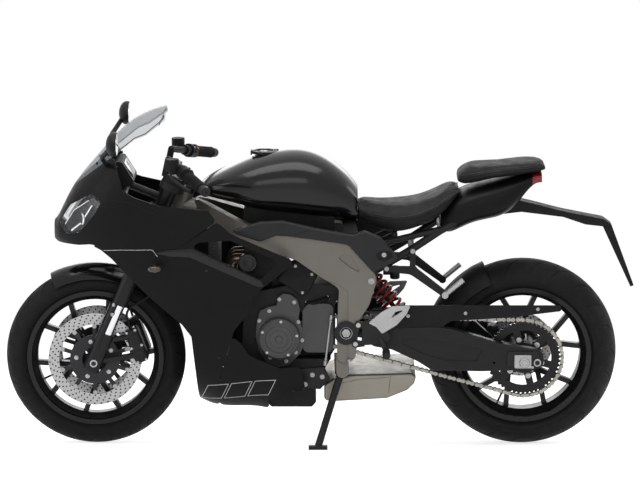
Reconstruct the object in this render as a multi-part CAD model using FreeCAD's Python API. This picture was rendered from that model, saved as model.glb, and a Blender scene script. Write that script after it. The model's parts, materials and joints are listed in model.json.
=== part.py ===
import FreeCAD, Part
import math
import os

V = FreeCAD.Vector

# Whole motorcycle. X runs from the front axle to the rear, Y to the rider's right, Z up from the ground.
WHEELBASE = 1425.0
BIKE_HEIGHT = 1145.0
LEAN_ANGLE = 9.5
SEAT_GAP = 0.3
PIN_CLEARANCE = 0.05
OVERRUN = 20.0

# Steering geometry.
RAKE_ANGLE = 23.8
FORK_OFFSET = 48.0

# Tyres and wheels.
FRONT_TYRE_RADIUS = 299.9
FRONT_TYRE_WIDTH = 120.0
REAR_TYRE_RADIUS = 314.9
REAR_TYRE_WIDTH = 180.0
TYRE_WALL = 9.0
BEAD_RADIUS = 218.3
RIM_WALL = 6.0
RIM_FLANGE_HEIGHT = 10.0
RIM_FLANGE_WALL = 4.0
RIM_WELL_DEPTH = 18.0
FRONT_RIM_WIDTH = 88.9
REAR_RIM_WIDTH = 139.7
SPOKE_COUNT = 5
SPOKE_WIDTH = 30.0
SPOKE_ARM_WIDTH = 17.0
SPOKE_DEPTH = 24.0
SPOKE_FORK_ANGLE = 17.0
FRONT_SPOKE_TURN = 30.0
REAR_SPOKE_TURN = 68.0
FRONT_HUB_RADIUS = 30.0
FRONT_HUB_WIDTH = 108.0
REAR_HUB_RADIUS = 48.0
REAR_HUB_WIDTH = 150.0
FRONT_AXLE_RADIUS = 12.5
FRONT_AXLE_BORE_RADIUS = 8.0
REAR_AXLE_RADIUS = 12.5

# Brakes.
FRONT_DISC_RADIUS = 155.0
FRONT_DISC_BAND = 36.0
FRONT_DISC_THICKNESS = 5.0
FRONT_DISC_PLANE = 68.0
REAR_DISC_RADIUS = 110.0
REAR_DISC_BAND = 34.0
REAR_DISC_THICKNESS = 5.0
REAR_DISC_PLANE = 96.0
DISC_ARM_COUNT = 10
DISC_ARM_WIDTH = 13.0
DISC_BELL_THICKNESS = 6.0
DISC_BELL_RADIUS = 70.0
PAD_GAP = 1.0
CALIPER_LENGTH = 118.0
CALIPER_DEPTH = 46.0
CALIPER_WIDTH = 64.0
REAR_CALIPER_LENGTH = 84.0
REAR_CALIPER_DEPTH = 38.0
REAR_CALIPER_WIDTH = 44.0
REAR_CALIPER_TURN = -14.0

# Final drive.
CHAIN_PITCH = 15.875
CHAIN_PLANE = 108.0
CHAIN_WIDTH = 17.0
CHAIN_PLATE = 3.4
CHAIN_PLATE_HEIGHT = 14.0
CHAIN_ROLLER_RADIUS = 5.0
REAR_TEETH = 51
FRONT_TEETH = 16
SPROCKET_THICKNESS = 7.0
SPROCKET_TOOTH_HEIGHT = 6.0
SPROCKET_TIP_GAP = 1.2
SPROCKET_HUB_RADIUS = 52.0
SPROCKET_RING_BAND = 24.0
SPROCKET_ARM_COUNT = 6

# Places on the side view, as shares of the wheelbase and of the height.
SWINGARM_PIVOT_SHARES = (0.587, 0.365)
FRONT_SPROCKET_SHARES = (0.510, 0.364)
STAND_PIVOT_SHARES = (0.577, 0.245)
ALTERNATOR_SHARES = (0.432, 0.345)
SHOCK_TOP_SHARES = (0.622, 0.530)
SHOCK_FOOT_SHARE = 0.715

# Fork, measured along the legs from the front axle.
FORK_SPACING = 210.0
FORK_FOOT_RADIUS = 27.0
FORK_FOOT_TOP = 106.0
FORK_FOOT_DROP = 30.0
STANCHION_RADIUS = 20.5
FORK_TUBE_RADIUS = 27.0
FORK_TUBE_START = 214.0
FORK_TUBE_TOP = 682.0
LOWER_CLAMP_START = 497.0
LOWER_CLAMP_HEIGHT = 34.0
HEAD_TUBE_LENGTH = 104.0
UPPER_CLAMP_HEIGHT = 22.0
CLAMP_EAR_RADIUS = 38.0
CLAMP_BRIDGE_DEPTH = 66.0
STEM_RADIUS = 15.0
STEM_NUT_RADIUS = 19.0
STEM_NUT_HEIGHT = 10.0
HEAD_TUBE_RADIUS = 34.0

# Handlebars and what they carry.
BAR_RADIUS = 11.1
BAR_SPAN = 716.0
BAR_SWEEP_SHARES = (0.263, 0.811)
BAR_RISE = 54.0
BAR_FORWARD = 122.0
BAR_CLAMP_HEIGHT = 26.0
BAR_CLAMP_RADIUS = 37.0
GRIP_RADIUS = 17.0
GRIP_LENGTH = 128.0
BAR_END_RADIUS = 15.0
BAR_END_LENGTH = 30.0
SWITCH_RADIUS = 23.0
SWITCH_LENGTH = 38.0
PERCH_RADIUS = 17.0
PERCH_LENGTH = 26.0
LEVER_LENGTH = 170.0
LEVER_THICKNESS = 9.0
LEVER_REACH = 62.0
RESERVOIR_RADIUS = 22.0
RESERVOIR_HEIGHT = 40.0

# Front mudguard and hoses.
MUDGUARD_GAP = 14.0
MUDGUARD_WALL = 3.0
MUDGUARD_WIDTH = 138.0
MUDGUARD_START_ANGLE = 62.0
MUDGUARD_END_ANGLE = 134.0
MUDGUARD_STAY_WIDTH = 26.0
HOSE_RADIUS = 4.0

# Bodywork.
FAIRING_WIDTH = 510.0
PANEL_WALL = 4.0
SCREEN_WALL = 3.0
SEAM = 1.2
TANK_WIDTH = 330.0
SEAT_WIDTH = 290.0
PASSENGER_WIDTH = 210.0
TAIL_WIDTH = 250.0
SIDE_COVER_DEPTH = 24.0
SIDE_COVER_ROUND = 7.0

STAY_RADIUS = 8.0
MIRROR_WIDTH = 128.0
MIRROR_SPAN = 660.0
MIRROR_SHARES = (0.064, 0.934)
MIRROR_STALK_SHARES = ((0.036, 0.836, 0.14), (0.030, 0.880, 0.33), (0.056, 0.924, 0.48))
MIRROR_STRETCH_SHARES = (0.42, 1.0, 0.62)
STALK_RADIUS = 8.0
INDICATOR_RADIUS = 14.0
INDICATOR_SPAN = 584.0
INDICATOR_SHARES = (0.150, 0.570)
INDICATOR_STRETCH_SHARES = (1.6, 1.0, 0.8)

# Main frame and subframe.
FRAME_WIDTH = 376.0
SPAR_DEPTH = 48.0
SPAR_RECESS = 5.0
PIVOT_TUBE_RADIUS = 24.0
PIVOT_BOLT_RADIUS = 12.0
PIVOT_CAP_RADIUS = 39.0
PIVOT_CAP_DEPTH = 6.0
FRAME_BRIDGE_RADIUS = 20.0
SUBFRAME_RADIUS = 13.0
SUBFRAME_SPACING = 200.0
PILLION_HANGER_WIDTH = 20.0
PILLION_HANGER_DEPTH = 9.0
PILLION_PEG_RADIUS = 9.5

# Engine.
ENGINE_WIDTH = 300.0
HEAD_WIDTH = 200.0
ALTERNATOR_RADIUS = 69.0
ALTERNATOR_DEPTH = 44.0
CLUTCH_RADIUS = 84.0
CLUTCH_DEPTH = 40.0
COVER_ROUND = 6.0
SPROCKET_COVER_DEPTH = 12.0
SUMP_WIDTH = 132.0
SUMP_OFFSET = 80.0
RADIATOR_WIDTH = 330.0
RADIATOR_DEPTH = 30.0
HEADER_RADIUS = 18.0
HEADER_SPACING = 62.0
SILENCER_WIDTH = 300.0
SILENCER_OFFSET = 36.0
SILENCER_ROUND = 9.0

# Swingarm.
ARM_OUTER_PLANE = 166.0
ARM_THICKNESS = 40.0
ARM_ROUND = 7.0
ARM_RECESS = 4.0
AXLE_PLATE_LENGTH = 62.0
AXLE_PLATE_HEIGHT = 44.0
AXLE_PLATE_DEPTH = 5.0
AXLE_NUT_RADIUS = 18.0
AXLE_NUT_DEPTH = 12.0
SPOOL_SHARES = (0.930, 0.272)
SPOOL_RADIUS = 4.0
SPOOL_DEPTH = 22.0

# Shock absorber.
SHOCK_BODY_RADIUS = 21.0
SHOCK_ROD_RADIUS = 8.0
SPRING_RADIUS = 32.0
SPRING_WIRE = 5.5
SPRING_TURNS = 6

# Rider's footrests.
PEG_LENGTH = 90.0
PEG_RADIUS = 11.0
PEG_BRACKET_DEPTH = 12.0

# Side stand.
STAND_PIVOT_PLANE = 158.0
STAND_FOOT_OUT = 276.0
STAND_FOOT_FORWARD = 78.0
STAND_RADIUS = 12.0
STAND_EAR_RADIUS = 21.0
STAND_EAR_DEPTH = 26.0
STAND_LUG_DEPTH = 7.0
STAND_KNEE = 44.0
STAND_FOOT_LENGTH = 62.0
STAND_FOOT_WIDTH = 46.0
STAND_FOOT_THICKNESS = 8.0
STAND_BOLT_RADIUS = 7.0
STAND_AXIS_TOE_SHARE = 0.15
STAND_AXIS_RISE_SHARE = 0.22

# Fuel cap.
CAP_RADIUS = 42.0
CAP_HEIGHT = 9.0
CAP_POCKET_GAP = 5.4
CAP_KNUCKLE_RADIUS = 3.0
CAP_KNUCKLE_LENGTH = 20.0
CAP_HINGE_OFFSET = 2.0
CAP_SHARE = 0.398

# Number plate's blade behind the tail.
HANGER_WALL = 8.0
HANGER_CHEEK = 4.0
PLATE_HOLE_RADIUS = 3.3
PLATE_HOLE_PLACES = (130.0, 60.0)

RAKE = math.radians(RAKE_ANGLE)
LEAN = math.radians(LEAN_ANGLE)
ALONG_FORK = V(math.sin(RAKE), 0, math.cos(RAKE))
BEHIND_FORK = V(math.cos(RAKE), 0, -math.sin(RAKE))
ACROSS = V(0, 1, 0)
UP = V(0, 0, 1)


def crown_radius(width, drop_share):
    """Radius of the tread's arc across a tyre of that width."""
    drop = width * drop_share
    return (width * width / 4 + drop * drop) / (2 * drop)


CROWN_SHARE = 0.35


def axle_height(radius, width):
    """Height of an axle above the ground line of the leaning machine."""
    crown = crown_radius(width, CROWN_SHARE)
    return radius + crown * (1 / math.cos(LEAN) - 1)


FRONT_AXLE = V(0, 0, axle_height(FRONT_TYRE_RADIUS, FRONT_TYRE_WIDTH))
REAR_AXLE = V(WHEELBASE, 0, axle_height(REAR_TYRE_RADIUS, REAR_TYRE_WIDTH))


def spot(shares, y=0):
    """Point of the side view given in shares of the wheelbase and of the height."""
    return V(WHEELBASE * shares[0], y, BIKE_HEIGHT * shares[1])


def fork_point(along, y=0, behind=0):
    """Point measured from the front axle along the fork legs."""
    return FRONT_AXLE + ALONG_FORK * along + BEHIND_FORK * behind + ACROSS * y


def rod(start, end, radius):
    """Round bar between two points."""
    way = end - start
    return Part.makeCylinder(radius, way.Length, start, way)


def fuse(shapes):
    """One solid from pieces that overlap."""
    first = shapes[0]
    return first.fuse(shapes[1:]).removeSplitter() if len(shapes) > 1 else first


def mirrored(shape):
    """The same shape on the other side of the middle plane."""
    return shape.mirror(V(0, 0, 0), ACROSS)


def mirrored_point(point):
    """The same point on the other side of the middle plane."""
    return V(point.x, -point.y, point.z)


def both_sides(shape):
    """A left shape and its mirror image."""
    return [shape, mirrored(shape)]


def corner(before, point, after, radius):
    """Start, middle and end of the arc that rounds a corner, or nothing at a straight one."""
    back = (before - point).normalize()
    ahead = (after - point).normalize()
    half = back.getAngle(ahead) / 2
    if half > math.radians(88):
        return None
    reach = min(radius / math.tan(half), 0.45 * min((before - point).Length, (after - point).Length))
    bend = reach * math.tan(half)
    inward = (back + ahead).normalize()
    middle = point + inward * (bend / math.sin(half) - bend)
    return point + back * reach, middle, point + ahead * reach


def rounded_wire(points, radius, closed=True):
    """Straight runs through the points, with each corner rounded by a tangent arc."""
    count = len(points)
    edges = []
    turns = []
    for index, point in enumerate(points):
        if not closed and index in (0, count - 1):
            turns.append((point, None, point))
            continue
        arc = corner(points[index - 1], point, points[(index + 1) % count], radius)
        turns.append(arc if arc else (point, None, point))
    for index, (start, middle, end) in enumerate(turns):
        if middle:
            edges.append(Part.Arc(start, middle, end).toShape())
        if closed or index < count - 1:
            edges.append(Part.makeLine(end, turns[(index + 1) % count][0]))
    return Part.Wire(edges)


def side_prism(shares, start, end, radius):
    """Side outline in shares of wheelbase and height, extruded from one Y to another."""
    points = [spot(pair, start) for pair in shares]
    face = Part.Face(rounded_wire(points, radius))
    return face.extrude(V(0, end - start, 0))


def rounded_rims(prism, radius, planes):
    """The prism with the rims of its faces at those distances across the machine rounded."""
    rims = []
    for edge in prism.Edges:
        box = edge.BoundBox
        if any(max(abs(box.YMin - plane), abs(box.YMax - plane)) < PIN_CLEARANCE for plane in planes):
            rims.append(edge)
    return prism.makeFillet(radius, rims)


def bent_tube(points, radius, bend):
    """Round tube along straight runs joined by tangent arcs."""
    path = rounded_wire(points, bend, closed=False)
    ring = Part.Wire(Part.makeCircle(radius, points[0], points[1] - points[0]))
    return path.makePipeShell([ring], True, False)


def smooth_ring(points):
    """Closed smooth curve through the points."""
    curve = Part.BSplineCurve()
    curve.interpolate(points, PeriodicFlag=True)
    return Part.Wire(curve.toShape())


SECTION_POINTS = 16


def cross_section(x, half_width, low, middle, high, lower_power, upper_power):
    """Rounded section across the machine: flat sided with a high power, oval with two."""
    points = []
    for index in range(SECTION_POINTS):
        turn = 2 * math.pi * index / SECTION_POINTS
        out, rise = math.cos(turn), math.sin(turn)
        power = upper_power if rise >= 0 else lower_power
        height = high - middle if rise >= 0 else middle - low
        y = half_width * math.copysign(abs(out) ** (2 / power), out)
        z = middle + height * math.copysign(abs(rise) ** (2 / power), rise)
        points.append(V(x, y, z))
    return smooth_ring(points)


def hull(stations, width, lower_power, upper_power, wall=0):
    """Loft through sections across the machine, drawn in by the wall on every side."""
    rings = []
    for x_share, width_share, low_share, middle_share, high_share in stations:
        rings.append(
            cross_section(
                WHEELBASE * x_share,
                width * width_share / 2 - wall,
                BIKE_HEIGHT * low_share + wall,
                BIKE_HEIGHT * middle_share,
                BIKE_HEIGHT * high_share - wall,
                lower_power,
                upper_power,
            )
        )
    return Part.makeLoft(rings, True, False)


def turned_ring(profile, centre):
    """Ring turned about an axle from points given as distance along it and radius."""
    points = [centre + V(0, along, radius) for along, radius in profile]
    face = Part.Face(Part.makePolygon(points + points[:1]))
    return face.revolve(centre, ACROSS, 360)


def tyre(centre, radius, width, rim_width):
    """Hollow tyre with a round tread and bulged walls down to the beads."""
    drop = width * CROWN_SHARE
    half, bead = width / 2, rim_width / 2 - SEAT_GAP
    bead_foot = BEAD_RADIUS + SEAT_GAP
    flange_top = BEAD_RADIUS + RIM_FLANGE_HEIGHT + TYRE_WALL * 0.2
    shoulder = radius - drop
    waist = (shoulder + flange_top) / 2

    def place(along, out):
        return centre + V(0, along, out)

    def wall(sign):
        return Part.Arc(
            place(sign * half, shoulder),
            place(sign * (half * 0.98), waist),
            place(sign * bead, flange_top),
        ).toShape()

    crown = Part.Arc(place(-half, shoulder), place(0, radius), place(half, shoulder)).toShape()
    inner_foot = bead - TYRE_WALL
    cavity = Part.Arc(
        place(inner_foot, bead_foot),
        place(0, radius - TYRE_WALL),
        place(-inner_foot, bead_foot),
    ).toShape()
    right_bead = Part.makeLine(place(bead, flange_top), place(bead, bead_foot))
    right_foot = Part.makeLine(place(bead, bead_foot), place(inner_foot, bead_foot))
    left_foot = Part.makeLine(place(-inner_foot, bead_foot), place(-bead, bead_foot))
    left_bead = Part.makeLine(place(-bead, bead_foot), place(-bead, flange_top))
    loop = Part.Wire([crown, wall(1), right_bead, right_foot, cavity, left_foot, left_bead, wall(-1)])
    return Part.Face(loop).revolve(centre, ACROSS, 360)


def spoke(centre, inner, outer, width, arm_width, depth):
    """Forked spoke pointing up: a stem that splits into two arms before the rim."""
    split = inner + (outer - inner) * 0.42
    stem = [(-width / 2, inner), (width / 2, inner), (width * 0.42, split), (-width * 0.42, split)]
    points = [centre + V(across, -depth / 2, up) for across, up in stem]
    pieces = [Part.Face(Part.makePolygon(points + points[:1])).extrude(V(0, depth, 0))]
    lean = math.radians(SPOKE_FORK_ANGLE)
    for sign in (-1, 1):
        tip = V(sign * outer * math.sin(lean), 0, outer * math.cos(lean))
        root = V(sign * width * 0.1, 0, split - width * 0.4)
        way = (tip - root).normalize()
        across = V(way.z, 0, -way.x) * (arm_width / 2)
        loop = [root - across, root + across, tip + across, tip - across]
        points = [centre + point + V(0, -depth / 2, 0) for point in loop]
        pieces.append(Part.Face(Part.makePolygon(points + points[:1])).extrude(V(0, depth, 0)))
    return fuse(pieces)


def rim(centre, rim_width, hub_radius, hub_width, bore, first_turn):
    """Cast wheel: rim with flanges and well, forked spokes and a bored hub."""
    half = rim_width / 2
    flange = BEAD_RADIUS + RIM_FLANGE_HEIGHT
    well = BEAD_RADIUS - RIM_WELL_DEPTH
    slope = half * 0.3
    profile = [
        (-half - RIM_FLANGE_WALL, flange),
        (-half, flange),
        (-half, BEAD_RADIUS),
        (-half + slope, BEAD_RADIUS),
        (-half + 2 * slope, well),
        (half - 2 * slope, well),
        (half - slope, BEAD_RADIUS),
        (half, BEAD_RADIUS),
        (half, flange),
        (half + RIM_FLANGE_WALL, flange),
        (half + RIM_FLANGE_WALL, BEAD_RADIUS - RIM_WALL),
        (half - slope, BEAD_RADIUS - RIM_WALL),
        (half - 2 * slope, well - RIM_WALL),
        (-half + 2 * slope, well - RIM_WALL),
        (-half + slope, BEAD_RADIUS - RIM_WALL),
        (-half - RIM_FLANGE_WALL, BEAD_RADIUS - RIM_WALL),
    ]
    pieces = [turned_ring(profile, centre)]
    pieces.append(rod(centre - ACROSS * (hub_width / 2), centre + ACROSS * (hub_width / 2), hub_radius))
    reach = well - RIM_WALL / 2
    model = spoke(centre, hub_radius * 0.6, reach, SPOKE_WIDTH, SPOKE_ARM_WIDTH, SPOKE_DEPTH)
    for index in range(SPOKE_COUNT):
        arm = model.copy()
        arm.rotate(centre, ACROSS, first_turn + index * 360 / SPOKE_COUNT)
        pieces.append(arm)
    wheel = fuse(pieces)
    shaft = ACROSS * (hub_width / 2 + OVERRUN)
    return wheel.cut(rod(centre - shaft, centre + shaft, bore))


def annulus(centre, outer, inner, thickness, plane):
    """Flat ring about an axle, centred on a plane across the machine."""
    start = centre + ACROSS * (plane - thickness / 2)
    end = centre + ACROSS * (plane + thickness / 2)
    past = ACROSS * OVERRUN
    return rod(start, end, outer).cut(rod(start - past, end + past, inner))


def brake_disc(centre, radius, band, thickness, plane, hub_radius, hub_face):
    """Ventilated disc band carried by a bell with thin arms, down to the hub's face."""
    band_ring = annulus(centre, radius, radius - band, thickness, plane)
    bell = annulus(centre, hub_radius + DISC_ARM_WIDTH, hub_radius * 0.6, DISC_BELL_THICKNESS, plane)
    pieces = [band_ring, bell]
    sign = math.copysign(1, plane)
    start = centre + ACROSS * hub_face
    end = centre + ACROSS * plane
    collar = rod(start, end, hub_radius * 0.8)
    past = ACROSS * sign * OVERRUN
    pieces.append(collar.cut(rod(start - past, end + past, hub_radius * 0.62)))
    reach = radius - band + DISC_ARM_WIDTH / 2
    for index in range(DISC_ARM_COUNT):
        arm = Part.makeBox(
            DISC_ARM_WIDTH,
            DISC_BELL_THICKNESS,
            reach - hub_radius,
            centre + V(-DISC_ARM_WIDTH / 2, plane - DISC_BELL_THICKNESS / 2, hub_radius),
        )
        arm.rotate(centre, ACROSS, index * 360 / DISC_ARM_COUNT)
        pieces.append(arm)
    return fuse(pieces)


def front_tyre():
    return [tyre(FRONT_AXLE, FRONT_TYRE_RADIUS, FRONT_TYRE_WIDTH, FRONT_RIM_WIDTH)]


def rear_tyre():
    return [tyre(REAR_AXLE, REAR_TYRE_RADIUS, REAR_TYRE_WIDTH, REAR_RIM_WIDTH)]


def front_rim():
    bore = FRONT_AXLE_RADIUS + PIN_CLEARANCE
    return [rim(FRONT_AXLE, FRONT_RIM_WIDTH, FRONT_HUB_RADIUS, FRONT_HUB_WIDTH, bore, FRONT_SPOKE_TURN)]


def rear_rim():
    bore = REAR_AXLE_RADIUS + PIN_CLEARANCE
    return [rim(REAR_AXLE, REAR_RIM_WIDTH, REAR_HUB_RADIUS, REAR_HUB_WIDTH, bore, REAR_SPOKE_TURN)]


def front_discs():
    left = brake_disc(
        FRONT_AXLE,
        FRONT_DISC_RADIUS,
        FRONT_DISC_BAND,
        FRONT_DISC_THICKNESS,
        -FRONT_DISC_PLANE,
        DISC_BELL_RADIUS,
        -FRONT_HUB_WIDTH / 2,
    )
    return both_sides(left)


def rear_disc():
    return [
        brake_disc(
            REAR_AXLE,
            REAR_DISC_RADIUS,
            REAR_DISC_BAND,
            REAR_DISC_THICKNESS,
            REAR_DISC_PLANE,
            REAR_HUB_RADIUS,
            REAR_HUB_WIDTH / 2,
        )
    ]


REAR_PITCH_RADIUS = CHAIN_PITCH / (2 * math.sin(math.pi / REAR_TEETH))
FRONT_PITCH_RADIUS = CHAIN_PITCH / (2 * math.sin(math.pi / FRONT_TEETH))
FRONT_SPROCKET = spot(FRONT_SPROCKET_SHARES)


def rear_sprocket():
    """Toothed ring on six arms, bolted to the hub."""
    tip = REAR_PITCH_RADIUS - CHAIN_ROLLER_RADIUS - SPROCKET_TIP_GAP
    root = tip - SPROCKET_TOOTH_HEIGHT
    face_y = -CHAIN_PLANE - SPROCKET_THICKNESS / 2
    points = []
    for index in range(REAR_TEETH):
        for step_share, reach in ((0.0, root), (0.38, tip), (0.62, tip)):
            turn = 2 * math.pi * (index + step_share) / REAR_TEETH
            points.append(REAR_AXLE + V(reach * math.sin(turn), face_y, reach * math.cos(turn)))
    ring = Part.Face(Part.makePolygon(points + points[:1])).extrude(V(0, SPROCKET_THICKNESS, 0))
    centre = REAR_AXLE - ACROSS * CHAIN_PLANE
    half = ACROSS * (SPROCKET_THICKNESS / 2)
    past = ACROSS * OVERRUN
    ring = ring.cut(rod(centre - half - past, centre + half + past, root - SPROCKET_RING_BAND))
    pieces = [ring, rod(centre - half, centre + half, SPROCKET_HUB_RADIUS)]
    for index in range(SPROCKET_ARM_COUNT):
        arm = Part.makeBox(
            SPROCKET_RING_BAND,
            SPROCKET_THICKNESS,
            root - SPROCKET_HUB_RADIUS,
            centre - half + V(-SPROCKET_RING_BAND / 2, 0, SPROCKET_HUB_RADIUS - SPROCKET_TOOTH_HEIGHT),
        )
        arm.rotate(REAR_AXLE, ACROSS, (index + 0.75) * 360 / SPROCKET_ARM_COUNT)
        pieces.append(arm)
    carrier_end = REAR_AXLE - ACROSS * (REAR_HUB_WIDTH / 2)
    pieces.append(rod(centre, carrier_end, SPROCKET_HUB_RADIUS * 0.86))
    shaft = ACROSS * (CHAIN_PLANE + OVERRUN)
    bore = REAR_AXLE_RADIUS + PIN_CLEARANCE
    return [fuse(pieces).cut(rod(REAR_AXLE - shaft, REAR_AXLE, bore))]


def chain_loop(grow):
    """Closed path round both sprockets, let out or taken in by an amount."""
    apart = REAR_AXLE - FRONT_SPROCKET
    slope = math.atan2(apart.z, apart.x)
    spread = math.acos((FRONT_PITCH_RADIUS - REAR_PITCH_RADIUS) / apart.Length)
    upper, lower = slope + spread, slope - spread

    def on(centre, radius, turn):
        return centre + V(math.cos(turn), 0, math.sin(turn)) * (radius + grow) - ACROSS * CHAIN_PLANE

    def bow(centre, radius, first, last):
        middle = (first + last) / 2
        return Part.Arc(
            on(centre, radius, first), on(centre, radius, middle), on(centre, radius, last)
        ).toShape()

    rear = bow(REAR_AXLE, REAR_PITCH_RADIUS, upper, lower)
    front = bow(FRONT_SPROCKET, FRONT_PITCH_RADIUS, lower, upper - 2 * math.pi)
    bottom = Part.makeLine(
        on(REAR_AXLE, REAR_PITCH_RADIUS, lower), on(FRONT_SPROCKET, FRONT_PITCH_RADIUS, lower)
    )
    top = Part.makeLine(
        on(FRONT_SPROCKET, FRONT_PITCH_RADIUS, upper), on(REAR_AXLE, REAR_PITCH_RADIUS, upper)
    )
    return Part.Wire([rear, bottom, front, top])


def chain():
    """Two rows of side plates joined by a roller at every pitch."""
    outer = Part.Face(chain_loop(CHAIN_PLATE_HEIGHT / 2))
    inner = Part.Face(chain_loop(-CHAIN_PLATE_HEIGHT / 2))
    band = outer.cut(inner)
    row = band.extrude(ACROSS * CHAIN_PLATE)
    row.translate(ACROSS * (-CHAIN_WIDTH / 2))
    far_row = row.copy()
    far_row.translate(ACROSS * (CHAIN_WIDTH - CHAIN_PLATE))
    pieces = [row, far_row]
    path = chain_loop(0)
    links = round(path.Length / CHAIN_PITCH)
    inside = CHAIN_WIDTH - 2 * CHAIN_PLATE
    for point in path.discretize(links + 1)[:-1]:
        corners = []
        for index in range(6):
            turn = math.pi * index / 3
            corners.append(
                point + V(math.cos(turn), 0, math.sin(turn)) * CHAIN_ROLLER_RADIUS - ACROSS * (inside / 2)
            )
        face = Part.Face(Part.makePolygon(corners + corners[:1]))
        pieces.append(face.extrude(ACROSS * inside))
    return [fuse(pieces)]


def fork_leg():
    """Left leg: cast foot with axle eye, bright stanchion and thick upper tube."""
    y = -FORK_SPACING / 2
    foot = rod(fork_point(-FORK_FOOT_DROP, y), fork_point(FORK_FOOT_TOP, y), FORK_FOOT_RADIUS)
    stanchion = rod(fork_point(0, y), fork_point(FORK_TUBE_TOP, y), STANCHION_RADIUS)
    tube = rod(fork_point(FORK_TUBE_START, y), fork_point(FORK_TUBE_TOP, y), FORK_TUBE_RADIUS)
    leg = fuse([foot, stanchion, tube])
    middle = FRONT_AXLE + ACROSS * y
    past = ACROSS * (FORK_FOOT_RADIUS + OVERRUN)
    return leg.cut(rod(middle - past, middle + past, FRONT_AXLE_RADIUS))


def fork_legs():
    return both_sides(fork_leg())


def front_axle():
    """Hollow spindle through both fork feet and the wheel."""
    half = ACROSS * (FORK_SPACING / 2 + FORK_FOOT_RADIUS)
    past = ACROSS * OVERRUN
    spindle = rod(FRONT_AXLE - half, FRONT_AXLE + half, FRONT_AXLE_RADIUS)
    bored = spindle.cut(rod(FRONT_AXLE - half - past, FRONT_AXLE + half + past, FRONT_AXLE_BORE_RADIUS))
    pieces = [bored]
    for sign in (-1, 1):
        start = FRONT_AXLE + ACROSS * sign * (FRONT_HUB_WIDTH / 2 + SEAT_GAP)
        end = FRONT_AXLE + ACROSS * sign * (FORK_SPACING / 2 - FORK_FOOT_RADIUS)
        spacer = rod(start, end, FRONT_AXLE_RADIUS * 1.5)
        pieces.append(spacer.cut(rod(start - past * sign, end + past * sign, FRONT_AXLE_RADIUS * 0.9)))
    return [fuse(pieces)]


def clamp_plate(start, height):
    """Fork bridge: two split ears round the tubes joined across the steering stem."""
    pieces = []
    for sign in (-1, 1):
        y = sign * FORK_SPACING / 2
        pieces.append(rod(fork_point(start, y), fork_point(start + height, y), CLAMP_EAR_RADIUS))
    corner_point = fork_point(start, -FORK_SPACING / 2, -CLAMP_BRIDGE_DEPTH * 0.3)
    across = ACROSS * FORK_SPACING
    deep = BEHIND_FORK * CLAMP_BRIDGE_DEPTH
    loop = [corner_point, corner_point + across, corner_point + across + deep, corner_point + deep]
    pieces.append(Part.Face(Part.makePolygon(loop + loop[:1])).extrude(ALONG_FORK * height))
    stem_base = fork_point(start, 0, FORK_OFFSET)
    pieces.append(rod(stem_base, stem_base + ALONG_FORK * height, HEAD_TUBE_RADIUS))
    plate = fuse(pieces)
    for sign in (-1, 1):
        y = sign * FORK_SPACING / 2
        bore = FORK_TUBE_RADIUS + SEAT_GAP
        plate = plate.cut(rod(fork_point(start - OVERRUN, y), fork_point(start + height + OVERRUN, y), bore))
    return plate


HEAD_TUBE_START = LOWER_CLAMP_START + LOWER_CLAMP_HEIGHT + SEAT_GAP
UPPER_CLAMP_START = HEAD_TUBE_START + HEAD_TUBE_LENGTH + SEAT_GAP


def triple_clamps():
    """Both fork bridges joined by the steering stem and its nut."""
    top = UPPER_CLAMP_START + UPPER_CLAMP_HEIGHT
    stem = rod(fork_point(LOWER_CLAMP_START, 0, FORK_OFFSET), fork_point(top, 0, FORK_OFFSET), STEM_RADIUS)
    nut = rod(
        fork_point(top, 0, FORK_OFFSET), fork_point(top + STEM_NUT_HEIGHT, 0, FORK_OFFSET), STEM_NUT_RADIUS
    )
    lower = clamp_plate(LOWER_CLAMP_START, LOWER_CLAMP_HEIGHT)
    upper = clamp_plate(UPPER_CLAMP_START, UPPER_CLAMP_HEIGHT)
    return [fuse([lower, upper, stem, nut])]


BAR_CLAMP_START = UPPER_CLAMP_START + UPPER_CLAMP_HEIGHT
BAR_END = spot(BAR_SWEEP_SHARES, -BAR_SPAN / 2)
BAR_ROOT = V(BAR_END.x - BAR_FORWARD, -FORK_SPACING / 2, BAR_END.z + BAR_RISE)
BAR_WAY = (BAR_END - BAR_ROOT).normalize()


def bar_point(inward):
    """Point of the left bar's centre line, measured inwards from its end."""
    return BAR_END - BAR_WAY * inward


def handlebars():
    """Raised clip-on bars with rubber grips and end weights."""
    y = -FORK_SPACING / 2
    base = fork_point(BAR_CLAMP_START, y)
    top = fork_point(BAR_CLAMP_START + BAR_CLAMP_HEIGHT, y)
    ring = rod(base, top, BAR_CLAMP_RADIUS)
    bore = FORK_TUBE_RADIUS + SEAT_GAP
    ring = ring.cut(rod(base - ALONG_FORK * OVERRUN, top + ALONG_FORK * OVERRUN, bore))
    riser_foot = fork_point(BAR_CLAMP_START + BAR_CLAMP_HEIGHT / 2, y, -BAR_CLAMP_RADIUS * 0.88)
    riser = rod(riser_foot, BAR_ROOT, BAR_RADIUS)
    shoulder = Part.makeSphere(BAR_RADIUS, BAR_ROOT)
    tube = rod(BAR_ROOT, BAR_END, BAR_RADIUS)
    grip = rod(bar_point(0), bar_point(GRIP_LENGTH), GRIP_RADIUS)
    weight = rod(BAR_END, bar_point(-BAR_END_LENGTH), BAR_END_RADIUS)
    whole = fuse([ring, riser, shoulder, tube, grip, weight])
    leg_top = fork_point(FORK_TUBE_TOP + SEAT_GAP, y)
    return both_sides(whole.cut(rod(base - ALONG_FORK * OVERRUN, leg_top, bore)))


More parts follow.
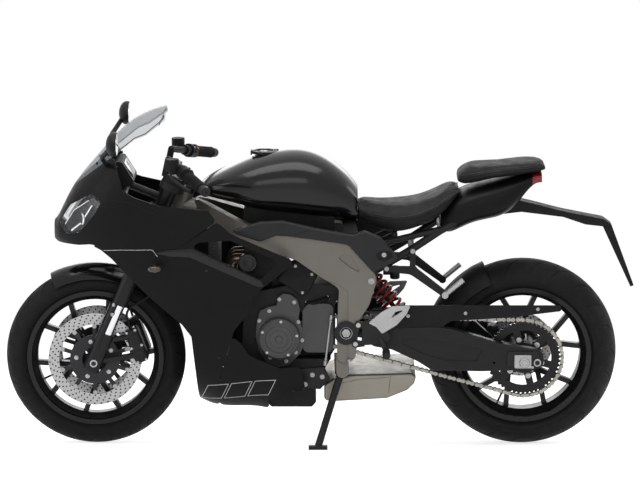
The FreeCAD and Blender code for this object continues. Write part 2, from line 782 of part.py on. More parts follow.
def lever(sign):
    """Perch on the bar with a curved hand lever in front of the grip."""
    start = GRIP_LENGTH + SWITCH_LENGTH + 2 * SEAT_GAP
    inner, outer = bar_point(start + PERCH_LENGTH), bar_point(start)
    collar = rod(inner, outer, PERCH_RADIUS)
    ahead = V(BAR_WAY.y, -BAR_WAY.x, 0).normalize()
    pivot = bar_point(start + PERCH_LENGTH / 2) + ahead * (LEVER_REACH * 0.55)
    bracket = rod(bar_point(start + PERCH_LENGTH / 2), pivot, PERCH_RADIUS * 0.7)
    knuckle = bar_point(start - LEVER_LENGTH * 0.3) + ahead * LEVER_REACH
    tip = bar_point(start - LEVER_LENGTH) + ahead * (LEVER_REACH * 0.8)
    blade = bent_tube([pivot, knuckle, tip], LEVER_THICKNESS / 2, LEVER_REACH)
    ball = Part.makeSphere(LEVER_THICKNESS * 0.8, tip)
    whole = fuse([collar, bracket, blade, ball])
    past = BAR_WAY * OVERRUN
    return whole.cut(rod(inner - past, outer + past, BAR_RADIUS + SEAT_GAP))


def switch_pod():
    """Switch housing round the bar beside the grip."""
    start = bar_point(GRIP_LENGTH + SWITCH_LENGTH)
    end = bar_point(GRIP_LENGTH + SEAT_GAP)
    past = BAR_WAY * OVERRUN
    return rod(start, end, SWITCH_RADIUS).cut(rod(start - past, end + past, BAR_RADIUS + SEAT_GAP))


def controls():
    """Both levers and switch housings, with the fluid reservoir on the right."""
    pod = switch_pod()
    hand = lever(-1)
    start = GRIP_LENGTH + SWITCH_LENGTH + PERCH_LENGTH / 2
    ahead = V(BAR_WAY.y, -BAR_WAY.x, 0).normalize()
    foot = bar_point(start) + ahead * (LEVER_REACH * 0.5)
    cup = rod(foot, foot + UP * RESERVOIR_HEIGHT, RESERVOIR_RADIUS)
    left = both_sides(fuse([hand, cup]).cut(rod(bar_point(0), BAR_ROOT, BAR_RADIUS + SEAT_GAP)))
    return both_sides(pod) + left


def wheel_blade(centre, radius, width, drop, first_angle, last_angle):
    """Thin curved blade over a tyre, its angles counted from the front horizontal over the top."""
    crown = radius + MUDGUARD_GAP
    half = width / 2
    edge = crown - drop

    def place(along, out):
        return centre + V(-out, along, 0)

    outer = Part.Arc(place(-half, edge), place(0, crown + MUDGUARD_WALL), place(half, edge)).toShape()
    inner_half = half - MUDGUARD_WALL
    inner = Part.Arc(place(inner_half, edge), place(0, crown), place(-inner_half, edge)).toShape()
    right = Part.makeLine(place(half, edge), place(inner_half, edge))
    left = Part.makeLine(place(-inner_half, edge), place(-half, edge))
    face = Part.Face(Part.Wire([outer, right, inner, left]))
    face.rotate(centre, ACROSS, first_angle)
    return face.revolve(centre, ACROSS, last_angle - first_angle)


def fork_guard(sign):
    """Shield in front of one bright stanchion, seated on the fork foot."""
    y = sign * FORK_SPACING / 2
    bore = FORK_FOOT_RADIUS + SEAT_GAP
    low, high = fork_point(FORK_FOOT_TOP * 0.5, y), fork_point(FORK_TUBE_START, y)
    ring = rod(low, high, bore + MUDGUARD_WALL)
    ring = ring.cut(rod(low - ALONG_FORK * OVERRUN, high + ALONG_FORK * OVERRUN, bore))
    behind = Part.makeBox(4 * bore, 4 * bore, 4 * FORK_TUBE_START, V(0, -2 * bore, -FORK_TUBE_START))
    behind.rotate(V(0, 0, 0), ACROSS, RAKE_ANGLE)
    behind.translate(FRONT_AXLE + ACROSS * y - BEHIND_FORK * (bore * 0.3))
    return ring.cut(behind)


def front_mudguard():
    """Blade over the front tyre on four lugs, with a shield before each stanchion."""
    drop = FRONT_TYRE_WIDTH * CROWN_SHARE
    blade = wheel_blade(
        FRONT_AXLE, FRONT_TYRE_RADIUS, MUDGUARD_WIDTH, drop, MUDGUARD_START_ANGLE, MUDGUARD_END_ANGLE
    )
    pieces = [blade]
    edge = FRONT_TYRE_RADIUS + MUDGUARD_GAP - drop
    for sign in (-1, 1):
        inner = sign * (MUDGUARD_WIDTH / 2 - MUDGUARD_WALL)
        outer = sign * (FORK_SPACING / 2 - FORK_TUBE_RADIUS - SEAT_GAP)
        for along in (edge + MUDGUARD_STAY_WIDTH * 0.4, edge + MUDGUARD_STAY_WIDTH):
            pieces.append(rod(fork_point(along, inner), fork_point(along, outer), MUDGUARD_STAY_WIDTH * 0.3))
    return [fuse(pieces), fork_guard(-1), fork_guard(1)]


def caliper_body(plane, length, depth, width, thickness):
    """Caliper straddling a disc that stands in the plane, about the point where it is built."""
    block = Part.makeBox(depth, width, length, V(-depth / 2, plane - width / 2, -length / 2))
    block = block.makeFillet(depth * 0.22, block.Edges)
    slot_width = thickness + 2 * PAD_GAP
    slot_corner = V(-depth * 0.72, plane - slot_width / 2, -length / 2 - OVERRUN)
    return block.cut(Part.makeBox(depth, slot_width, length + 2 * OVERRUN, slot_corner))


def front_caliper_place(shape_or_point):
    """Carries something built about the caliper's middle to its place behind the fork foot."""
    turn = FreeCAD.Rotation(ACROSS, -RAKE_ANGLE * 0.85)
    reach = FRONT_DISC_RADIUS - FRONT_DISC_BAND / 2 + CALIPER_DEPTH * 0.28
    out = FreeCAD.Placement(V(reach, 0, 0), FreeCAD.Rotation())
    place = FreeCAD.Placement(FRONT_AXLE, turn).multiply(out)
    if isinstance(shape_or_point, V):
        return place.multVec(shape_or_point)
    return park(shape_or_point, place)


def front_calipers():
    """Radial calipers behind the fork feet, on cast lugs."""
    y = -FORK_SPACING / 2
    body = caliper_body(-FRONT_DISC_PLANE, CALIPER_LENGTH, CALIPER_DEPTH, CALIPER_WIDTH, FRONT_DISC_THICKNESS)
    pieces = [front_caliper_place(body)]
    for along_share, height_share in ((0.12, -0.28), (0.85, 0.28)):
        start = fork_point(FORK_FOOT_TOP * along_share, y, FORK_FOOT_RADIUS * 0.7)
        side = -FRONT_DISC_PLANE - CALIPER_WIDTH * 0.3
        end = front_caliper_place(V(0, side, CALIPER_LENGTH * height_share))
        pieces.append(rod(start, end, FORK_FOOT_RADIUS * 0.36))
    whole = fuse(pieces)
    foot = fork_point(-FORK_FOOT_DROP - OVERRUN, y)
    return both_sides(whole.cut(rod(foot, fork_point(FORK_FOOT_TOP, y), FORK_FOOT_RADIUS + SEAT_GAP)))


def brake_hoses():
    """Hoses from under the lower fork bridge down to the calipers."""
    side = -FRONT_DISC_PLANE - CALIPER_WIDTH * 0.2
    top = CALIPER_LENGTH / 2 + SEAT_GAP
    start = LOWER_CLAMP_START - SEAT_GAP
    points = [
        fork_point(start, side, FORK_OFFSET * 0.6),
        fork_point(start * 0.88, side, FORK_OFFSET * 0.8),
        fork_point(start * 0.74, side - HOSE_RADIUS * 2, FORK_OFFSET * 1.4),
        fork_point(start * 0.60, side - HOSE_RADIUS * 3, FORK_OFFSET * 2.0),
        front_caliper_place(V(HOSE_RADIUS, side - HOSE_RADIUS, top + HOSE_RADIUS * 16)),
        front_caliper_place(V(0, side, top)),
    ]
    return both_sides(bent_tube(points, HOSE_RADIUS, start))


# Fairing sections from nose to belly: place, width, low, middle and high, in shares.
FAIRING_SHARES = (
    (-0.092, 0.12, 0.612, 0.642, 0.668),
    (-0.070, 0.33, 0.590, 0.655, 0.714),
    (-0.036, 0.48, 0.545, 0.662, 0.788),
    (0.009, 0.65, 0.470, 0.660, 0.856),
    (0.056, 0.78, 0.385, 0.646, 0.922),
    (0.105, 0.88, 0.300, 0.624, 0.970),
    (0.168, 0.96, 0.215, 0.592, 1.000),
    (0.239, 1.00, 0.145, 0.560, 1.004),
    (0.316, 1.00, 0.110, 0.545, 0.990),
    (0.393, 0.98, 0.100, 0.535, 0.960),
    (0.520, 0.92, 0.096, 0.520, 0.930),
)
FAIRING_LOWER_POWER = 2.3
FAIRING_UPPER_POWER = 2.1


def fairing_shell(wall):
    """Thin skin of the whole fairing before it is split into panels."""
    outer = hull(FAIRING_SHARES, FAIRING_WIDTH, FAIRING_LOWER_POWER, FAIRING_UPPER_POWER)
    inner = hull(FAIRING_SHARES, FAIRING_WIDTH, FAIRING_LOWER_POWER, FAIRING_UPPER_POWER, wall)
    return outer.cut(inner)


SCREEN_OUTLINE_SHARES = (
    (-0.060, 0.775),
    (0.009, 0.875),
    (0.077, 0.970),
    (0.133, 1.030),
    (0.170, 1.010),
    (0.171, 0.971),
    (0.126, 0.930),
    (0.101, 0.918),
    (0.044, 0.862),
    (0.009, 0.829),
    (-0.042, 0.777),
)
HEADLIGHT_OUTLINE_SHARES = (
    (-0.079, 0.668),
    (-0.050, 0.724),
    (0.001, 0.764),
    (0.026, 0.745),
    (0.008, 0.707),
    (-0.029, 0.650),
    (-0.060, 0.638),
)
COWL_OUTLINE_SHARES = (
    (-0.110, 0.608),
    (-0.110, 0.720),
    (-0.042, 0.777),
    (0.009, 0.829),
    (0.044, 0.862),
    (0.054, 0.863),
    (0.075, 0.778),
    (0.103, 0.762),
    (0.158, 0.743),
    (0.271, 0.730),
    (0.290, 0.700),
    (0.206, 0.625),
    (0.146, 0.612),
    (-0.004, 0.618),
    (-0.031, 0.611),
    (-0.070, 0.608),
)
SIDE_OUTLINE_SHARES = (
    (-0.004, 0.618),
    (0.023, 0.605),
    (0.048, 0.582),
    (0.085, 0.536),
    (0.138, 0.473),
    (0.210, 0.398),
    (0.231, 0.362),
    (0.239, 0.249),
    (0.246, 0.134),
    (0.292, 0.132),
    (0.295, 0.229),
    (0.306, 0.287),
    (0.320, 0.338),
    (0.329, 0.381),
    (0.364, 0.436),
    (0.371, 0.476),
    (0.398, 0.511),
    (0.472, 0.582),
    (0.322, 0.664),
    (0.293, 0.698),
    (0.206, 0.625),
    (0.146, 0.612),
)
VENT_OUTLINE_SHARES = (
    (0.235, 0.626),
    (0.250, 0.640),
    (0.322, 0.645),
    (0.432, 0.584),
    (0.392, 0.532),
)
BELLY_OUTLINE_SHARES = (
    (0.2925, 0.132),
    (0.409, 0.130),
    (0.407, 0.161),
    (0.493, 0.200),
    (0.481, 0.270),
    (0.435, 0.267),
    (0.382, 0.293),
    (0.363, 0.308),
    (0.345, 0.343),
    (0.3255, 0.364),
    (0.3205, 0.338),
    (0.3065, 0.287),
    (0.2955, 0.229),
)
PANEL_CORNER = 14.0


def panel(shell, shares):
    """Part of the skin inside a side outline, on both sides of the machine."""
    half = FAIRING_WIDTH
    return shell.common(side_prism(shares, -half, half, PANEL_CORNER))


def split_sides(shape):
    """The two halves of a skin on either side of the middle plane."""
    half = FAIRING_WIDTH
    block = Part.makeBox(3 * WHEELBASE, half, 2 * BIKE_HEIGHT, V(-WHEELBASE, -half - SEAM, -half))
    left = shape.common(block)
    return both_sides(left)


def headlights(shell):
    return split_sides(panel(shell, HEADLIGHT_OUTLINE_SHARES))


def upper_cowl(shell):
    whole = panel(shell, COWL_OUTLINE_SHARES)
    lens = side_prism(HEADLIGHT_OUTLINE_SHARES, -FAIRING_WIDTH, FAIRING_WIDTH, PANEL_CORNER)
    nose_bridge = FAIRING_WIDTH * 0.03
    keep = Part.makeBox(WHEELBASE, 2 * nose_bridge, BIKE_HEIGHT, V(-WHEELBASE / 2, -nose_bridge, 0))
    return [whole.cut(lens.cut(keep))]


def windscreen():
    shell = fairing_shell(SCREEN_WALL)
    return [panel(shell, SCREEN_OUTLINE_SHARES)]


def side_fairings(shell):
    whole = panel(shell, SIDE_OUTLINE_SHARES)
    vent = side_prism(VENT_OUTLINE_SHARES, -FAIRING_WIDTH, FAIRING_WIDTH, PANEL_CORNER)
    return split_sides(whole.cut(vent))


def belly_pan(shell):
    return split_sides(panel(shell, BELLY_OUTLINE_SHARES))


# Fuel tank sections: place, width, low, middle and high, in shares.
TANK_SHARES = (
    (0.248, 0.30, 0.752, 0.762, 0.772),
    (0.266, 0.52, 0.742, 0.765, 0.792),
    (0.310, 0.76, 0.730, 0.770, 0.822),
    (0.370, 0.96, 0.712, 0.775, 0.854),
    (0.430, 1.00, 0.700, 0.778, 0.871),
    (0.490, 0.96, 0.690, 0.775, 0.872),
    (0.540, 0.84, 0.680, 0.762, 0.850),
    (0.585, 0.68, 0.672, 0.740, 0.808),
    (0.614, 0.52, 0.668, 0.716, 0.764),
)
TANK_LOWER_POWER = 3.0
TANK_UPPER_POWER = 2.3


def tank_body(grow=0):
    return hull(TANK_SHARES, TANK_WIDTH, TANK_LOWER_POWER, TANK_UPPER_POWER, -grow)


def tank_top(x_share):
    """Height of the tank's ridge at a place along the machine."""
    body = tank_body()
    x = WHEELBASE * x_share
    line = Part.makeLine(V(x, 0, 0), V(x, 0, 2 * BIKE_HEIGHT))
    return body.common(line).BoundBox.ZMax


def cap_seat():
    """Centre of the filler's flat face."""
    return V(WHEELBASE * CAP_SHARE, 0, tank_top(CAP_SHARE) - CAP_HEIGHT * 0.4)


def cap_hinge(seat_point):
    """Middle of the filler cap's hinge axis, ahead of the cap's rim."""
    return seat_point + V(-CAP_RADIUS - CAP_HINGE_OFFSET, 0, SEAT_GAP + CAP_HEIGHT)


def fuel_tank(seat_point):
    """Tank with a flat filler seat and two lugs that hold the cap's hinge."""
    pocket = rod(seat_point, seat_point + UP * OVERRUN * 2, CAP_RADIUS + CAP_POCKET_GAP)
    pieces = [tank_body().cut(pocket)]
    hinge = cap_hinge(seat_point)
    wide = CAP_KNUCKLE_RADIUS * 2
    for sign in (-1, 1):
        near = hinge + ACROSS * sign * (CAP_KNUCKLE_LENGTH / 2 + SEAT_GAP)
        pieces.append(rod(near, near + ACROSS * sign * wide, CAP_KNUCKLE_RADIUS))
        side = min(near.y, near.y + sign * wide)
        drop = hinge.z - seat_point.z + CAP_KNUCKLE_RADIUS
        foot = V(hinge.x - CAP_KNUCKLE_RADIUS * 0.9, side, hinge.z - drop)
        pieces.append(Part.makeBox(CAP_KNUCKLE_RADIUS * 1.8, wide, drop, foot))
    return [fuse(pieces)]


def fuel_cap(seat_point):
    """Round filler cap with a raised rim and its hinge knuckle."""
    base = seat_point + UP * SEAT_GAP
    plate = rod(base, base + UP * CAP_HEIGHT, CAP_RADIUS)
    dish = rod(base + UP * (CAP_HEIGHT * 0.7), base + UP * (CAP_HEIGHT + OVERRUN), CAP_RADIUS * 0.78)
    hinge = cap_hinge(seat_point)
    half = ACROSS * (CAP_KNUCKLE_LENGTH / 2)
    knuckle = rod(hinge - half, hinge + half, CAP_KNUCKLE_RADIUS)
    return [fuse([plate.cut(dish), knuckle])]


SEAT_SHARES = (
    (0.576, 0.46, 0.692, 0.703, 0.714),
    (0.612, 0.52, 0.672, 0.703, 0.734),
    (0.650, 0.72, 0.656, 0.688, 0.722),
    (0.700, 0.96, 0.643, 0.683, 0.719),
    (0.745, 1.00, 0.655, 0.690, 0.725),
    (0.790, 0.94, 0.680, 0.712, 0.744),
    (0.830, 0.76, 0.722, 0.746, 0.771),
    (0.850, 0.62, 0.752, 0.764, 0.777),
)
PASSENGER_SHARES = (
    (0.842, 0.60, 0.782, 0.792, 0.802),
    (0.862, 0.86, 0.778, 0.802, 0.824),
    (0.905, 1.00, 0.790, 0.812, 0.829),
    (0.960, 0.98, 0.802, 0.822, 0.834),
    (1.020, 0.86, 0.812, 0.828, 0.840),
    (1.052, 0.66, 0.818, 0.828, 0.838),
)
TAIL_SHARES = (
    (0.806, 0.70, 0.652, 0.672, 0.700),
    (0.850, 0.96, 0.648, 0.700, 0.752),
    (0.900, 1.00, 0.672, 0.722, 0.774),
    (0.950, 0.92, 0.688, 0.738, 0.790),
    (0.982, 0.80, 0.718, 0.759, 0.800),
    (1.040, 0.58, 0.780, 0.796, 0.812),
)
CUSHION_LOWER_POWER = 3.4
CUSHION_UPPER_POWER = 2.8


def rider_seat():
    seat = hull(SEAT_SHARES, SEAT_WIDTH, CUSHION_LOWER_POWER, CUSHION_UPPER_POWER)
    return [seat.cut(tank_body(SEAM))]


def passenger_seat():
    return [hull(PASSENGER_SHARES, PASSENGER_WIDTH, CUSHION_LOWER_POWER, CUSHION_UPPER_POWER)]


LIGHT_LENGTH_SHARE = 0.022


def tail_body(grow=0):
    tail = hull(TAIL_SHARES, TAIL_WIDTH, CUSHION_UPPER_POWER, CUSHION_UPPER_POWER, -grow)
    cushion = hull(PASSENGER_SHARES, PASSENGER_WIDTH, CUSHION_LOWER_POWER, CUSHION_UPPER_POWER, -SEAT_GAP)
    seat = hull(SEAT_SHARES, SEAT_WIDTH, CUSHION_LOWER_POWER, CUSHION_UPPER_POWER, -SEAT_GAP)
    return tail.cut(cushion).cut(seat)


def tail_light_block(grow=0):
    length = WHEELBASE * LIGHT_LENGTH_SHARE
    x = WHEELBASE * 1.040 - length - grow
    return Part.makeBox(2 * length, 2 * TAIL_WIDTH, BIKE_HEIGHT, V(x, -TAIL_WIDTH, 0))


def tail_cowl(tube_space):
    return [tail_body().cut(tail_light_block(SEAT_GAP)).cut(tube_space)]


def tail_light():
    return [tail_body().common(tail_light_block())]


# Side view of the twin-spar frame: spar from the head, then the pivot plate.
SPAR_OUTLINE_SHARES = (
    (0.232, 0.735),
    (0.268, 0.722),
    (0.330, 0.690),
    (0.391, 0.660),
    (0.465, 0.646),
    (0.573, 0.632),
    (0.592, 0.622),
    (0.650, 0.541),
    (0.658, 0.520),
    (0.640, 0.446),
    (0.617, 0.402),
    (0.613, 0.333),
    (0.608, 0.287),
    (0.566, 0.270),
    (0.566, 0.336),
    (0.569, 0.457),
    (0.571, 0.494),
    (0.525, 0.532),
    (0.472, 0.578),
    (0.391, 0.610),
    (0.310, 0.640),
    (0.232, 0.660),
)
# Pressed chevron in the spar's outer face, and the step down the front of the pivot plate.
CHEVRON_SHARES = ((0.566, 0.588), (0.597, 0.594), (0.624, 0.537), (0.594, 0.5585))
LEG_STEP_SHARES = ((0.540, 0.520), (0.571, 0.506), (0.592, 0.484), (0.592, 0.240), (0.540, 0.240))
# Plan view of the left spar: place along the wheelbase and distance from the middle plane.
SPAR_PLAN_SHARES = ((0.225, 0.20), (0.270, 0.48), (0.330, 0.76), (0.400, 0.96), (0.450, 1.00), (0.670, 1.00))
SPAR_CORNER = 26.0


def spar_band():
    """Upright wall that follows the spar's plan from the head to the pivot plate."""
    outer = [V(WHEELBASE * x, -FRAME_WIDTH * y / 2, 0) for x, y in SPAR_PLAN_SHARES]
    inner = [point + V(SPAR_DEPTH * 0.35, SPAR_DEPTH, 0) for point in outer[:-1]]
    inner.append(outer[-1] + V(0, SPAR_DEPTH, 0))
    inner[0] = V(inner[0].x, 0, 0)
    outer[0] = V(outer[0].x, 0, 0)
    loop = outer + inner[::-1]
    clean = [loop[0]]
    for point in loop[1:]:
        if (point - clean[-1]).Length > SEAT_GAP:
            clean.append(point)
    face = Part.Face(rounded_wire(clean, SPAR_DEPTH))
    return face.extrude(V(0, 0, BIKE_HEIGHT))


SWINGARM_PIVOT = spot(SWINGARM_PIVOT_SHARES)
STAND_PIVOT = spot(STAND_PIVOT_SHARES, -STAND_PIVOT_PLANE)
STAND_AXIS = V(STAND_AXIS_TOE_SHARE, -1, STAND_AXIS_RISE_SHARE).normalize()


def stand_clevis():
    """Two cheeks under the left pivot plate with the bolt that the stand turns on."""
    lift = (UP - STAND_AXIS * UP.dot(STAND_AXIS)).normalize()
    side = lift.cross(STAND_AXIS)
    reach = STAND_EAR_DEPTH / 2 + SEAT_GAP
    half = STAND_AXIS * (reach + STAND_LUG_DEPTH / 2)
    pieces = [rod(STAND_PIVOT - half, STAND_PIVOT + half, STAND_BOLT_RADIUS)]
    for start in (-reach - STAND_LUG_DEPTH, reach):
        foot = STAND_PIVOT + STAND_AXIS * start
        pieces.append(rod(foot, foot + STAND_AXIS * STAND_LUG_DEPTH, STAND_EAR_RADIUS))
        near = foot - side * STAND_EAR_RADIUS
        wide = side * (2 * STAND_EAR_RADIUS)
        tall = lift * (3 * STAND_EAR_RADIUS)
        loop = [near, near + wide, near + wide + tall, near + tall, near]
        pieces.append(Part.Face(Part.makePolygon(loop)).extrude(STAND_AXIS * STAND_LUG_DEPTH))
    return pieces


def main_frame(tank_space):
    """Twin spars, head tube, pivot plates and cross tube, as one casting."""
    side = spar_band().common(side_prism(SPAR_OUTLINE_SHARES, -FRAME_WIDTH, 0, SPAR_CORNER))
    face = -FRAME_WIDTH / 2
    for shares in (CHEVRON_SHARES, LEG_STEP_SHARES):
        side = side.cut(side_prism(shares, face - OVERRUN, face + SPAR_RECESS, SPAR_RECESS))
    pieces = both_sides(side)
    head_foot = fork_point(HEAD_TUBE_START, 0, FORK_OFFSET)
    head_top = fork_point(HEAD_TUBE_START + HEAD_TUBE_LENGTH, 0, FORK_OFFSET)
    pieces.append(rod(head_foot, head_top, HEAD_TUBE_RADIUS))
    root = (head_foot + head_top) / 2
    gusset = V(HEAD_TUBE_RADIUS * 2.2, 0, -HEAD_TUBE_RADIUS * 0.5)
    pieces.append(rod(root, root + gusset, HEAD_TUBE_RADIUS * 0.9))
    half = FRAME_WIDTH / 2 - SPAR_DEPTH / 2
    bridge = spot(SHOCK_TOP_SHARES)
    pieces.append(rod(bridge - ACROSS * half, bridge + ACROSS * half, FRAME_BRIDGE_RADIUS))
    pieces += stand_clevis()
    frame = fuse(pieces).cut(tank_space)
    bore = STEM_RADIUS + PIN_CLEARANCE
    past = ALONG_FORK * HEAD_TUBE_LENGTH
    frame = frame.cut(rod(head_foot - past, head_top + past, bore))
    reach = ACROSS * (FRAME_WIDTH / 2 + OVERRUN)
    bolt = rod(SWINGARM_PIVOT - reach, SWINGARM_PIVOT + reach, PIVOT_BOLT_RADIUS + SEAT_GAP)
    return [frame.cut(bolt)]


SUBFRAME_SHARES = ((0.650, 0.529), (0.738, 0.594), (0.805, 0.650), (0.860, 0.688), (0.940, 0.742))
SUBFRAME_TOP_SHARES = ((0.615, 0.575), (0.700, 0.622), (0.760, 0.640), (0.812, 0.655))
SEAT_BRIDGE_SHARES = (0.700, 0.636)


def subframe_tubes(grow=0):
    """Bent rails of both sides with the cross tubes between them, let out by an amount."""
    half = SUBFRAME_SPACING / 2
    rails = []
    for route, size_share in ((SUBFRAME_SHARES, 1), (SUBFRAME_TOP_SHARES, 0.84)):
        radius = SUBFRAME_RADIUS * size_share + grow
        rails.append(bent_tube([spot(pair, -half) for pair in route], radius, SUBFRAME_RADIUS * 8))
    pieces = both_sides(fuse(rails))
    for shares in (SUBFRAME_SHARES[1], SUBFRAME_SHARES[2], SUBFRAME_SHARES[4], SEAT_BRIDGE_SHARES):
        pieces.append(rod(spot(shares, -half), spot(shares, half), SUBFRAME_RADIUS * 0.7 + grow))
    return fuse(pieces)


def subframe(seat_space):
    """Rear rails with lugs on the main frame's inner faces, joined by cross tubes."""
    pieces = [subframe_tubes()]
    root = SUBFRAME_SPACING / 2 - SUBFRAME_RADIUS * 1.6
    face = FRAME_WIDTH / 2 - SPAR_DEPTH - SEAT_GAP
    for shares in (SUBFRAME_SHARES[0], SUBFRAME_TOP_SHARES[0]):
        for sign in (-1, 1):
            pieces.append(rod(spot(shares, sign * root), spot(shares, sign * face), SUBFRAME_RADIUS * 1.25))
    return [fuse(pieces).cut(seat_space)]


# Pillion footrest hanger: two arms from the rail that meet over the peg.
HANGER_BOLT_SHARES = ((0.6805, 0.541), (0.741, 0.593))
HANGER_FORK_SHARES = (0.741, 0.536)
HANGER_EYE_SHARES = (0.816, 0.466)
PILLION_PEG_TIP_SHARES = (0.858, 0.510)
HANGER_PLANE = -(SUBFRAME_SPACING / 2 + SUBFRAME_RADIUS + SEAT_GAP)


def flat_bar(start, end, width, end_width):
    """Tapered flat bar of the hanger between two points, with a round eye at each."""
    along = (end - start).normalize()
    side = V(-along.z, 0, along.x)
    loop = [start - side * (width / 2), end - side * (end_width / 2)]
    loop += [end + side * (end_width / 2), start + side * (width / 2)]
    depth = ACROSS * PILLION_HANGER_DEPTH
    pieces = [Part.Face(Part.makePolygon(loop + loop[:1])).extrude(-depth)]
    pieces.append(rod(start, start - depth, width * 0.55))
    pieces.append(rod(end, end - depth, end_width * 0.55))
    return pieces


def pillion_hangers(tubes):
    """Forked brackets bolted to the outer sides of the lower rails."""
    bolts = [spot(shares, HANGER_PLANE) for shares in HANGER_BOLT_SHARES]
    fork, eye = spot(HANGER_FORK_SHARES, HANGER_PLANE), spot(HANGER_EYE_SHARES, HANGER_PLANE)
    wide = PILLION_HANGER_WIDTH
    pieces = flat_bar(bolts[0], fork, wide, wide * 1.4)
    pieces += flat_bar(bolts[1], fork, wide * 0.9, wide)
    pieces += flat_bar(fork, eye, wide * 1.5, wide * 1.1)
    for bolt in bolts:
        pieces.append(rod(bolt + ACROSS * SUBFRAME_RADIUS, bolt, wide * 0.4))
    return both_sides(fuse(pieces).cut(tubes))


def pillion_pegs():
    """Pegs folded up against their hangers."""
    face = HANGER_PLANE - PILLION_HANGER_DEPTH - SEAT_GAP
    radius = PILLION_PEG_RADIUS
    eye = spot(HANGER_EYE_SHARES, face)
    knuckle = rod(eye, eye - ACROSS * (radius * 2), radius * 1.15)
    root = eye - ACROSS * radius
    peg = rod(root, spot(PILLION_PEG_TIP_SHARES, face - radius), radius * 0.95)
    return both_sides(fuse([knuckle, peg]))


CRANKCASE_SHARES = (
    (0.345, 0.300),
    (0.352, 0.470),
    (0.470, 0.500),
    (0.588, 0.500),
    (0.588, 0.466),
    (0.562, 0.450),
    (0.562, 0.300),
    (0.520, 0.215),
    (0.380, 0.215),
)
CYLINDER_SHARES = ((0.350, 0.440), (0.350, 0.640), (0.440, 0.640), (0.462, 0.470))
SUMP_SHARES = ((0.375, 0.192), (0.413, 0.134), (0.508, 0.134), (0.518, 0.149), (0.511, 0.215), (0.380, 0.215))
ENGINE_CORNER = 22.0


ENGINE_HALF = FRAME_WIDTH / 2 - SPAR_DEPTH - SEAT_GAP


def engine_block():
    """Crankcase with the cylinder bank over it, cut away on the left round the sprocket."""
    case = side_prism(CRANKCASE_SHARES, -ENGINE_HALF, ENGINE_HALF, ENGINE_CORNER)
    bank = side_prism(CYLINDER_SHARES, -HEAD_WIDTH / 2, HEAD_WIDTH / 2, ENGINE_CORNER)
    room = FRONT_PITCH_RADIUS + OVERRUN
    inner_face = -CHAIN_PLANE + CHAIN_WIDTH
    corner_point = FRONT_SPROCKET + V(-room, inner_face - ENGINE_WIDTH, -room * 1.6)
    notch = Part.makeBox(WHEELBASE, ENGINE_WIDTH, room * 2.6, corner_point)
    tip = FRONT_PITCH_RADIUS - CHAIN_ROLLER_RADIUS - SEAT_GAP
    plane = FRONT_SPROCKET - ACROSS * CHAIN_PLANE
    half = ACROSS * (SPROCKET_THICKNESS / 2)
    sprocket = rod(plane - half, plane + half, tip)
    shaft = rod(plane - half * 2, FRONT_SPROCKET, STEM_RADIUS)
    return [fuse([case.cut(notch), bank, sprocket, shaft])]


CLUTCH_SHARES = (0.470, 0.350)
SPROCKET_COVER_SHARES = (
    (0.486, 0.300),
    (0.486, 0.425),
    (0.500, 0.444),
    (0.558, 0.444),
    (0.558, 0.300),
)


def engine_covers():
    """Round alternator and clutch covers, and the flat one over the front sprocket."""
    left_face = spot(ALTERNATOR_SHARES, -ENGINE_HALF)
    left_end = left_face - ACROSS * ALTERNATOR_DEPTH
    left = rounded_rims(rod(left_face, left_end, ALTERNATOR_RADIUS), COVER_ROUND, (left_end.y,))
    right_face = spot(CLUTCH_SHARES, ENGINE_HALF)
    right_end = right_face + ACROSS * CLUTCH_DEPTH
    right = rounded_rims(rod(right_face, right_end, CLUTCH_RADIUS), COVER_ROUND, (right_end.y,))
    outer = -ENGINE_HALF - SPROCKET_COVER_DEPTH
    return [left, right, side_prism(SPROCKET_COVER_SHARES, outer, -ENGINE_HALF, ENGINE_CORNER)]


def sump():
    start = -SUMP_OFFSET - SUMP_WIDTH / 2 + HEADER_RADIUS
    return [side_prism(SUMP_SHARES, start, start + SUMP_WIDTH, ENGINE_CORNER * 0.4)]


RADIATOR_SHARES = ((0.270, 0.380), (0.292, 0.380), (0.292, 0.640), (0.270, 0.640))


def radiator(frame):
    """Core hung from the spars on two posts."""
    low = spot(RADIATOR_SHARES[0])
    high = spot(RADIATOR_SHARES[2])
    core = Part.makeBox(high.x - low.x, RADIATOR_WIDTH, high.z - low.z, V(low.x, -RADIATOR_WIDTH / 2, low.z))
    pieces = [core]
    for sign in (-1, 1):
        middle = V((low.x + high.x) / 2, sign * RADIATOR_WIDTH * 0.24, high.z - RADIATOR_DEPTH)
        pieces.append(rod(middle, middle + UP * (3 * RADIATOR_DEPTH), RADIATOR_DEPTH * 0.3))
    hung = fuse(pieces).cut(frame)
    return [max(hung.Solids, key=lambda solid: solid.Volume)]


HEADER_SHARES = (
    (0.350, 0.560),
    (0.322, 0.560),
    (0.312, 0.420),
    (0.318, 0.250),
    (0.372, 0.176),
    (0.536, 0.176),
)
AIRBOX_SHARES = ((0.350, 0.6405), (0.350, 0.720), (0.560, 0.720), (0.560, 0.6405))


def airbox(tank_space, frame):
    """Black housing between the cylinder head and the tank."""
    half = HEAD_WIDTH / 2
    block = side_prism(AIRBOX_SHARES, -half, half, PANEL_CORNER)
    return [block.cut(tank_space).cut(frame)]


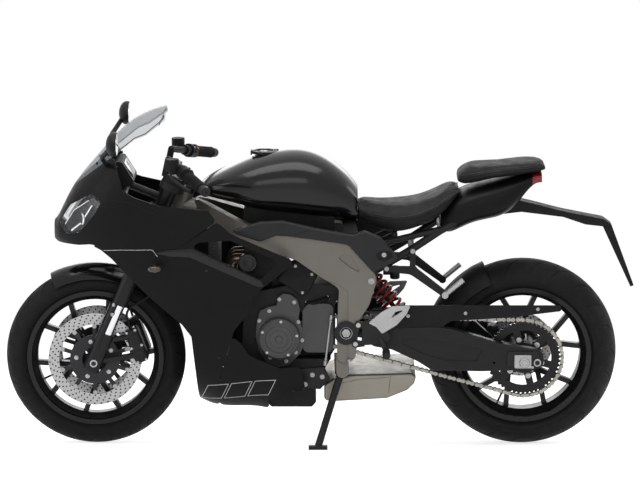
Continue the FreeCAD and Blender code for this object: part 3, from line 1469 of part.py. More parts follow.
def exhaust():
    """Three headers swept down and under the engine into a flat silencer."""
    pieces = []
    for index in range(3):
        y = (index - 1) * HEADER_SPACING
        points = []
        for step, pair in enumerate(HEADER_SHARES):
            share = min(max((step - 1) / (len(HEADER_SHARES) - 3), 0), 1)
            points.append(spot(pair, y * (1 - share) + (SUMP_OFFSET + y * 0.35) * share))
        points[0] -= V(SEAT_GAP, 0, 0)
        points[-1] -= V(SEAT_GAP, 0, 0)
        pieces.append(bent_tube(points, HEADER_RADIUS, HEADER_RADIUS * 4))
    return [fuse(pieces)]


SILENCER_SHARES = (
    (0.536, 0.150),
    (0.536, 0.198),
    (0.556, 0.212),
    (0.595, 0.225),
    (0.740, 0.230),
    (0.751, 0.222),
    (0.746, 0.199),
    (0.730, 0.179),
    (0.683, 0.155),
    (0.553, 0.145),
)


def silencer():
    start = SILENCER_OFFSET - SILENCER_WIDTH / 2
    end = start + SILENCER_WIDTH
    body = side_prism(SILENCER_SHARES, start, end, ENGINE_CORNER * 0.6)
    return [rounded_rims(body, SILENCER_ROUND, (start, end))]


SWINGARM_SHARES = (
    (0.640, 0.374),
    (0.796, 0.377),
    (0.833, 0.371),
    (0.878, 0.355),
    (0.945, 0.328),
    (1.026, 0.312),
    (1.045, 0.300),
    (1.045, 0.260),
    (1.020, 0.250),
    (0.898, 0.246),
    (0.785, 0.250),
    (0.752, 0.276),
    (0.692, 0.311),
    (0.640, 0.322),
)
ARM_PANEL_SHARES = (
    (0.716, 0.345),
    (0.805, 0.335),
    (0.903, 0.313),
    (0.890, 0.277),
    (0.819, 0.278),
    (0.763, 0.300),
    (0.716, 0.330),
)
ARM_EAR_SHARES = (0.660, 0.347)
ARM_BRIDGE_SHARES = ((0.640, 0.325), (0.640, 0.370), (0.742, 0.370), (0.742, 0.316))


def swingarm():
    """Two deep arms joined by a box behind the pivot tube."""
    outer, inner = -ARM_OUTER_PLANE, -ARM_OUTER_PLANE + ARM_THICKNESS
    arm = rounded_rims(side_prism(SWINGARM_SHARES, outer, inner, SPAR_CORNER), ARM_ROUND, (outer, inner))
    arm = arm.cut(side_prism(ARM_PANEL_SHARES, outer - OVERRUN, outer + ARM_RECESS, SPOOL_RADIUS))
    half = FRAME_WIDTH / 2 - SPAR_DEPTH - SEAT_GAP
    pieces = both_sides(arm)
    middle = ARM_OUTER_PLANE - ARM_THICKNESS / 2
    pieces.append(side_prism(ARM_BRIDGE_SHARES, -middle, middle, SPAR_CORNER * 0.5))
    pieces.append(rod(SWINGARM_PIVOT - ACROSS * half, SWINGARM_PIVOT + ACROSS * half, PIVOT_TUBE_RADIUS))
    ear_end = spot(ARM_EAR_SHARES)
    for sign in (-1, 1):
        y = sign * (half - PIVOT_TUBE_RADIUS)
        start = SWINGARM_PIVOT + ACROSS * y
        pieces.append(rod(start, V(ear_end.x, y, ear_end.z), PIVOT_TUBE_RADIUS * 0.9))
    whole = fuse(pieces)
    past = ACROSS * (ARM_OUTER_PLANE + OVERRUN)
    whole = whole.cut(rod(SWINGARM_PIVOT - past, SWINGARM_PIVOT + past, PIVOT_BOLT_RADIUS + SEAT_GAP))
    for sign in (-1, 1):
        bottom = spot(SPOOL_SHARES, sign * (ARM_OUTER_PLANE - SPOOL_DEPTH))
        whole = whole.cut(rod(bottom, bottom + ACROSS * sign * (SPOOL_DEPTH + OVERRUN), SPOOL_RADIUS))
    return [whole.cut(rod(REAR_AXLE - past, REAR_AXLE + past, REAR_AXLE_RADIUS + SEAT_GAP))]


def pivot_bolt():
    """Swingarm bolt with a large dished cap on each pivot plate."""
    seat = FRAME_WIDTH / 2 + SEAT_GAP
    floor = SWINGARM_PIVOT - ACROSS * (seat + PIVOT_CAP_DEPTH / 2)
    bolt = rod(floor, mirrored_point(floor), PIVOT_BOLT_RADIUS)
    face = SWINGARM_PIVOT - ACROSS * seat
    cap = rod(face, face - ACROSS * PIVOT_CAP_DEPTH, PIVOT_CAP_RADIUS)
    cap = cap.cut(rod(floor, floor - ACROSS * OVERRUN, PIVOT_CAP_RADIUS * 0.52))
    return [fuse([bolt] + both_sides(cap))]


def rear_axle():
    """Spindle with nut and the bright adjuster plates on the arm ends."""
    reach = ARM_OUTER_PLANE + AXLE_PLATE_DEPTH + AXLE_NUT_DEPTH
    pieces = [rod(REAR_AXLE - ACROSS * reach, REAR_AXLE + ACROSS * reach, REAR_AXLE_RADIUS)]
    for sign in (-1, 1):
        face = REAR_AXLE + ACROSS * sign * ARM_OUTER_PLANE
        end = face + ACROSS * sign * (AXLE_PLATE_DEPTH + AXLE_NUT_DEPTH)
        pieces.append(rod(face + ACROSS * sign * SEAT_GAP, end, AXLE_NUT_RADIUS))
        plate_y = min(sign * (ARM_OUTER_PLANE + SEAT_GAP), sign * (ARM_OUTER_PLANE + AXLE_PLATE_DEPTH))
        plate = Part.makeBox(
            AXLE_PLATE_LENGTH,
            AXLE_PLATE_DEPTH - SEAT_GAP,
            AXLE_PLATE_HEIGHT,
            V(REAR_AXLE.x - AXLE_PLATE_LENGTH / 2, plate_y, REAR_AXLE.z - AXLE_PLATE_HEIGHT / 2),
        )
        pieces.append(plate)
    return [fuse(pieces)]


def rear_caliper():
    """Small caliper on the right disc, on a plate held round the axle inside the arm."""
    radius = REAR_DISC_RADIUS - REAR_DISC_BAND / 2
    body = caliper_body(
        REAR_DISC_PLANE, REAR_CALIPER_LENGTH, REAR_CALIPER_DEPTH, REAR_CALIPER_WIDTH, REAR_DISC_THICKNESS
    )
    reach = radius + REAR_CALIPER_DEPTH * 0.28
    body.translate(V(reach, 0, 0))
    body.rotate(V(0, 0, 0), ACROSS, 180 - REAR_CALIPER_TURN)
    body.translate(REAR_AXLE)
    near = REAR_DISC_PLANE + REAR_CALIPER_WIDTH * 0.2
    far = ARM_OUTER_PLANE - ARM_THICKNESS - SEAT_GAP
    eye = rod(REAR_AXLE + ACROSS * near, REAR_AXLE + ACROSS * far, REAR_CALIPER_DEPTH * 0.8)
    plate = Part.makeBox(
        reach,
        far - near,
        REAR_CALIPER_DEPTH,
        V(0, near, -REAR_CALIPER_DEPTH / 2),
    )
    plate.rotate(V(0, 0, 0), ACROSS, 180 - REAR_CALIPER_TURN)
    plate.translate(REAR_AXLE)
    past = ACROSS * OVERRUN
    axle = rod(REAR_AXLE + ACROSS * near - past, REAR_AXLE + ACROSS * far + past, REAR_AXLE_RADIUS + SEAT_GAP)
    return [fuse([body, eye, plate]).cut(axle)]


SHOCK_EYE_RADIUS = 14.0


def shock_ends():
    """Centres of the frame bridge and of the damper's lower eye on the swingarm."""
    seat = BIKE_HEIGHT * ARM_BRIDGE_SHARES[1][1] + SEAT_GAP + SHOCK_EYE_RADIUS
    return spot(SHOCK_TOP_SHARES), V(WHEELBASE * SHOCK_FOOT_SHARE, 0, seat)


def shock():
    """Damper with its spring plates, between the frame bridge and the swingarm."""
    top, foot = shock_ends()
    way = (foot - top).normalize()
    start = top + way * (FRAME_BRIDGE_RADIUS + SEAT_GAP)
    low_plate = foot - way * (SHOCK_EYE_RADIUS + SPRING_WIRE)
    body = rod(start, top + way * ((foot - top).Length * 0.55), SHOCK_BODY_RADIUS)
    thin = rod(start, foot, SHOCK_ROD_RADIUS)
    upper = rod(start, start + way * SPRING_WIRE, SPRING_RADIUS + SPRING_WIRE)
    lower = rod(low_plate - way * SPRING_WIRE, low_plate, SPRING_RADIUS + SPRING_WIRE)
    eye = rod(foot - ACROSS * SHOCK_BODY_RADIUS, foot + ACROSS * SHOCK_BODY_RADIUS, SHOCK_EYE_RADIUS)
    return [fuse([body, thin, upper, lower, eye])]


def shock_spring():
    """Coil spring round the damper."""
    top, foot = shock_ends()
    way = foot - top
    ends = FRAME_BRIDGE_RADIUS + SHOCK_EYE_RADIUS + SPRING_WIRE * 3 + SEAT_GAP * 3
    length = way.Length - ends - SPRING_WIRE * 2
    pitch = length / SPRING_TURNS
    helix = Part.makeHelix(pitch, length, SPRING_RADIUS)
    ring = Part.Wire(Part.makeCircle(SPRING_WIRE, V(SPRING_RADIUS, 0, 0), ACROSS))
    coil = Part.Wire(helix).makePipeShell([ring], True, True)
    turn = FreeCAD.Rotation(UP, way)
    start = top + way.normalize() * (FRAME_BRIDGE_RADIUS + SPRING_WIRE * 2 + SEAT_GAP * 2)
    coil.Placement = FreeCAD.Placement(start, turn)
    return [coil]


CHAIN_GUARD_SHARES = (
    (0.700, 0.441),
    (1.084, 0.441),
    (1.084, 0.424),
    (0.960, 0.405),
    (0.830, 0.395),
    (0.800, 0.372),
    (0.700, 0.372),
)
HUGGER_START_ANGLE = 14.0
HUGGER_END_ANGLE = 66.0
HUGGER_TONGUE_SHARE = 0.728


def rear_hugger():
    """Blade over the front of the rear tyre, on a tongue that lies on the swingarm's box."""
    drop = REAR_TYRE_WIDTH * CROWN_SHARE
    width = REAR_TYRE_WIDTH + 2 * MUDGUARD_WALL
    blade = wheel_blade(REAR_AXLE, REAR_TYRE_RADIUS, width, drop, HUGGER_START_ANGLE, HUGGER_END_ANGLE)
    top = BIKE_HEIGHT * ARM_BRIDGE_SHARES[1][1] + SEAT_GAP
    start = WHEELBASE * HUGGER_TONGUE_SHARE
    reach = math.sqrt((REAR_TYRE_RADIUS + MUDGUARD_GAP) ** 2 - (top - REAR_AXLE.z) ** 2)
    length = REAR_AXLE.x - reach - start
    tongue = Part.makeBox(length, width * 0.5, MUDGUARD_WALL, V(start, -width * 0.25, top))
    return [fuse([blade, tongue])]


def chain_guard(arm):
    """Plate along the chain's upper run, standing on the left arm."""
    start = -ARM_OUTER_PLANE + ARM_THICKNESS * 0.1
    return [side_prism(CHAIN_GUARD_SHARES, start, start + PANEL_WALL, PANEL_CORNER * 0.5).cut(arm)]


PEG_PLATE_SHARES = (
    (0.622, 0.330),
    (0.625, 0.400),
    (0.640, 0.406),
    (0.672, 0.387),
    (0.694, 0.350),
    (0.672, 0.336),
)
PEG_SHARES = (0.679, 0.318)
PEG_ROOT_SHARES = (0.664, 0.352)
HEEL_SHARES = (
    (0.638, 0.397),
    (0.668, 0.429),
    (0.693, 0.446),
    (0.735, 0.448),
    (0.726, 0.423),
    (0.703, 0.391),
    (0.670, 0.366),
    (0.656, 0.386),
)
HEEL_HOLE_SHARES = ((0.688, 0.408), (0.722, 0.437), (0.700, 0.430))
PEG_BRACKET_PLANE = -(FRAME_WIDTH / 2 + SEAT_GAP)
PEG_BRACKET_FACE = PEG_BRACKET_PLANE - PEG_BRACKET_DEPTH


def footrests():
    """Brackets on the pivot plates with the rider's pegs."""
    plate = side_prism(PEG_PLATE_SHARES, PEG_BRACKET_FACE, PEG_BRACKET_PLANE, PANEL_CORNER)
    peg_end = spot(PEG_SHARES, PEG_BRACKET_FACE - PEG_LENGTH)
    peg_start = peg_end + ACROSS * (PEG_LENGTH - PEG_RADIUS)
    root = spot(PEG_ROOT_SHARES, PEG_BRACKET_FACE + PANEL_WALL)
    hanger = rod(root, peg_start, PEG_RADIUS * 0.8)
    peg = rod(peg_start, peg_end, PEG_RADIUS)
    return both_sides(fuse([plate, hanger, peg]))


def heel_plates(brackets):
    """Bright plates over the brackets that keep the rider's heels off the swingarm."""
    outer = PEG_BRACKET_FACE - SEAT_GAP - PANEL_WALL
    plate = side_prism(HEEL_SHARES, outer, outer + PANEL_WALL, PANEL_WALL)
    hole = side_prism(HEEL_HOLE_SHARES, outer - OVERRUN, outer + OVERRUN, PANEL_WALL / 2)
    return both_sides(plate.cut(hole).cut(brackets))


def ground_height(y):
    """Height of the ground under a point of the leaning machine."""
    return -y * math.tan(LEAN)


def stand_foot():
    return V(
        STAND_PIVOT.x - STAND_FOOT_FORWARD,
        -STAND_FOOT_OUT,
        ground_height(-STAND_FOOT_OUT) + STAND_FOOT_THICKNESS,
    )


def side_stand():
    """Leg with its pivot eye and a flat foot that lies on the ground."""
    foot = stand_foot()
    half = STAND_AXIS * (STAND_EAR_DEPTH / 2)
    eye = rod(STAND_PIVOT - half, STAND_PIVOT + half, STAND_EAR_RADIUS)
    down = foot - STAND_PIVOT
    down = (down - STAND_AXIS * down.dot(STAND_AXIS)).normalize()
    leg = bent_tube([STAND_PIVOT, STAND_PIVOT + down * STAND_KNEE, foot], STAND_RADIUS, STAND_KNEE * 2)
    sole = Part.makeBox(
        STAND_FOOT_LENGTH,
        STAND_FOOT_WIDTH,
        STAND_FOOT_THICKNESS * 1.6,
        V(-STAND_FOOT_LENGTH / 2, -STAND_FOOT_WIDTH / 2, 0),
    )
    sole.rotate(V(0, 0, 0), V(1, 0, 0), -LEAN_ANGLE)
    sole.translate(V(foot.x, foot.y, ground_height(foot.y)))
    past = STAND_AXIS * (STAND_EAR_DEPTH / 2 + OVERRUN)
    bore = rod(STAND_PIVOT - past, STAND_PIVOT + past, STAND_BOLT_RADIUS + PIN_CLEARANCE)
    return [fuse([eye, leg, sole]).cut(bore)]


STAY_SHARES = (0.080, 0.770)
DASH_SHARES = ((0.040, 0.822), (0.058, 0.848), (0.070, 0.846), (0.098, 0.789), (0.072, 0.762), (0.060, 0.790))


def stay_rods(grow):
    """Spine and cross tube of the fairing stay, let out by an amount."""
    root = (fork_point(HEAD_TUBE_START, 0, FORK_OFFSET) + fork_point(UPPER_CLAMP_START, 0, FORK_OFFSET)) / 2
    front = spot(STAY_SHARES)
    spine = rod(root, front, STAY_RADIUS * 1.6 + grow)
    reach = ACROSS * FAIRING_WIDTH
    return fuse([spine, rod(front - reach, front + reach, STAY_RADIUS + grow)])


def fairing_stay(inside):
    """Bracket from the head tube to a cross tube that carries the cowl and the display."""
    stay = stay_rods(0).common(inside)
    low = fork_point(HEAD_TUBE_START - OVERRUN, 0, FORK_OFFSET)
    high = fork_point(UPPER_CLAMP_START + OVERRUN, 0, FORK_OFFSET)
    return [stay.cut(rod(low, high, HEAD_TUBE_RADIUS + SEAT_GAP))]


def instrument_panel():
    """Display housing behind the screen, saddled on the stay."""
    half = FAIRING_WIDTH * 0.17
    housing = side_prism(DASH_SHARES, -half, half, PANEL_CORNER * 0.5)
    saddled = housing.cut(stay_rods(SEAT_GAP))
    return [max(saddled.Solids, key=lambda solid: solid.Volume)]


def mirrors(outside):
    """Mirror heads on short stalks from the cowl."""
    head = Part.makeSphere(MIRROR_WIDTH / 2, V(0, 0, 0))
    stretch = FreeCAD.Matrix()
    stretch.scale(*MIRROR_STRETCH_SHARES)
    head = head.transformGeometry(stretch)
    half = MIRROR_WIDTH / 2
    behind = Part.makeBox(MIRROR_WIDTH, MIRROR_WIDTH, MIRROR_WIDTH, V(MIRROR_WIDTH * 0.06, -half, -half))
    head = head.cut(behind)
    head.translate(spot(MIRROR_SHARES, -MIRROR_SPAN / 2))
    route = [spot((x, z), -MIRROR_SPAN * y) for x, z, y in MIRROR_STALK_SHARES]
    stalk = bent_tube(route, STALK_RADIUS, MIRROR_WIDTH / 2)
    return both_sides(fuse([head, stalk]).cut(outside))


def indicators(outside):
    """Short stalks with a lamp pod, on the side panels."""
    pod = Part.makeSphere(INDICATOR_RADIUS, V(0, 0, 0))
    stretch = FreeCAD.Matrix()
    stretch.scale(*INDICATOR_STRETCH_SHARES)
    pod = pod.transformGeometry(stretch)
    pod.translate(spot(INDICATOR_SHARES, -INDICATOR_SPAN / 2))
    root = spot(INDICATOR_SHARES, -FAIRING_WIDTH * 0.4)
    stem = rod(root, spot(INDICATOR_SHARES, -INDICATOR_SPAN / 2), INDICATOR_RADIUS * 0.45)
    return both_sides(fuse([pod, stem]).cut(outside))


BLADE_TOP_SHARES = (1.205, 0.655)
BLADE_FOOT_SHARES = (1.259, 0.476)
HANGER_TOP_SHARES = ((0.953, 0.687), (0.983, 0.729), (1.023, 0.717), (1.092, 0.695), (1.186, 0.672))
HANGER_LOW_SHARES = ((1.186, 0.650), (1.144, 0.656), (1.092, 0.678), (0.995, 0.693))
BLADE_WAY = (spot(BLADE_TOP_SHARES) - spot(BLADE_FOOT_SHARES)).normalize()
PLATE_OUTWARD = V(BLADE_WAY.z, 0, -BLADE_WAY.x)


def plate_hole_point(along):
    """Middle of the blade's wall at a distance up from its foot."""
    return spot(BLADE_FOOT_SHARES) + BLADE_WAY * along - PLATE_OUTWARD * (HANGER_WALL / 2)


def plate_hanger(tail_space):
    """Arm behind the tail with the blade that carries the plate."""
    half = ACROSS * (TAIL_WIDTH * 0.12)
    inward = -PLATE_OUTWARD * HANGER_WALL
    top, foot = spot(BLADE_TOP_SHARES), spot(BLADE_FOOT_SHARES)
    points = [spot(pair) for pair in HANGER_TOP_SHARES]
    points += [top, foot, foot + inward, top + inward]
    points += [spot(pair) for pair in HANGER_LOW_SHARES]
    points = [point - half for point in points]
    arm = Part.Face(Part.makePolygon(points + points[:1])).extrude(half * 2)
    for side in (-half, half - ACROSS * HANGER_CHEEK):
        loop = [top, foot, foot + inward * 1.5, top + inward * 3.6]
        loop = [point + side for point in loop]
        arm = arm.fuse(Part.Face(Part.makePolygon(loop + loop[:1])).extrude(ACROSS * HANGER_CHEEK))
    arm = arm.removeSplitter().cut(tail_space)
    for along in PLATE_HOLE_PLACES:
        middle = plate_hole_point(along)
        past = PLATE_OUTWARD * (HANGER_WALL + OVERRUN)
        arm = arm.cut(rod(middle - past, middle + past, PLATE_HOLE_RADIUS))
    return [max(arm.Solids, key=lambda solid: solid.Volume)]


SIDE_COVER_SHARES = (
    (0.324, 0.667),
    (0.389, 0.692),
    (0.442, 0.695),
    (0.507, 0.676),
    (0.573, 0.660),
    (0.603, 0.655),
    (0.629, 0.667),
    (0.666, 0.647),
    (0.708, 0.584),
    (0.650, 0.545),
    (0.592, 0.626),
    (0.463, 0.650),
    (0.426, 0.653),
    (0.389, 0.635),
    (0.336, 0.656),
)


def side_covers():
    """Covers over the spars, between the tank and the seat."""
    start = -FRAME_WIDTH / 2 - SEAT_GAP - SIDE_COVER_DEPTH
    cover = side_prism(SIDE_COVER_SHARES, start, start + SIDE_COVER_DEPTH, PANEL_CORNER)
    return both_sides(rounded_rims(cover, SIDE_COVER_ROUND, (start,)))


def park(shape, placement):
    parked = shape.copy()
    parked.transformShape(placement.toMatrix(), True)
    return parked


def all_nodes():
    """Every named node with its solids, in the upright machine's own axes."""
    skin = fairing_shell(PANEL_WALL)
    outside = hull(FAIRING_SHARES, FAIRING_WIDTH, FAIRING_LOWER_POWER, FAIRING_UPPER_POWER, -SEAT_GAP)
    inside = hull(
        FAIRING_SHARES, FAIRING_WIDTH, FAIRING_LOWER_POWER, FAIRING_UPPER_POWER, PANEL_WALL + SEAT_GAP
    )
    filler = cap_seat()
    tank_space = tank_body(SEAT_GAP)
    seat_space = hull(SEAT_SHARES, SEAT_WIDTH, CUSHION_LOWER_POWER, CUSHION_UPPER_POWER, -SEAT_GAP)
    tube_space = subframe_tubes(SEAT_GAP)
    frame = main_frame(tank_space)
    arm = swingarm()
    pegs = footrests()
    return {
        "front_tyre": front_tyre(),
        "front_rim": front_rim(),
        "front_discs": front_discs(),
        "rear_tyre": rear_tyre(),
        "rear_rim": rear_rim(),
        "rear_disc": rear_disc(),
        "rear_sprocket": rear_sprocket(),
        "chain": chain(),
        "fork_legs": fork_legs(),
        "front_axle": front_axle(),
        "triple_clamps": triple_clamps(),
        "handlebars": handlebars(),
        "controls": controls(),
        "front_mudguard": front_mudguard(),
        "front_calipers": front_calipers(),
        "brake_hoses": brake_hoses(),
        "upper_cowl": upper_cowl(skin),
        "headlights": headlights(skin),
        "windscreen": windscreen(),
        "side_fairings": side_fairings(skin),
        "belly_pan": belly_pan(skin),
        "fairing_stay": fairing_stay(inside),
        "instrument_panel": instrument_panel(),
        "mirrors": mirrors(outside),
        "indicators": indicators(outside),
        "fuel_tank": fuel_tank(filler),
        "fuel_cap": fuel_cap(filler),
        "rider_seat": rider_seat(),
        "passenger_seat": passenger_seat(),
        "side_covers": side_covers(),
        "tail_cowl": tail_cowl(tube_space),
        "tail_light": tail_light(),
        "plate_hanger": plate_hanger(tail_body(SEAT_GAP)),
        "main_frame": frame,
        "subframe": subframe(seat_space),
        "pillion_hangers": pillion_hangers(tube_space),
        "pillion_pegs": pillion_pegs(),
        "airbox": airbox(tank_space, frame[0]),
        "engine_block": engine_block(),
        "engine_covers": engine_covers(),
        "sump": sump(),
        "radiator": radiator(frame[0]),
        "exhaust": exhaust(),
        "silencer": silencer(),
        "swingarm": arm,
        "pivot_bolt": pivot_bolt(),
        "rear_axle": rear_axle(),
        "rear_caliper": rear_caliper(),
        "shock": shock(),
        "shock_spring": shock_spring(),
        "rear_hugger": rear_hugger(),
        "chain_guard": chain_guard(arm[0]),
        "footrests": pegs,
        "heel_plates": heel_plates(pegs[0]),
        "side_stand": side_stand(),
    }


def parked_placement(nodes):
    """Lean onto the stand, with the origin under the middle of the machine's box."""
    lean = FreeCAD.Placement(V(0, 0, 0), FreeCAD.Rotation(V(1, 0, 0), LEAN_ANGLE))
    low = [math.inf] * 2
    high = [-math.inf] * 2
    for solids in nodes.values():
        for solid in solids:
            leaned = park(solid, lean)
            box = leaned.optimalBoundingBox(False, False)
            for axis, (least, most) in enumerate(((box.XMin, box.XMax), (box.YMin, box.YMax))):
                low[axis] = min(low[axis], least)
                high[axis] = max(high[axis], most)
    shift = V(-(low[0] + high[0]) / 2, -(low[1] + high[1]) / 2, 0)
    return FreeCAD.Placement(shift, lean.Rotation)


def main():
    os.makedirs("parts", exist_ok=True)
    nodes = all_nodes()
    placement = parked_placement(nodes)
    for name, solids in nodes.items():
        parked = [park(solid, placement) for solid in solids]
        Part.makeCompound(parked).exportStep(f"parts/{name}.step")
        print(name, len(parked), all(solid.isValid() for solid in parked))


main()
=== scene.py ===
import json
import logging
import math
from dataclasses import dataclass, field
from enum import Enum
from typing import Callable, Iterable, Mapping, Sequence

import bmesh
import bpy
from mathutils import Matrix, Vector
from mathutils.bvhtree import BVHTree


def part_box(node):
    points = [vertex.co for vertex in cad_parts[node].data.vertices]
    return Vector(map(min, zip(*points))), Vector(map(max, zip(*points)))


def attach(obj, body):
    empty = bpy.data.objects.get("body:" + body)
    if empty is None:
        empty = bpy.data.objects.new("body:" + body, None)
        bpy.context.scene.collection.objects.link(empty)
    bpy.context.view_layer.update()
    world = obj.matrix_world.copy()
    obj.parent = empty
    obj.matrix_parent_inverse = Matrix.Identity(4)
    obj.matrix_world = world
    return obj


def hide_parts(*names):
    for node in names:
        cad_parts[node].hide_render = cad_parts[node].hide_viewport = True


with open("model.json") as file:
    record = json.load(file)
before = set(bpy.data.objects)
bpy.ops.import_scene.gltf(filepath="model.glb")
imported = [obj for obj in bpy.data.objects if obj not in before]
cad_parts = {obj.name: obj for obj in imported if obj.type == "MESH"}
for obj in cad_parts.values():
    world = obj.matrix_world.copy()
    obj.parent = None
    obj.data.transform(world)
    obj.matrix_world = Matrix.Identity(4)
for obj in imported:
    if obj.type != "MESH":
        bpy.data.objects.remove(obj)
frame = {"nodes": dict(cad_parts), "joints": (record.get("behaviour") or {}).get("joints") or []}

LOG = logging.getLogger("sport_motorcycle")
Point = tuple[float, float, float]
Pair = tuple[float, float]
Colour = tuple[float, float, float]
Place = tuple[Vector, Vector]
Piece = bpy.types.Object
Socket = bpy.types.NodeSocket
SIDES = (-1, 1)


class Body(Enum):
    """Rigid bodies that a piece can ride on."""

    FRAME = "frame"
    FORK = "fork"
    FRONT_WHEEL = "front_wheel"
    REAR_WHEEL = "rear_wheel"
    CAP = "fuel_cap"


class Grain(Enum):
    """Fine surface relief of a finish."""

    LACQUER = "lacquer"
    MOULDED = "moulded"
    CAST = "cast"
    BRUSHED = "brushed"
    VINYL = "vinyl"


def joint_named(name: str) -> dict:
    """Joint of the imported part.

    Args:
        name: the joint's name.

    Returns:
        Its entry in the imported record.
    """
    return next(joint for joint in frame["joints"] if joint["name"] == name)


@dataclass
class Stance:
    """Upright axes of the leaning machine: x rearwards from the front axle, y to the right, z up."""

    front: Vector = field(default_factory=lambda: Vector(joint_named("front_wheel_spin")["pos_m"]))
    rear: Vector = field(default_factory=lambda: Vector(joint_named("rear_wheel_spin")["pos_m"]))
    across: Vector = field(default_factory=lambda: Vector(joint_named("front_wheel_spin")["axis"]))

    def __post_init__(self) -> None:
        """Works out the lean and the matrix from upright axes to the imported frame."""
        self.across.normalize()
        self.lean = math.atan2(self.across.z, self.across.y)
        self.front_height = self.front.z / math.cos(self.lean)
        self.rear_height = self.rear.z / math.cos(self.lean)
        self.wheelbase = self.rear.x - self.front.x
        turn = Matrix.Rotation(self.lean, 4, "X")
        ground = self.front - turn.to_3x3() @ Vector((0, 0, self.front_height))
        self.matrix = Matrix.Translation(ground) @ turn
        self.upright = self.matrix.inverted()

    def front_axle(self) -> Vector:
        """Front axle's middle in upright axes."""
        return Vector((0, 0, self.front_height))

    def rear_axle(self) -> Vector:
        """Rear axle's middle in upright axes."""
        return Vector((self.wheelbase, 0, self.rear_height))

    def spot(self, along: float, up: float, across: float = 0.0) -> Vector:
        """Point given in shares of the wheelbase and of the machine's height.

        Args:
            along: share of the wheelbase behind the front axle.
            up: share of the height above the ground.
            across: metres to the right of the middle plane.

        Returns:
            The point in upright axes.
        """
        return Vector((along * self.wheelbase, across, up * self.height))

    @property
    def height(self) -> float:
        """Height of the upright machine that the shares refer to."""
        return self.wheelbase * 1145 / 1425

    def steering(self) -> Place:
        """Foot and direction of the steering axis in upright axes.

        Returns:
            The foot and the unit direction.
        """
        joint = joint_named("steering")
        turn = self.upright.to_3x3()
        return self.upright @ Vector(joint["pos_m"]), (turn @ Vector(joint["axis"])).normalized()


STANCE = Stance()


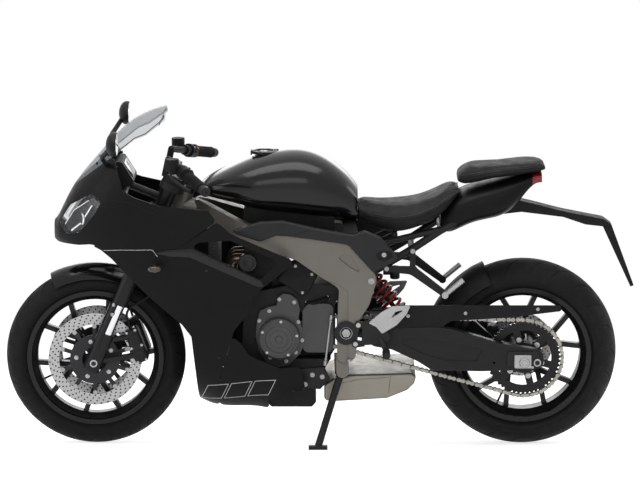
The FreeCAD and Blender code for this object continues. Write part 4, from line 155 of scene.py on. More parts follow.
class NodeBoard:
    """Builds one material's node tree."""

    def __init__(self, name: str) -> None:
        """Starts a material with a plain shader.

        Args:
            name: name of the material.
        """
        self.material = bpy.data.materials.new(name)
        self.material.use_nodes = True
        self.tree = self.material.node_tree
        self.shader = self.tree.nodes["Principled BSDF"]
        self.output = self.tree.nodes["Material Output"]

    def add(self, kind: str, **settings: object) -> bpy.types.Node:
        """Adds a node and sets its properties.

        Args:
            kind: type of the node.
            settings: properties and their values.

        Returns:
            The new node.
        """
        node = self.tree.nodes.new(kind)
        for key, value in settings.items():
            setattr(node, key, value)
        return node

    def join(self, source: Socket, target: Socket) -> None:
        """Links two sockets."""
        self.tree.links.new(source, target)

    def feed(self, target: Socket, value: object) -> None:
        """Links a socket to an input, or writes a number into it.

        Args:
            target: the input.
            value: number, colour or socket.
        """
        if isinstance(value, Socket):
            self.join(value, target)
        else:
            target.default_value = value

    def math(self, operation: str, first: object, second: object = 0.0) -> Socket:
        """Result of a Math node.

        Args:
            operation: name of the node's operation.
            first: number or socket.
            second: number or socket.

        Returns:
            The node's output socket.
        """
        node = self.add("ShaderNodeMath", operation=operation)
        self.feed(node.inputs[0], first)
        self.feed(node.inputs[1], second)
        return node.outputs[0]

    def axes(self, origin: Vector | None = None) -> Socket:
        """Object coordinates turned into the machine's upright axes.

        Args:
            origin: upright point that becomes the new zero.

        Returns:
            A vector socket in metres.
        """
        coordinates = self.add("ShaderNodeTexCoord")
        mapping = self.add("ShaderNodeMapping", vector_type="POINT")
        mapping.inputs["Rotation"].default_value = (-STANCE.lean, 0, 0)
        shift = STANCE.upright.translation - (origin or Vector((0, 0, 0)))
        mapping.inputs["Location"].default_value = shift
        self.join(coordinates.outputs["Object"], mapping.inputs["Vector"])
        return mapping.outputs["Vector"]

    def split(self, vector: Socket) -> tuple[Socket, ...]:
        """The x, y and z sockets of a vector.

        Args:
            vector: socket of a vector.

        Returns:
            Their three sockets.
        """
        node = self.add("ShaderNodeSeparateXYZ")
        self.join(vector, node.inputs[0])
        return tuple(node.outputs)

    def noise(self, vector: Socket, scale: float, detail: float = 3.0) -> Socket:
        """Noise value over a vector.

        Args:
            vector: socket of a vector.
            scale: fineness of the noise.
            detail: depth of its finer layers.

        Returns:
            The noise's socket.
        """
        node = self.add("ShaderNodeTexNoise")
        self.join(vector, node.inputs["Vector"])
        node.inputs["Scale"].default_value = scale
        node.inputs["Detail"].default_value = detail
        return node.outputs[0]

    def cells(self, vector: Socket, scale: float) -> Socket:
        """Distance to the nearest cell centre of a Voronoi pattern.

        Args:
            vector: socket of a vector.
            scale: cells to a metre.

        Returns:
            The distance's socket.
        """
        node = self.add("ShaderNodeTexVoronoi")
        self.join(vector, node.inputs["Vector"])
        node.inputs["Scale"].default_value = scale
        return node.outputs["Distance"]

    def stretched(self, vector: Socket, scale: Point) -> Socket:
        """Vector scaled apart along its axes.

        Args:
            vector: socket of a vector.
            scale: factor along each axis.

        Returns:
            The new vector's socket.
        """
        mapping = self.add("ShaderNodeMapping", vector_type="POINT")
        mapping.inputs["Scale"].default_value = scale
        self.join(vector, mapping.inputs["Vector"])
        return mapping.outputs["Vector"]

    def between(self, value: object, low: float, high: float) -> Socket:
        """One where a value lies between two limits.

        Args:
            value: number or socket.
            low: lower limit.
            high: upper limit.

        Returns:
            Socket of one or zero.
        """
        over = self.math("GREATER_THAN", value, low)
        under = self.math("LESS_THAN", value, high)
        return self.math("MULTIPLY", over, under)

    def blend(self, share: object, first: object, second: object) -> Socket:
        """Colour mixed from one to another.

        Args:
            share: number or socket, 0 for the first colour.
            first: colour or socket.
            second: colour or socket.

        Returns:
            The mixed colour's socket.
        """
        node = self.add("ShaderNodeMix", data_type="RGBA")
        self.feed(node.inputs[0], share)
        for target, colour in ((node.inputs[6], first), (node.inputs[7], second)):
            self.feed(target, (*colour, 1.0) if isinstance(colour, tuple) else colour)
        return node.outputs[2]

    def polar(self, axle: Point) -> tuple[Socket, Socket]:
        """Turn about an axle and distance from it.

        Args:
            axle: point on the axle.

        Returns:
            Both sockets.
        """
        x, _, z = self.split(self.axes(Vector(axle)))
        squares = self.math("ADD", self.math("POWER", x, 2.0), self.math("POWER", z, 2.0))
        return self.math("ARCTAN2", z, x), self.math("SQRT", squares)

    def ranged(self, value: object, low: float, high: float, to_low: float, to_high: float) -> Socket:
        """Value moved smoothly from one range to another.

        Args:
            value: number or socket.
            low: start of the first range.
            high: end of the first range.
            to_low: start of the second range.
            to_high: end of the second range.

        Returns:
            The new value's socket.
        """
        node = self.add("ShaderNodeMapRange", interpolation_type="SMOOTHSTEP")
        for index, item in enumerate((value, low, high, to_low, to_high)):
            self.feed(node.inputs[index], item)
        return node.outputs[0]

    def relief(self, height: Socket, depth: float, under: Socket | None = None) -> Socket:
        """Bump of a depth in metres over an earlier normal.

        Args:
            height: socket of the height.
            depth: depth of the bump.
            under: the earlier normal.

        Returns:
            The new normal's socket.
        """
        node = self.add("ShaderNodeBump")
        node.inputs["Strength"].default_value = 1.0
        node.inputs["Distance"].default_value = depth
        self.join(height, node.inputs["Height"])
        if under is not None:
            self.join(under, node.inputs["Normal"])
        return node.outputs["Normal"]

    def soft_edges(self, radius: float) -> Socket:
        """Normal that rounds sharp edges.

        Args:
            radius: width of the rounding.

        Returns:
            The normal's socket.
        """
        node = self.add("ShaderNodeBevel", samples=4)
        node.inputs["Radius"].default_value = radius
        return node.outputs["Normal"]


# Fineness of the slow variation and of the smears on every finish, and the coat's own roughness.
CLOUD_SCALE = 9.0
SMEAR_SCALE = 35.0
COAT_ROUGHNESS = 0.06


@dataclass(frozen=True)
class Finish:
    """Solid surface with grain, soft edges and slight variation."""

    name: str
    colour: Colour
    metallic: float = 0.0
    roughness: float = 0.4
    specular: float = 0.5
    coat: float = 0.0
    grain: Grain = Grain.MOULDED
    grain_scale: float = 900.0
    grain_depth: float = 0.00006
    variation: float = 0.25
    edge: float = 0.0012
    alpha: float = 1.0

    def make(self) -> bpy.types.Material:
        """Material of this finish.

        Returns:
            A new material.
        """
        board = NodeBoard(self.name)
        place = board.axes()
        self.colour_in(board, place)
        board.join(self.normal(board, place), board.shader.inputs["Normal"])
        shader = board.shader.inputs
        shader["Metallic"].default_value = self.metallic
        shader["Specular IOR Level"].default_value = self.specular
        shader["Coat Weight"].default_value = self.coat
        shader["Coat Roughness"].default_value = COAT_ROUGHNESS
        shader["Alpha"].default_value = self.alpha
        return board.material

    def colour_in(self, board: NodeBoard, place: Socket) -> None:
        """Links base colour and roughness with slow variation.

        Args:
            board: the material's nodes.
            place: socket of the place in upright axes.
        """
        cloud = board.noise(place, CLOUD_SCALE, 4.0)
        deep = tuple(part * (1 - self.variation) for part in self.colour)
        pale = tuple(min(part * (1 + self.variation), 1.0) for part in self.colour)
        board.join(board.blend(cloud, deep, pale), board.shader.inputs["Base Color"])
        self.roughness_in(board, place)

    def roughness_in(self, board: NodeBoard, place: Socket) -> None:
        """Links roughness with smears.

        Args:
            board: the material's nodes.
            place: socket of the place in upright axes.
        """
        smear = board.noise(place, SMEAR_SCALE, 5.0)
        smoothest, roughest = self.roughness * 0.88, min(self.roughness * 1.14, 1.0)
        rough = board.ranged(smear, 0.3, 0.7, smoothest, roughest)
        board.join(rough, board.shader.inputs["Roughness"])

    def normal(self, board: NodeBoard, place: Socket) -> Socket:
        """Normal with soft edges and the finish's grain."""
        base = board.soft_edges(self.edge)
        return board.relief(self.grain_height(board, place), self.grain_depth, base)

    def grain_height(self, board: NodeBoard, place: Socket) -> Socket:
        """Height of the grain over the surface.

        Args:
            board: the material's nodes.
            place: socket of the place in upright axes.

        Returns:
            The height's socket.
        """
        if self.grain is Grain.BRUSHED:
            return board.noise(board.stretched(place, (1.0, 1.0, 14.0)), self.grain_scale * 0.2, 4.0)
        if self.grain is Grain.VINYL:
            return board.math("SUBTRACT", 1.0, board.cells(place, self.grain_scale))
        if self.grain is Grain.LACQUER:
            return board.noise(place, 240.0, 1.0)
        return board.noise(place, self.grain_scale, 5.0)


@dataclass(frozen=True)
class TyreFinish(Finish):
    """Rubber with fine rings on the walls and scuffed grain on the tread."""

    axle: Point = (0.0, 0.0, 0.0)
    radius: float = 0.3

    def normal(self, board: NodeBoard, place: Socket) -> Socket:
        """Normal with the walls' rings over the rubber's grain.

        Args:
            board: the material's nodes.
            place: socket of the place in upright axes.

        Returns:
            The normal's socket.
        """
        _, out = board.polar(self.axle)
        rings = board.math("SINE", board.math("MULTIPLY", out, 1500.0))
        wall = board.between(out, self.radius * 0.79, self.radius * 0.835)
        grained = board.relief(board.noise(place, 700.0, 4.0), 0.00012)
        return board.relief(board.math("MULTIPLY", rings, wall), 0.0004, grained)


@dataclass(frozen=True)
class DiscFinish(Finish):
    """Swept steel band with rows of drilled holes on a dark carrier; the holes are painted near-black as
    painted shade.
    """

    axle: Point = (0.0, 0.0, 0.0)
    band: Pair = (0.119, 0.155)
    rows: int = 4
    holes: int = 42

    def drilled(self, board: NodeBoard) -> Socket:
        """One inside a drilled hole of the band.

        Args:
            board: the material's nodes.

        Returns:
            Socket of one or zero.
        """
        turn, out = board.polar(self.axle)
        inner, outer = self.band
        depth = (outer - inner) / self.rows
        row = board.math("DIVIDE", board.math("SUBTRACT", out, inner), depth)
        row_share = board.math("SUBTRACT", board.math("FRACT", row), 0.5)
        step = board.math("MULTIPLY", board.math("FLOOR", row), 0.37)
        around = board.math("ADD", board.math("MULTIPLY", turn, self.holes / (2 * math.pi)), step)
        around_share = board.math("SUBTRACT", board.math("FRACT", board.math("ADD", around, 100.0)), 0.5)
        arc = board.math("MULTIPLY", around_share, 2 * math.pi * (inner + outer) / 2 / self.holes / depth)
        reach = board.math("ADD", board.math("POWER", row_share, 2.0), board.math("POWER", arc, 2.0))
        hole = board.math("LESS_THAN", reach, 0.085)
        on_band = board.between(out, inner + depth * 0.06, outer - depth * 0.06)
        return board.math("MULTIPLY", hole, on_band)

    def colour_in(self, board: NodeBoard, place: Socket) -> None:
        """Silver band, drilled holes painted near-black as painted shade, and a black carrier.

        Args:
            board: the material's nodes.
            place: socket of the place in upright axes, not used.
        """
        _, out = board.polar(self.axle)
        on_band = board.math("GREATER_THAN", out, self.band[0] - 0.0005)
        hole = self.drilled(board)
        rings = board.noise(board.stretched(board.axes(Vector(self.axle)), (1, 0.01, 1)), 60.0, 2.0)
        silver = board.blend(rings, tuple(part * 0.85 for part in self.colour), self.colour)
        banded = board.blend(on_band, (0.025, 0.025, 0.027), silver)
        # The drilled holes get near-black colour: painted shade in place of open holes.
        board.join(board.blend(hole, banded, (0.01, 0.01, 0.01)), board.shader.inputs["Base Color"])
        rough = board.ranged(on_band, 0.0, 1.0, 0.45, self.roughness)
        board.join(rough, board.shader.inputs["Roughness"])

    def normal(self, board: NodeBoard, place: Socket) -> Socket:
        """Normal with sunken holes."""
        open_metal = board.math("SUBTRACT", 1.0, self.drilled(board))
        return board.relief(open_metal, 0.0015, board.soft_edges(0.0006))


@dataclass(frozen=True)
class ForkFinish(Finish):
    """Black fork tubes with a bright stretch between the foot and the upper tube."""

    bright: Colour = (0.62, 0.62, 0.64)
    bright_from: float = 0.1065
    bright_to: float = 0.2135

    def colour_in(self, board: NodeBoard, place: Socket) -> None:
        """Bright polished steel between two heights along the leg.

        Args:
            board: the material's nodes.
            place: socket of the place in upright axes.
        """
        _, way = STANCE.steering()
        x, _, z = board.split(board.axes(STANCE.front_axle()))
        along = board.math("ADD", board.math("MULTIPLY", x, way.x), board.math("MULTIPLY", z, way.z))
        shown = board.between(along, self.bright_from, self.bright_to)
        cloud = board.noise(place, 20.0, 4.0)
        dark = board.blend(cloud, tuple(part * 0.8 for part in self.colour), self.colour)
        board.join(board.blend(shown, dark, self.bright), board.shader.inputs["Base Color"])
        rough = board.ranged(shown, 0.0, 1.0, self.roughness, 0.12)
        board.join(rough, board.shader.inputs["Roughness"])
        board.join(shown, board.shader.inputs["Metallic"])


@dataclass(frozen=True)
class StripedFinish(Finish):
    """Dark panel with outlined slanted bars low on its side."""

    low: float = 0.176
    high: float = 0.232
    start: float = 0.350
    pitch: float = 0.078
    count: int = 3
    gap: float = 0.010
    rise: float = 0.12
    slant: float = 0.45
    line: float = 0.0022
    outline: Colour = (0.60, 0.60, 0.60)

    def colour_in(self, board: NodeBoard, place: Socket) -> None:
        """Base paint with the bars' outlines drawn over it.

        Args:
            board: the material's nodes.
            place: socket of the place in upright axes.
        """
        cloud = board.noise(place, CLOUD_SCALE, 4.0)
        paint = board.blend(cloud, tuple(part * 0.8 for part in self.colour), self.colour)
        x, _, z = board.split(place)
        climb = board.math("MULTIPLY", board.math("SUBTRACT", x, self.start), self.rise)
        level = board.math("SUBTRACT", z, climb)
        shift = board.math("MULTIPLY", board.math("SUBTRACT", level, self.low), self.slant)
        slanted = board.math("SUBTRACT", x, shift)
        step = board.math("DIVIDE", board.math("SUBTRACT", slanted, self.start), self.pitch)
        place_in = board.math("MULTIPLY", board.math("FRACT", step), self.pitch)
        half = (self.pitch - self.gap) / 2
        across = board.math(
            "SUBTRACT", board.math("ABSOLUTE", board.math("SUBTRACT", place_in, self.pitch / 2)), half
        )
        middle, tall = (self.low + self.high) / 2, (self.high - self.low) / 2
        upward = board.math("SUBTRACT", board.math("ABSOLUTE", board.math("SUBTRACT", level, middle)), tall)
        out = board.math("ABSOLUTE", board.math("MAXIMUM", across, upward))
        line = board.math("LESS_THAN", out, self.line / 2)
        inside = board.between(step, 0.0, float(self.count))
        drawn = board.blend(board.math("MULTIPLY", line, inside), paint, self.outline)
        board.join(drawn, board.shader.inputs["Base Color"])
        self.roughness_in(board, place)


@dataclass(frozen=True)
class ClearFinish(Finish):
    """Clear or tinted moulded plastic."""

    transmission: float = 0.9

    def make(self) -> bpy.types.Material:
        """Material that light passes through.

        Returns:
            A new material.
        """
        board = NodeBoard(self.name)
        place = board.axes()
        cloud = board.noise(place, 14.0, 3.0)
        tint = board.blend(cloud, tuple(part * 0.95 for part in self.colour), self.colour)
        board.join(tint, board.shader.inputs["Base Color"])
        board.join(board.relief(board.noise(place, 8.0, 1.0), 0.00002), board.shader.inputs["Normal"])
        shader = board.shader.inputs
        shader["Roughness"].default_value = self.roughness
        shader["Transmission Weight"].default_value = self.transmission
        shader["IOR"].default_value = 1.05
        shader["Alpha"].default_value = self.alpha
        return board.material


@dataclass(frozen=True)
class CoreFinish(Finish):
    """Radiator core with fine fins between flat tubes."""

    def normal(self, board: NodeBoard, place: Socket) -> Socket:
        """Normal with crossed fins and tubes.

        Args:
            board: the material's nodes.
            place: socket of the place in upright axes.

        Returns:
            The normal's socket.
        """
        _, y, z = board.split(place)
        fins = board.math("SINE", board.math("MULTIPLY", y, 1400.0))
        tubes = board.math("SINE", board.math("MULTIPLY", z, 620.0))
        height = board.math("MAXIMUM", board.math("MULTIPLY", fins, 0.6), tubes)
        return board.relief(height, 0.0012)


FRONT_PLACE = tuple(STANCE.front_axle())
REAR_PLACE = tuple(STANCE.rear_axle())


class Palette(Enum):
    """Every finish on the machine."""

    GLOSS_BLACK = Finish(
        "gloss_black_lacquer", (0.0045, 0.0045, 0.005), roughness=0.16, coat=0.12, grain=Grain.LACQUER,
        grain_depth=0.00002, variation=0.2, edge=0.0015, specular=0.22,
    )
    SATIN_BLACK = StripedFinish(
        "satin_black_panel", (0.0045, 0.0045, 0.005), roughness=0.42, grain=Grain.LACQUER,
        grain_depth=0.00002, specular=0.11,
    )
    TANK_BLACK = Finish(
        "tank_black_lacquer", (0.004, 0.004, 0.0045), roughness=0.2, coat=0.14, grain=Grain.LACQUER,
        grain_depth=0.00002, variation=0.2, specular=0.22,
    )
    GRAPHITE = Finish(
        "graphite_satin_panel", (0.017, 0.0175, 0.0185), roughness=0.42, grain_scale=1500.0,
        grain_depth=0.00003, specular=0.18,
    )
    MOULDING = Finish(
        "black_moulded_plastic", (0.008, 0.008, 0.0085), roughness=0.55, grain_scale=1100.0, specular=0.14
    )
    CHAMPAGNE = Finish(
        "champagne_cast_metal", (0.15, 0.138, 0.122), metallic=0.45, roughness=0.42, grain=Grain.CAST,
        grain_scale=650.0, grain_depth=0.00008, variation=0.08, edge=0.003, specular=0.3,
    )
    DARK_CAST = Finish(
        "dark_cast_metal", (0.018, 0.018, 0.019), metallic=0.25, roughness=0.48, grain=Grain.CAST,
        grain_scale=800.0, grain_depth=0.00009, edge=0.002, specular=0.2,
    )
    ENGINE_PAINT = Finish(
        "engine_case_paint", (0.01, 0.01, 0.0105), metallic=0.15, roughness=0.5, grain=Grain.CAST,
        grain_scale=500.0, grain_depth=0.00014, edge=0.004, specular=0.16,
    )
    COVER_GREY = Finish(
        "engine_cover_grey", (0.062, 0.062, 0.064), metallic=0.35, roughness=0.42, grain=Grain.CAST,
        grain_scale=700.0, grain_depth=0.00008, edge=0.003, specular=0.25,
    )
    ARM_BLACK = Finish(
        "swingarm_black_coat", (0.012, 0.012, 0.0125), metallic=0.1, roughness=0.42, grain=Grain.CAST,
        grain_scale=900.0, edge=0.003, specular=0.18,
    )
    WHEEL_BLACK = Finish(
        "wheel_black_coat", (0.007, 0.007, 0.0075), metallic=0, roughness=0.30, coat=0.05, edge=0.002,
        specular=0.2,
    )
    BRIGHT_STEEL = Finish(
        "bright_turned_steel", (0.36, 0.36, 0.37), metallic=1.0, roughness=0.28, grain=Grain.BRUSHED,
        edge=0.0008,
    )
    SILVER_CAST = Finish(
        "silver_cast_metal", (0.34, 0.34, 0.34), metallic=0.7, roughness=0.38, grain=Grain.CAST, edge=0.0012
    )
    HEADER_STEEL = Finish(
        "heat_tinted_steel", (0.17, 0.13, 0.1), metallic=0.9, roughness=0.35, grain=Grain.BRUSHED,
        variation=0.35,
    )
    SILENCER_METAL = Finish(
        "brushed_silencer_metal", (0.215, 0.2, 0.172), metallic=0.75, roughness=0.40, grain=Grain.BRUSHED,
        variation=0.08, edge=0.006,
    )
    CHAIN_STEEL = Finish(
        "plated_chain_steel", (0.3, 0.285, 0.26), metallic=0.9, roughness=0.36, grain=Grain.CAST,
        variation=0.3,
    )
    SPROCKET_STEEL = Finish(
        "dark_sprocket_steel", (0.012, 0.012, 0.012), metallic=0.2, roughness=0.42, grain=Grain.BRUSHED,
        specular=0.2,
    )
    SPRING_RED = Finish(
        "red_spring_coat", (0.3, 0.004, 0.009), roughness=0.28, coat=0.15, grain=Grain.LACQUER, specular=0.3
    )
    SEAT_VINYL = Finish(
        "black_seat_vinyl", (0.009, 0.009, 0.0095), roughness=0.58, grain=Grain.VINYL, grain_scale=620.0,
        grain_depth=0.00022, edge=0.0, specular=0.16,
    )
    THREAD = Finish("grey_seat_thread", (0.10, 0.10, 0.10), roughness=0.8)
    GRIP_RUBBER = Finish(
        "ribbed_grip_rubber", (0.007, 0.007, 0.007), roughness=0.7, grain=Grain.VINYL, grain_scale=420.0,
        grain_depth=0.0004, specular=0.12,
    )
    HOSE = Finish(
        "woven_hose_sheath", (0.009, 0.009, 0.009), roughness=0.5, grain=Grain.VINYL, grain_scale=900.0,
        grain_depth=0.0003, specular=0.15,
    )
    LAMP_RED = Finish(
        "red_lamp_lens", (0.26, 0.005, 0.008), roughness=0.12, coat=0.3, grain=Grain.LACQUER, specular=0.3
    )
    LAMP_AMBER = Finish(
        "smoked_lamp_lens", (0.05, 0.036, 0.03), roughness=0.12, coat=0.3, grain=Grain.LACQUER, specular=0.3
    )
    REFLECTOR = Finish(
        "lamp_reflector", (0.70, 0.71, 0.73), metallic=1.0, roughness=0.12, grain=Grain.LACQUER
    )
    MIRROR_FACE = Finish(
        "mirror_face", (0.75, 0.76, 0.78), metallic=1.0, roughness=0.03, grain=Grain.LACQUER,
        grain_depth=0.000001, variation=0.02,
    )
    DISPLAY = Finish(
        "dark_display_glass", (0.010, 0.012, 0.016), roughness=0.06, coat=0.3, grain=Grain.LACQUER,
        grain_depth=0.000001, specular=0.3,
    )
    ROLLER_STEEL = Finish(
        "dark_roller_steel", (0.085, 0.08, 0.074), metallic=0.8, roughness=0.4, grain=Grain.CAST
    )
    MARKING = Finish("pale_display_marking", (0.55, 0.60, 0.62), roughness=0.5)
    EDGE_SILVER = Finish(
        "silver_edge_trim", (0.36, 0.36, 0.37), metallic=0.7, roughness=0.3, grain=Grain.LACQUER
    )
    SWITCH_RED = Finish("red_switch", (0.45, 0.01, 0.01), roughness=0.4)
    SCREEN = ClearFinish("smoked_screen", (0.34, 0.36, 0.38), roughness=0.08, alpha=0.34, transmission=0.0)
    LENS = ClearFinish("clear_lamp_lens", (0.92, 0.94, 0.96), roughness=0.03, alpha=0.28)
    CORE = CoreFinish("radiator_core", (0.02, 0.02, 0.021), metallic=0.4, roughness=0.5)
    FORK_BLACK = ForkFinish("fork_black_and_bright", (0.009, 0.009, 0.0095), roughness=0.34, specular=0.2)
    FRONT_TYRE = TyreFinish(
        "front_tyre_rubber", (0.0085, 0.0085, 0.009), roughness=0.62, edge=0.0, axle=FRONT_PLACE,
        radius=0.2999, specular=0.12,
    )
    REAR_TYRE = TyreFinish(
        "rear_tyre_rubber", (0.0085, 0.0085, 0.009), roughness=0.62, edge=0.0, axle=REAR_PLACE, radius=0.3149,
        specular=0.12,
    )
    FRONT_DISC = DiscFinish(
        "front_disc_steel", (0.42, 0.42, 0.42), metallic=0.75, roughness=0.34, axle=FRONT_PLACE
    )
    REAR_DISC = DiscFinish(
        "rear_disc_steel", (0.42, 0.42, 0.42), metallic=0.75, roughness=0.34, axle=REAR_PLACE,
        band=(0.076, 0.110), holes=30,
    )


WORN = {
    Palette.FRONT_TYRE: "front_tyre",
    Palette.REAR_TYRE: "rear_tyre",
    Palette.WHEEL_BLACK: "front_rim rear_rim",
    Palette.FRONT_DISC: "front_discs",
    Palette.REAR_DISC: "rear_disc",
    Palette.SPROCKET_STEEL: "rear_sprocket",
    Palette.CHAIN_STEEL: "chain",
    Palette.BRIGHT_STEEL: "front_axle",
    Palette.SILVER_CAST: "rear_axle pillion_pegs heel_plates",
    Palette.FORK_BLACK: "fork_legs",
    Palette.DARK_CAST: "triple_clamps front_calipers fairing_stay fuel_cap "
    "pivot_bolt rear_caliper shock footrests",
    Palette.MOULDING: "handlebars controls instrument_panel mirrors "
    "plate_hanger airbox rear_hugger chain_guard",
    Palette.GLOSS_BLACK: "front_mudguard",
    Palette.HOSE: "brake_hoses",
    Palette.SATIN_BLACK: "upper_cowl side_fairings belly_pan tail_cowl",
    Palette.LENS: "headlights",
    Palette.SCREEN: "windscreen",
    Palette.LAMP_AMBER: "indicators",
    Palette.TANK_BLACK: "fuel_tank",
    Palette.SEAT_VINYL: "rider_seat passenger_seat",
    Palette.GRAPHITE: "side_covers",
    Palette.LAMP_RED: "tail_light",
    Palette.CHAMPAGNE: "main_frame",
    Palette.ARM_BLACK: "subframe pillion_hangers swingarm side_stand",
    Palette.ENGINE_PAINT: "engine_block sump",
    Palette.COVER_GREY: "engine_covers",
    Palette.CORE: "radiator",
    Palette.HEADER_STEEL: "exhaust",
    Palette.SILENCER_METAL: "silencer",
    Palette.SPRING_RED: "shock_spring",
}
MADE: dict[Palette, bpy.types.Material] = {}


def material(finish: Palette) -> bpy.types.Material:
    """Material of a finish, made once.

    Args:
        finish: the finish wanted.

    Returns:
        Its material.
    """
    if finish not in MADE:
        MADE[finish] = finish.value.make()
    return MADE[finish]


def dress_nodes() -> None:
    """Gives every CAD node its finish."""
    for finish, nodes in WORN.items():
        for node in nodes.split():
            mesh = frame["nodes"][node].data
            mesh.materials.clear()
            mesh.materials.append(material(finish))


def mm(*steps: Pair) -> list[Pair]:
    """Steps of a lathe profile in metres, from radius and height in millimetres."""
    return [(radius / 1000, height / 1000) for radius, height in steps]


class Bench:
    """Modelling tools that work in the upright axes, in metres."""

    def clear(self) -> None:
        """Deselects everything in object mode."""
        if bpy.context.object and bpy.context.object.mode != "OBJECT":
            bpy.ops.object.mode_set(mode="OBJECT")
        bpy.ops.object.select_all(action="DESELECT")

    def take(self, piece: Piece) -> None:
        """Makes a piece the only selected and active one.

        Args:
            piece: the piece.
        """
        self.clear()
        piece.select_set(True)
        bpy.context.view_layer.objects.active = piece

    def edit(self, piece: Piece) -> None:
        """Opens a piece in edit mode with all of it selected.

        Args:
            piece: the piece.
        """
        self.take(piece)
        bpy.ops.object.mode_set(mode="EDIT")
        bpy.ops.mesh.select_all(action="SELECT")

    def close(self) -> None:
        """Leaves edit mode."""
        bpy.ops.object.mode_set(mode="OBJECT")

    def pick_top(self, piece: Piece) -> None:
        """Selects the faces that look along +z, in edit mode.

        Args:
            piece: the piece.
        """
        bpy.ops.mesh.select_mode(type="FACE")
        bpy.ops.mesh.select_all(action="DESELECT")
        mesh = bmesh.from_edit_mesh(piece.data)
        for face in mesh.faces:
            if face.normal.z > 0.9:
                face.select_set(True)
        bmesh.update_edit_mesh(piece.data)

    def rod(
        self, name: str, start: Vector, end: Vector, radius: float, sides: int = 28, edge: float = 0.0
    ) -> Piece:
        """Round bar between two points with rounded rims.

        Args:
            name: name of the piece.
            start: middle of one end.
            end: middle of the other end.
            radius: radius of the bar.
            sides: faces round the bar.
            edge: width of the rounding at its rims.

        Returns:
            The new piece.
        """
        way = end - start
        self.clear()
        bpy.ops.mesh.primitive_cylinder_add(
            vertices=sides,
            radius=radius,
            depth=way.length,
            location=(start + end) / 2,
            rotation=way.to_track_quat("Z", "Y").to_euler(),
        )
        piece = bpy.context.object
        piece.name = name
        bpy.ops.object.transform_apply(location=True, rotation=True, scale=True)
        if edge:
            self.round_edges(piece, edge)
        return piece

    def round_edges(self, piece: Piece, edge: float, angle: float = 40.0, segments: int = 2) -> None:
        """Bevels a piece's sharp edges.

        Args:
            piece: the piece to round.
            edge: width of the bevel.
            angle: edges sharper than this are rounded, in degrees.
            segments: steps across the bevel.
        """
        self.take(piece)
        bevel = piece.modifiers.new("rounding", "BEVEL")
        bevel.width = edge
        bevel.segments = segments
        bevel.limit_method = "ANGLE"
        bevel.angle_limit = math.radians(angle)
        bevel.use_clamp_overlap = True
        bpy.ops.object.modifier_apply(modifier=bevel.name)

    def wire(self, name: str, points: Sequence[Vector]) -> Piece:
        """Chain of edges drawn point by point.

        Args:
            name: name of the piece.
            points: corners in order.

        Returns:
            The new piece.
        """
        self.clear()
        bpy.ops.mesh.primitive_plane_add(size=0.001, location=points[0])
        piece = bpy.context.object
        piece.name = name
        bpy.ops.object.transform_apply(location=True, rotation=True, scale=True)
        bpy.ops.object.mode_set(mode="EDIT")
        bpy.ops.mesh.select_mode(type="VERT")
        bpy.ops.mesh.select_all(action="SELECT")
        bpy.ops.mesh.merge(type="CENTER")
        for before, after in zip(points, points[1:]):
            bpy.ops.mesh.extrude_vertices_move(TRANSFORM_OT_translate={"value": tuple(after - before)})
        self.close()
        return piece

    def sheet(self, name: str, outline: Sequence[Vector]) -> Piece:
        """Flat face drawn point by point.

        Args:
            name: name of the piece.
            outline: corners in order.

        Returns:
            The new piece.
        """
        piece = self.wire(name, outline)
        self.edit(piece)
        bpy.ops.mesh.edge_face_add()
        self.close()
        return piece

    def turned(self, name: str, profile: Sequence[Pair], foot: Vector, way: Vector, sides: int = 48) -> Piece:
        """Lathe-turned piece that stands on a foot point along a direction.

        Args:
            name: name of the piece.
            profile: radius and height of each step, closed or from axis to axis.
            foot: middle of the piece's foot.
            way: direction of the axis.
            sides: faces round the piece.

        Returns:
            The new piece.
        """
        piece = self.wire(name, [Vector((radius, 0, height)) for radius, height in profile])
        self.take(piece)
        lathe = piece.modifiers.new("lathe", "SCREW")
        lathe.angle = 2 * math.pi
        lathe.screw_offset = 0.0
        lathe.steps = sides
        lathe.render_steps = sides
        lathe.use_merge_vertices = True
        lathe.merge_threshold = 0.00001
        bpy.ops.object.modifier_apply(modifier=lathe.name)
        self.edit(piece)
        bpy.ops.mesh.remove_doubles(threshold=0.00001)
        bpy.ops.mesh.normals_make_consistent(inside=False)
        self.close()
        turn = way.normalized().to_track_quat("Z", "Y").to_matrix().to_4x4()
        piece.data.transform(Matrix.Translation(foot) @ turn)
        return piece

    def plate(
        self, name: str, outline: Sequence[Vector], way: Vector, edge: float = 0.001, segments: int = 2
    ) -> Piece:
        """Plate extruded from an outline and rounded along its rims.

        Args:
            name: name of the piece.
            outline: corners in order.
            way: direction and thickness of the plate.
            edge: width of the rounding.
            segments: steps across the rounding.

        Returns:
            The new piece.
        """
        piece = self.sheet(name, outline)
        self.edit(piece)
        bpy.ops.mesh.extrude_region_move(TRANSFORM_OT_translate={"value": tuple(way)})
        bpy.ops.mesh.select_all(action="SELECT")
        bpy.ops.mesh.normals_make_consistent(inside=False)
        self.close()
        if edge:
            self.round_edges(piece, edge, 30.0, segments)
        return piece

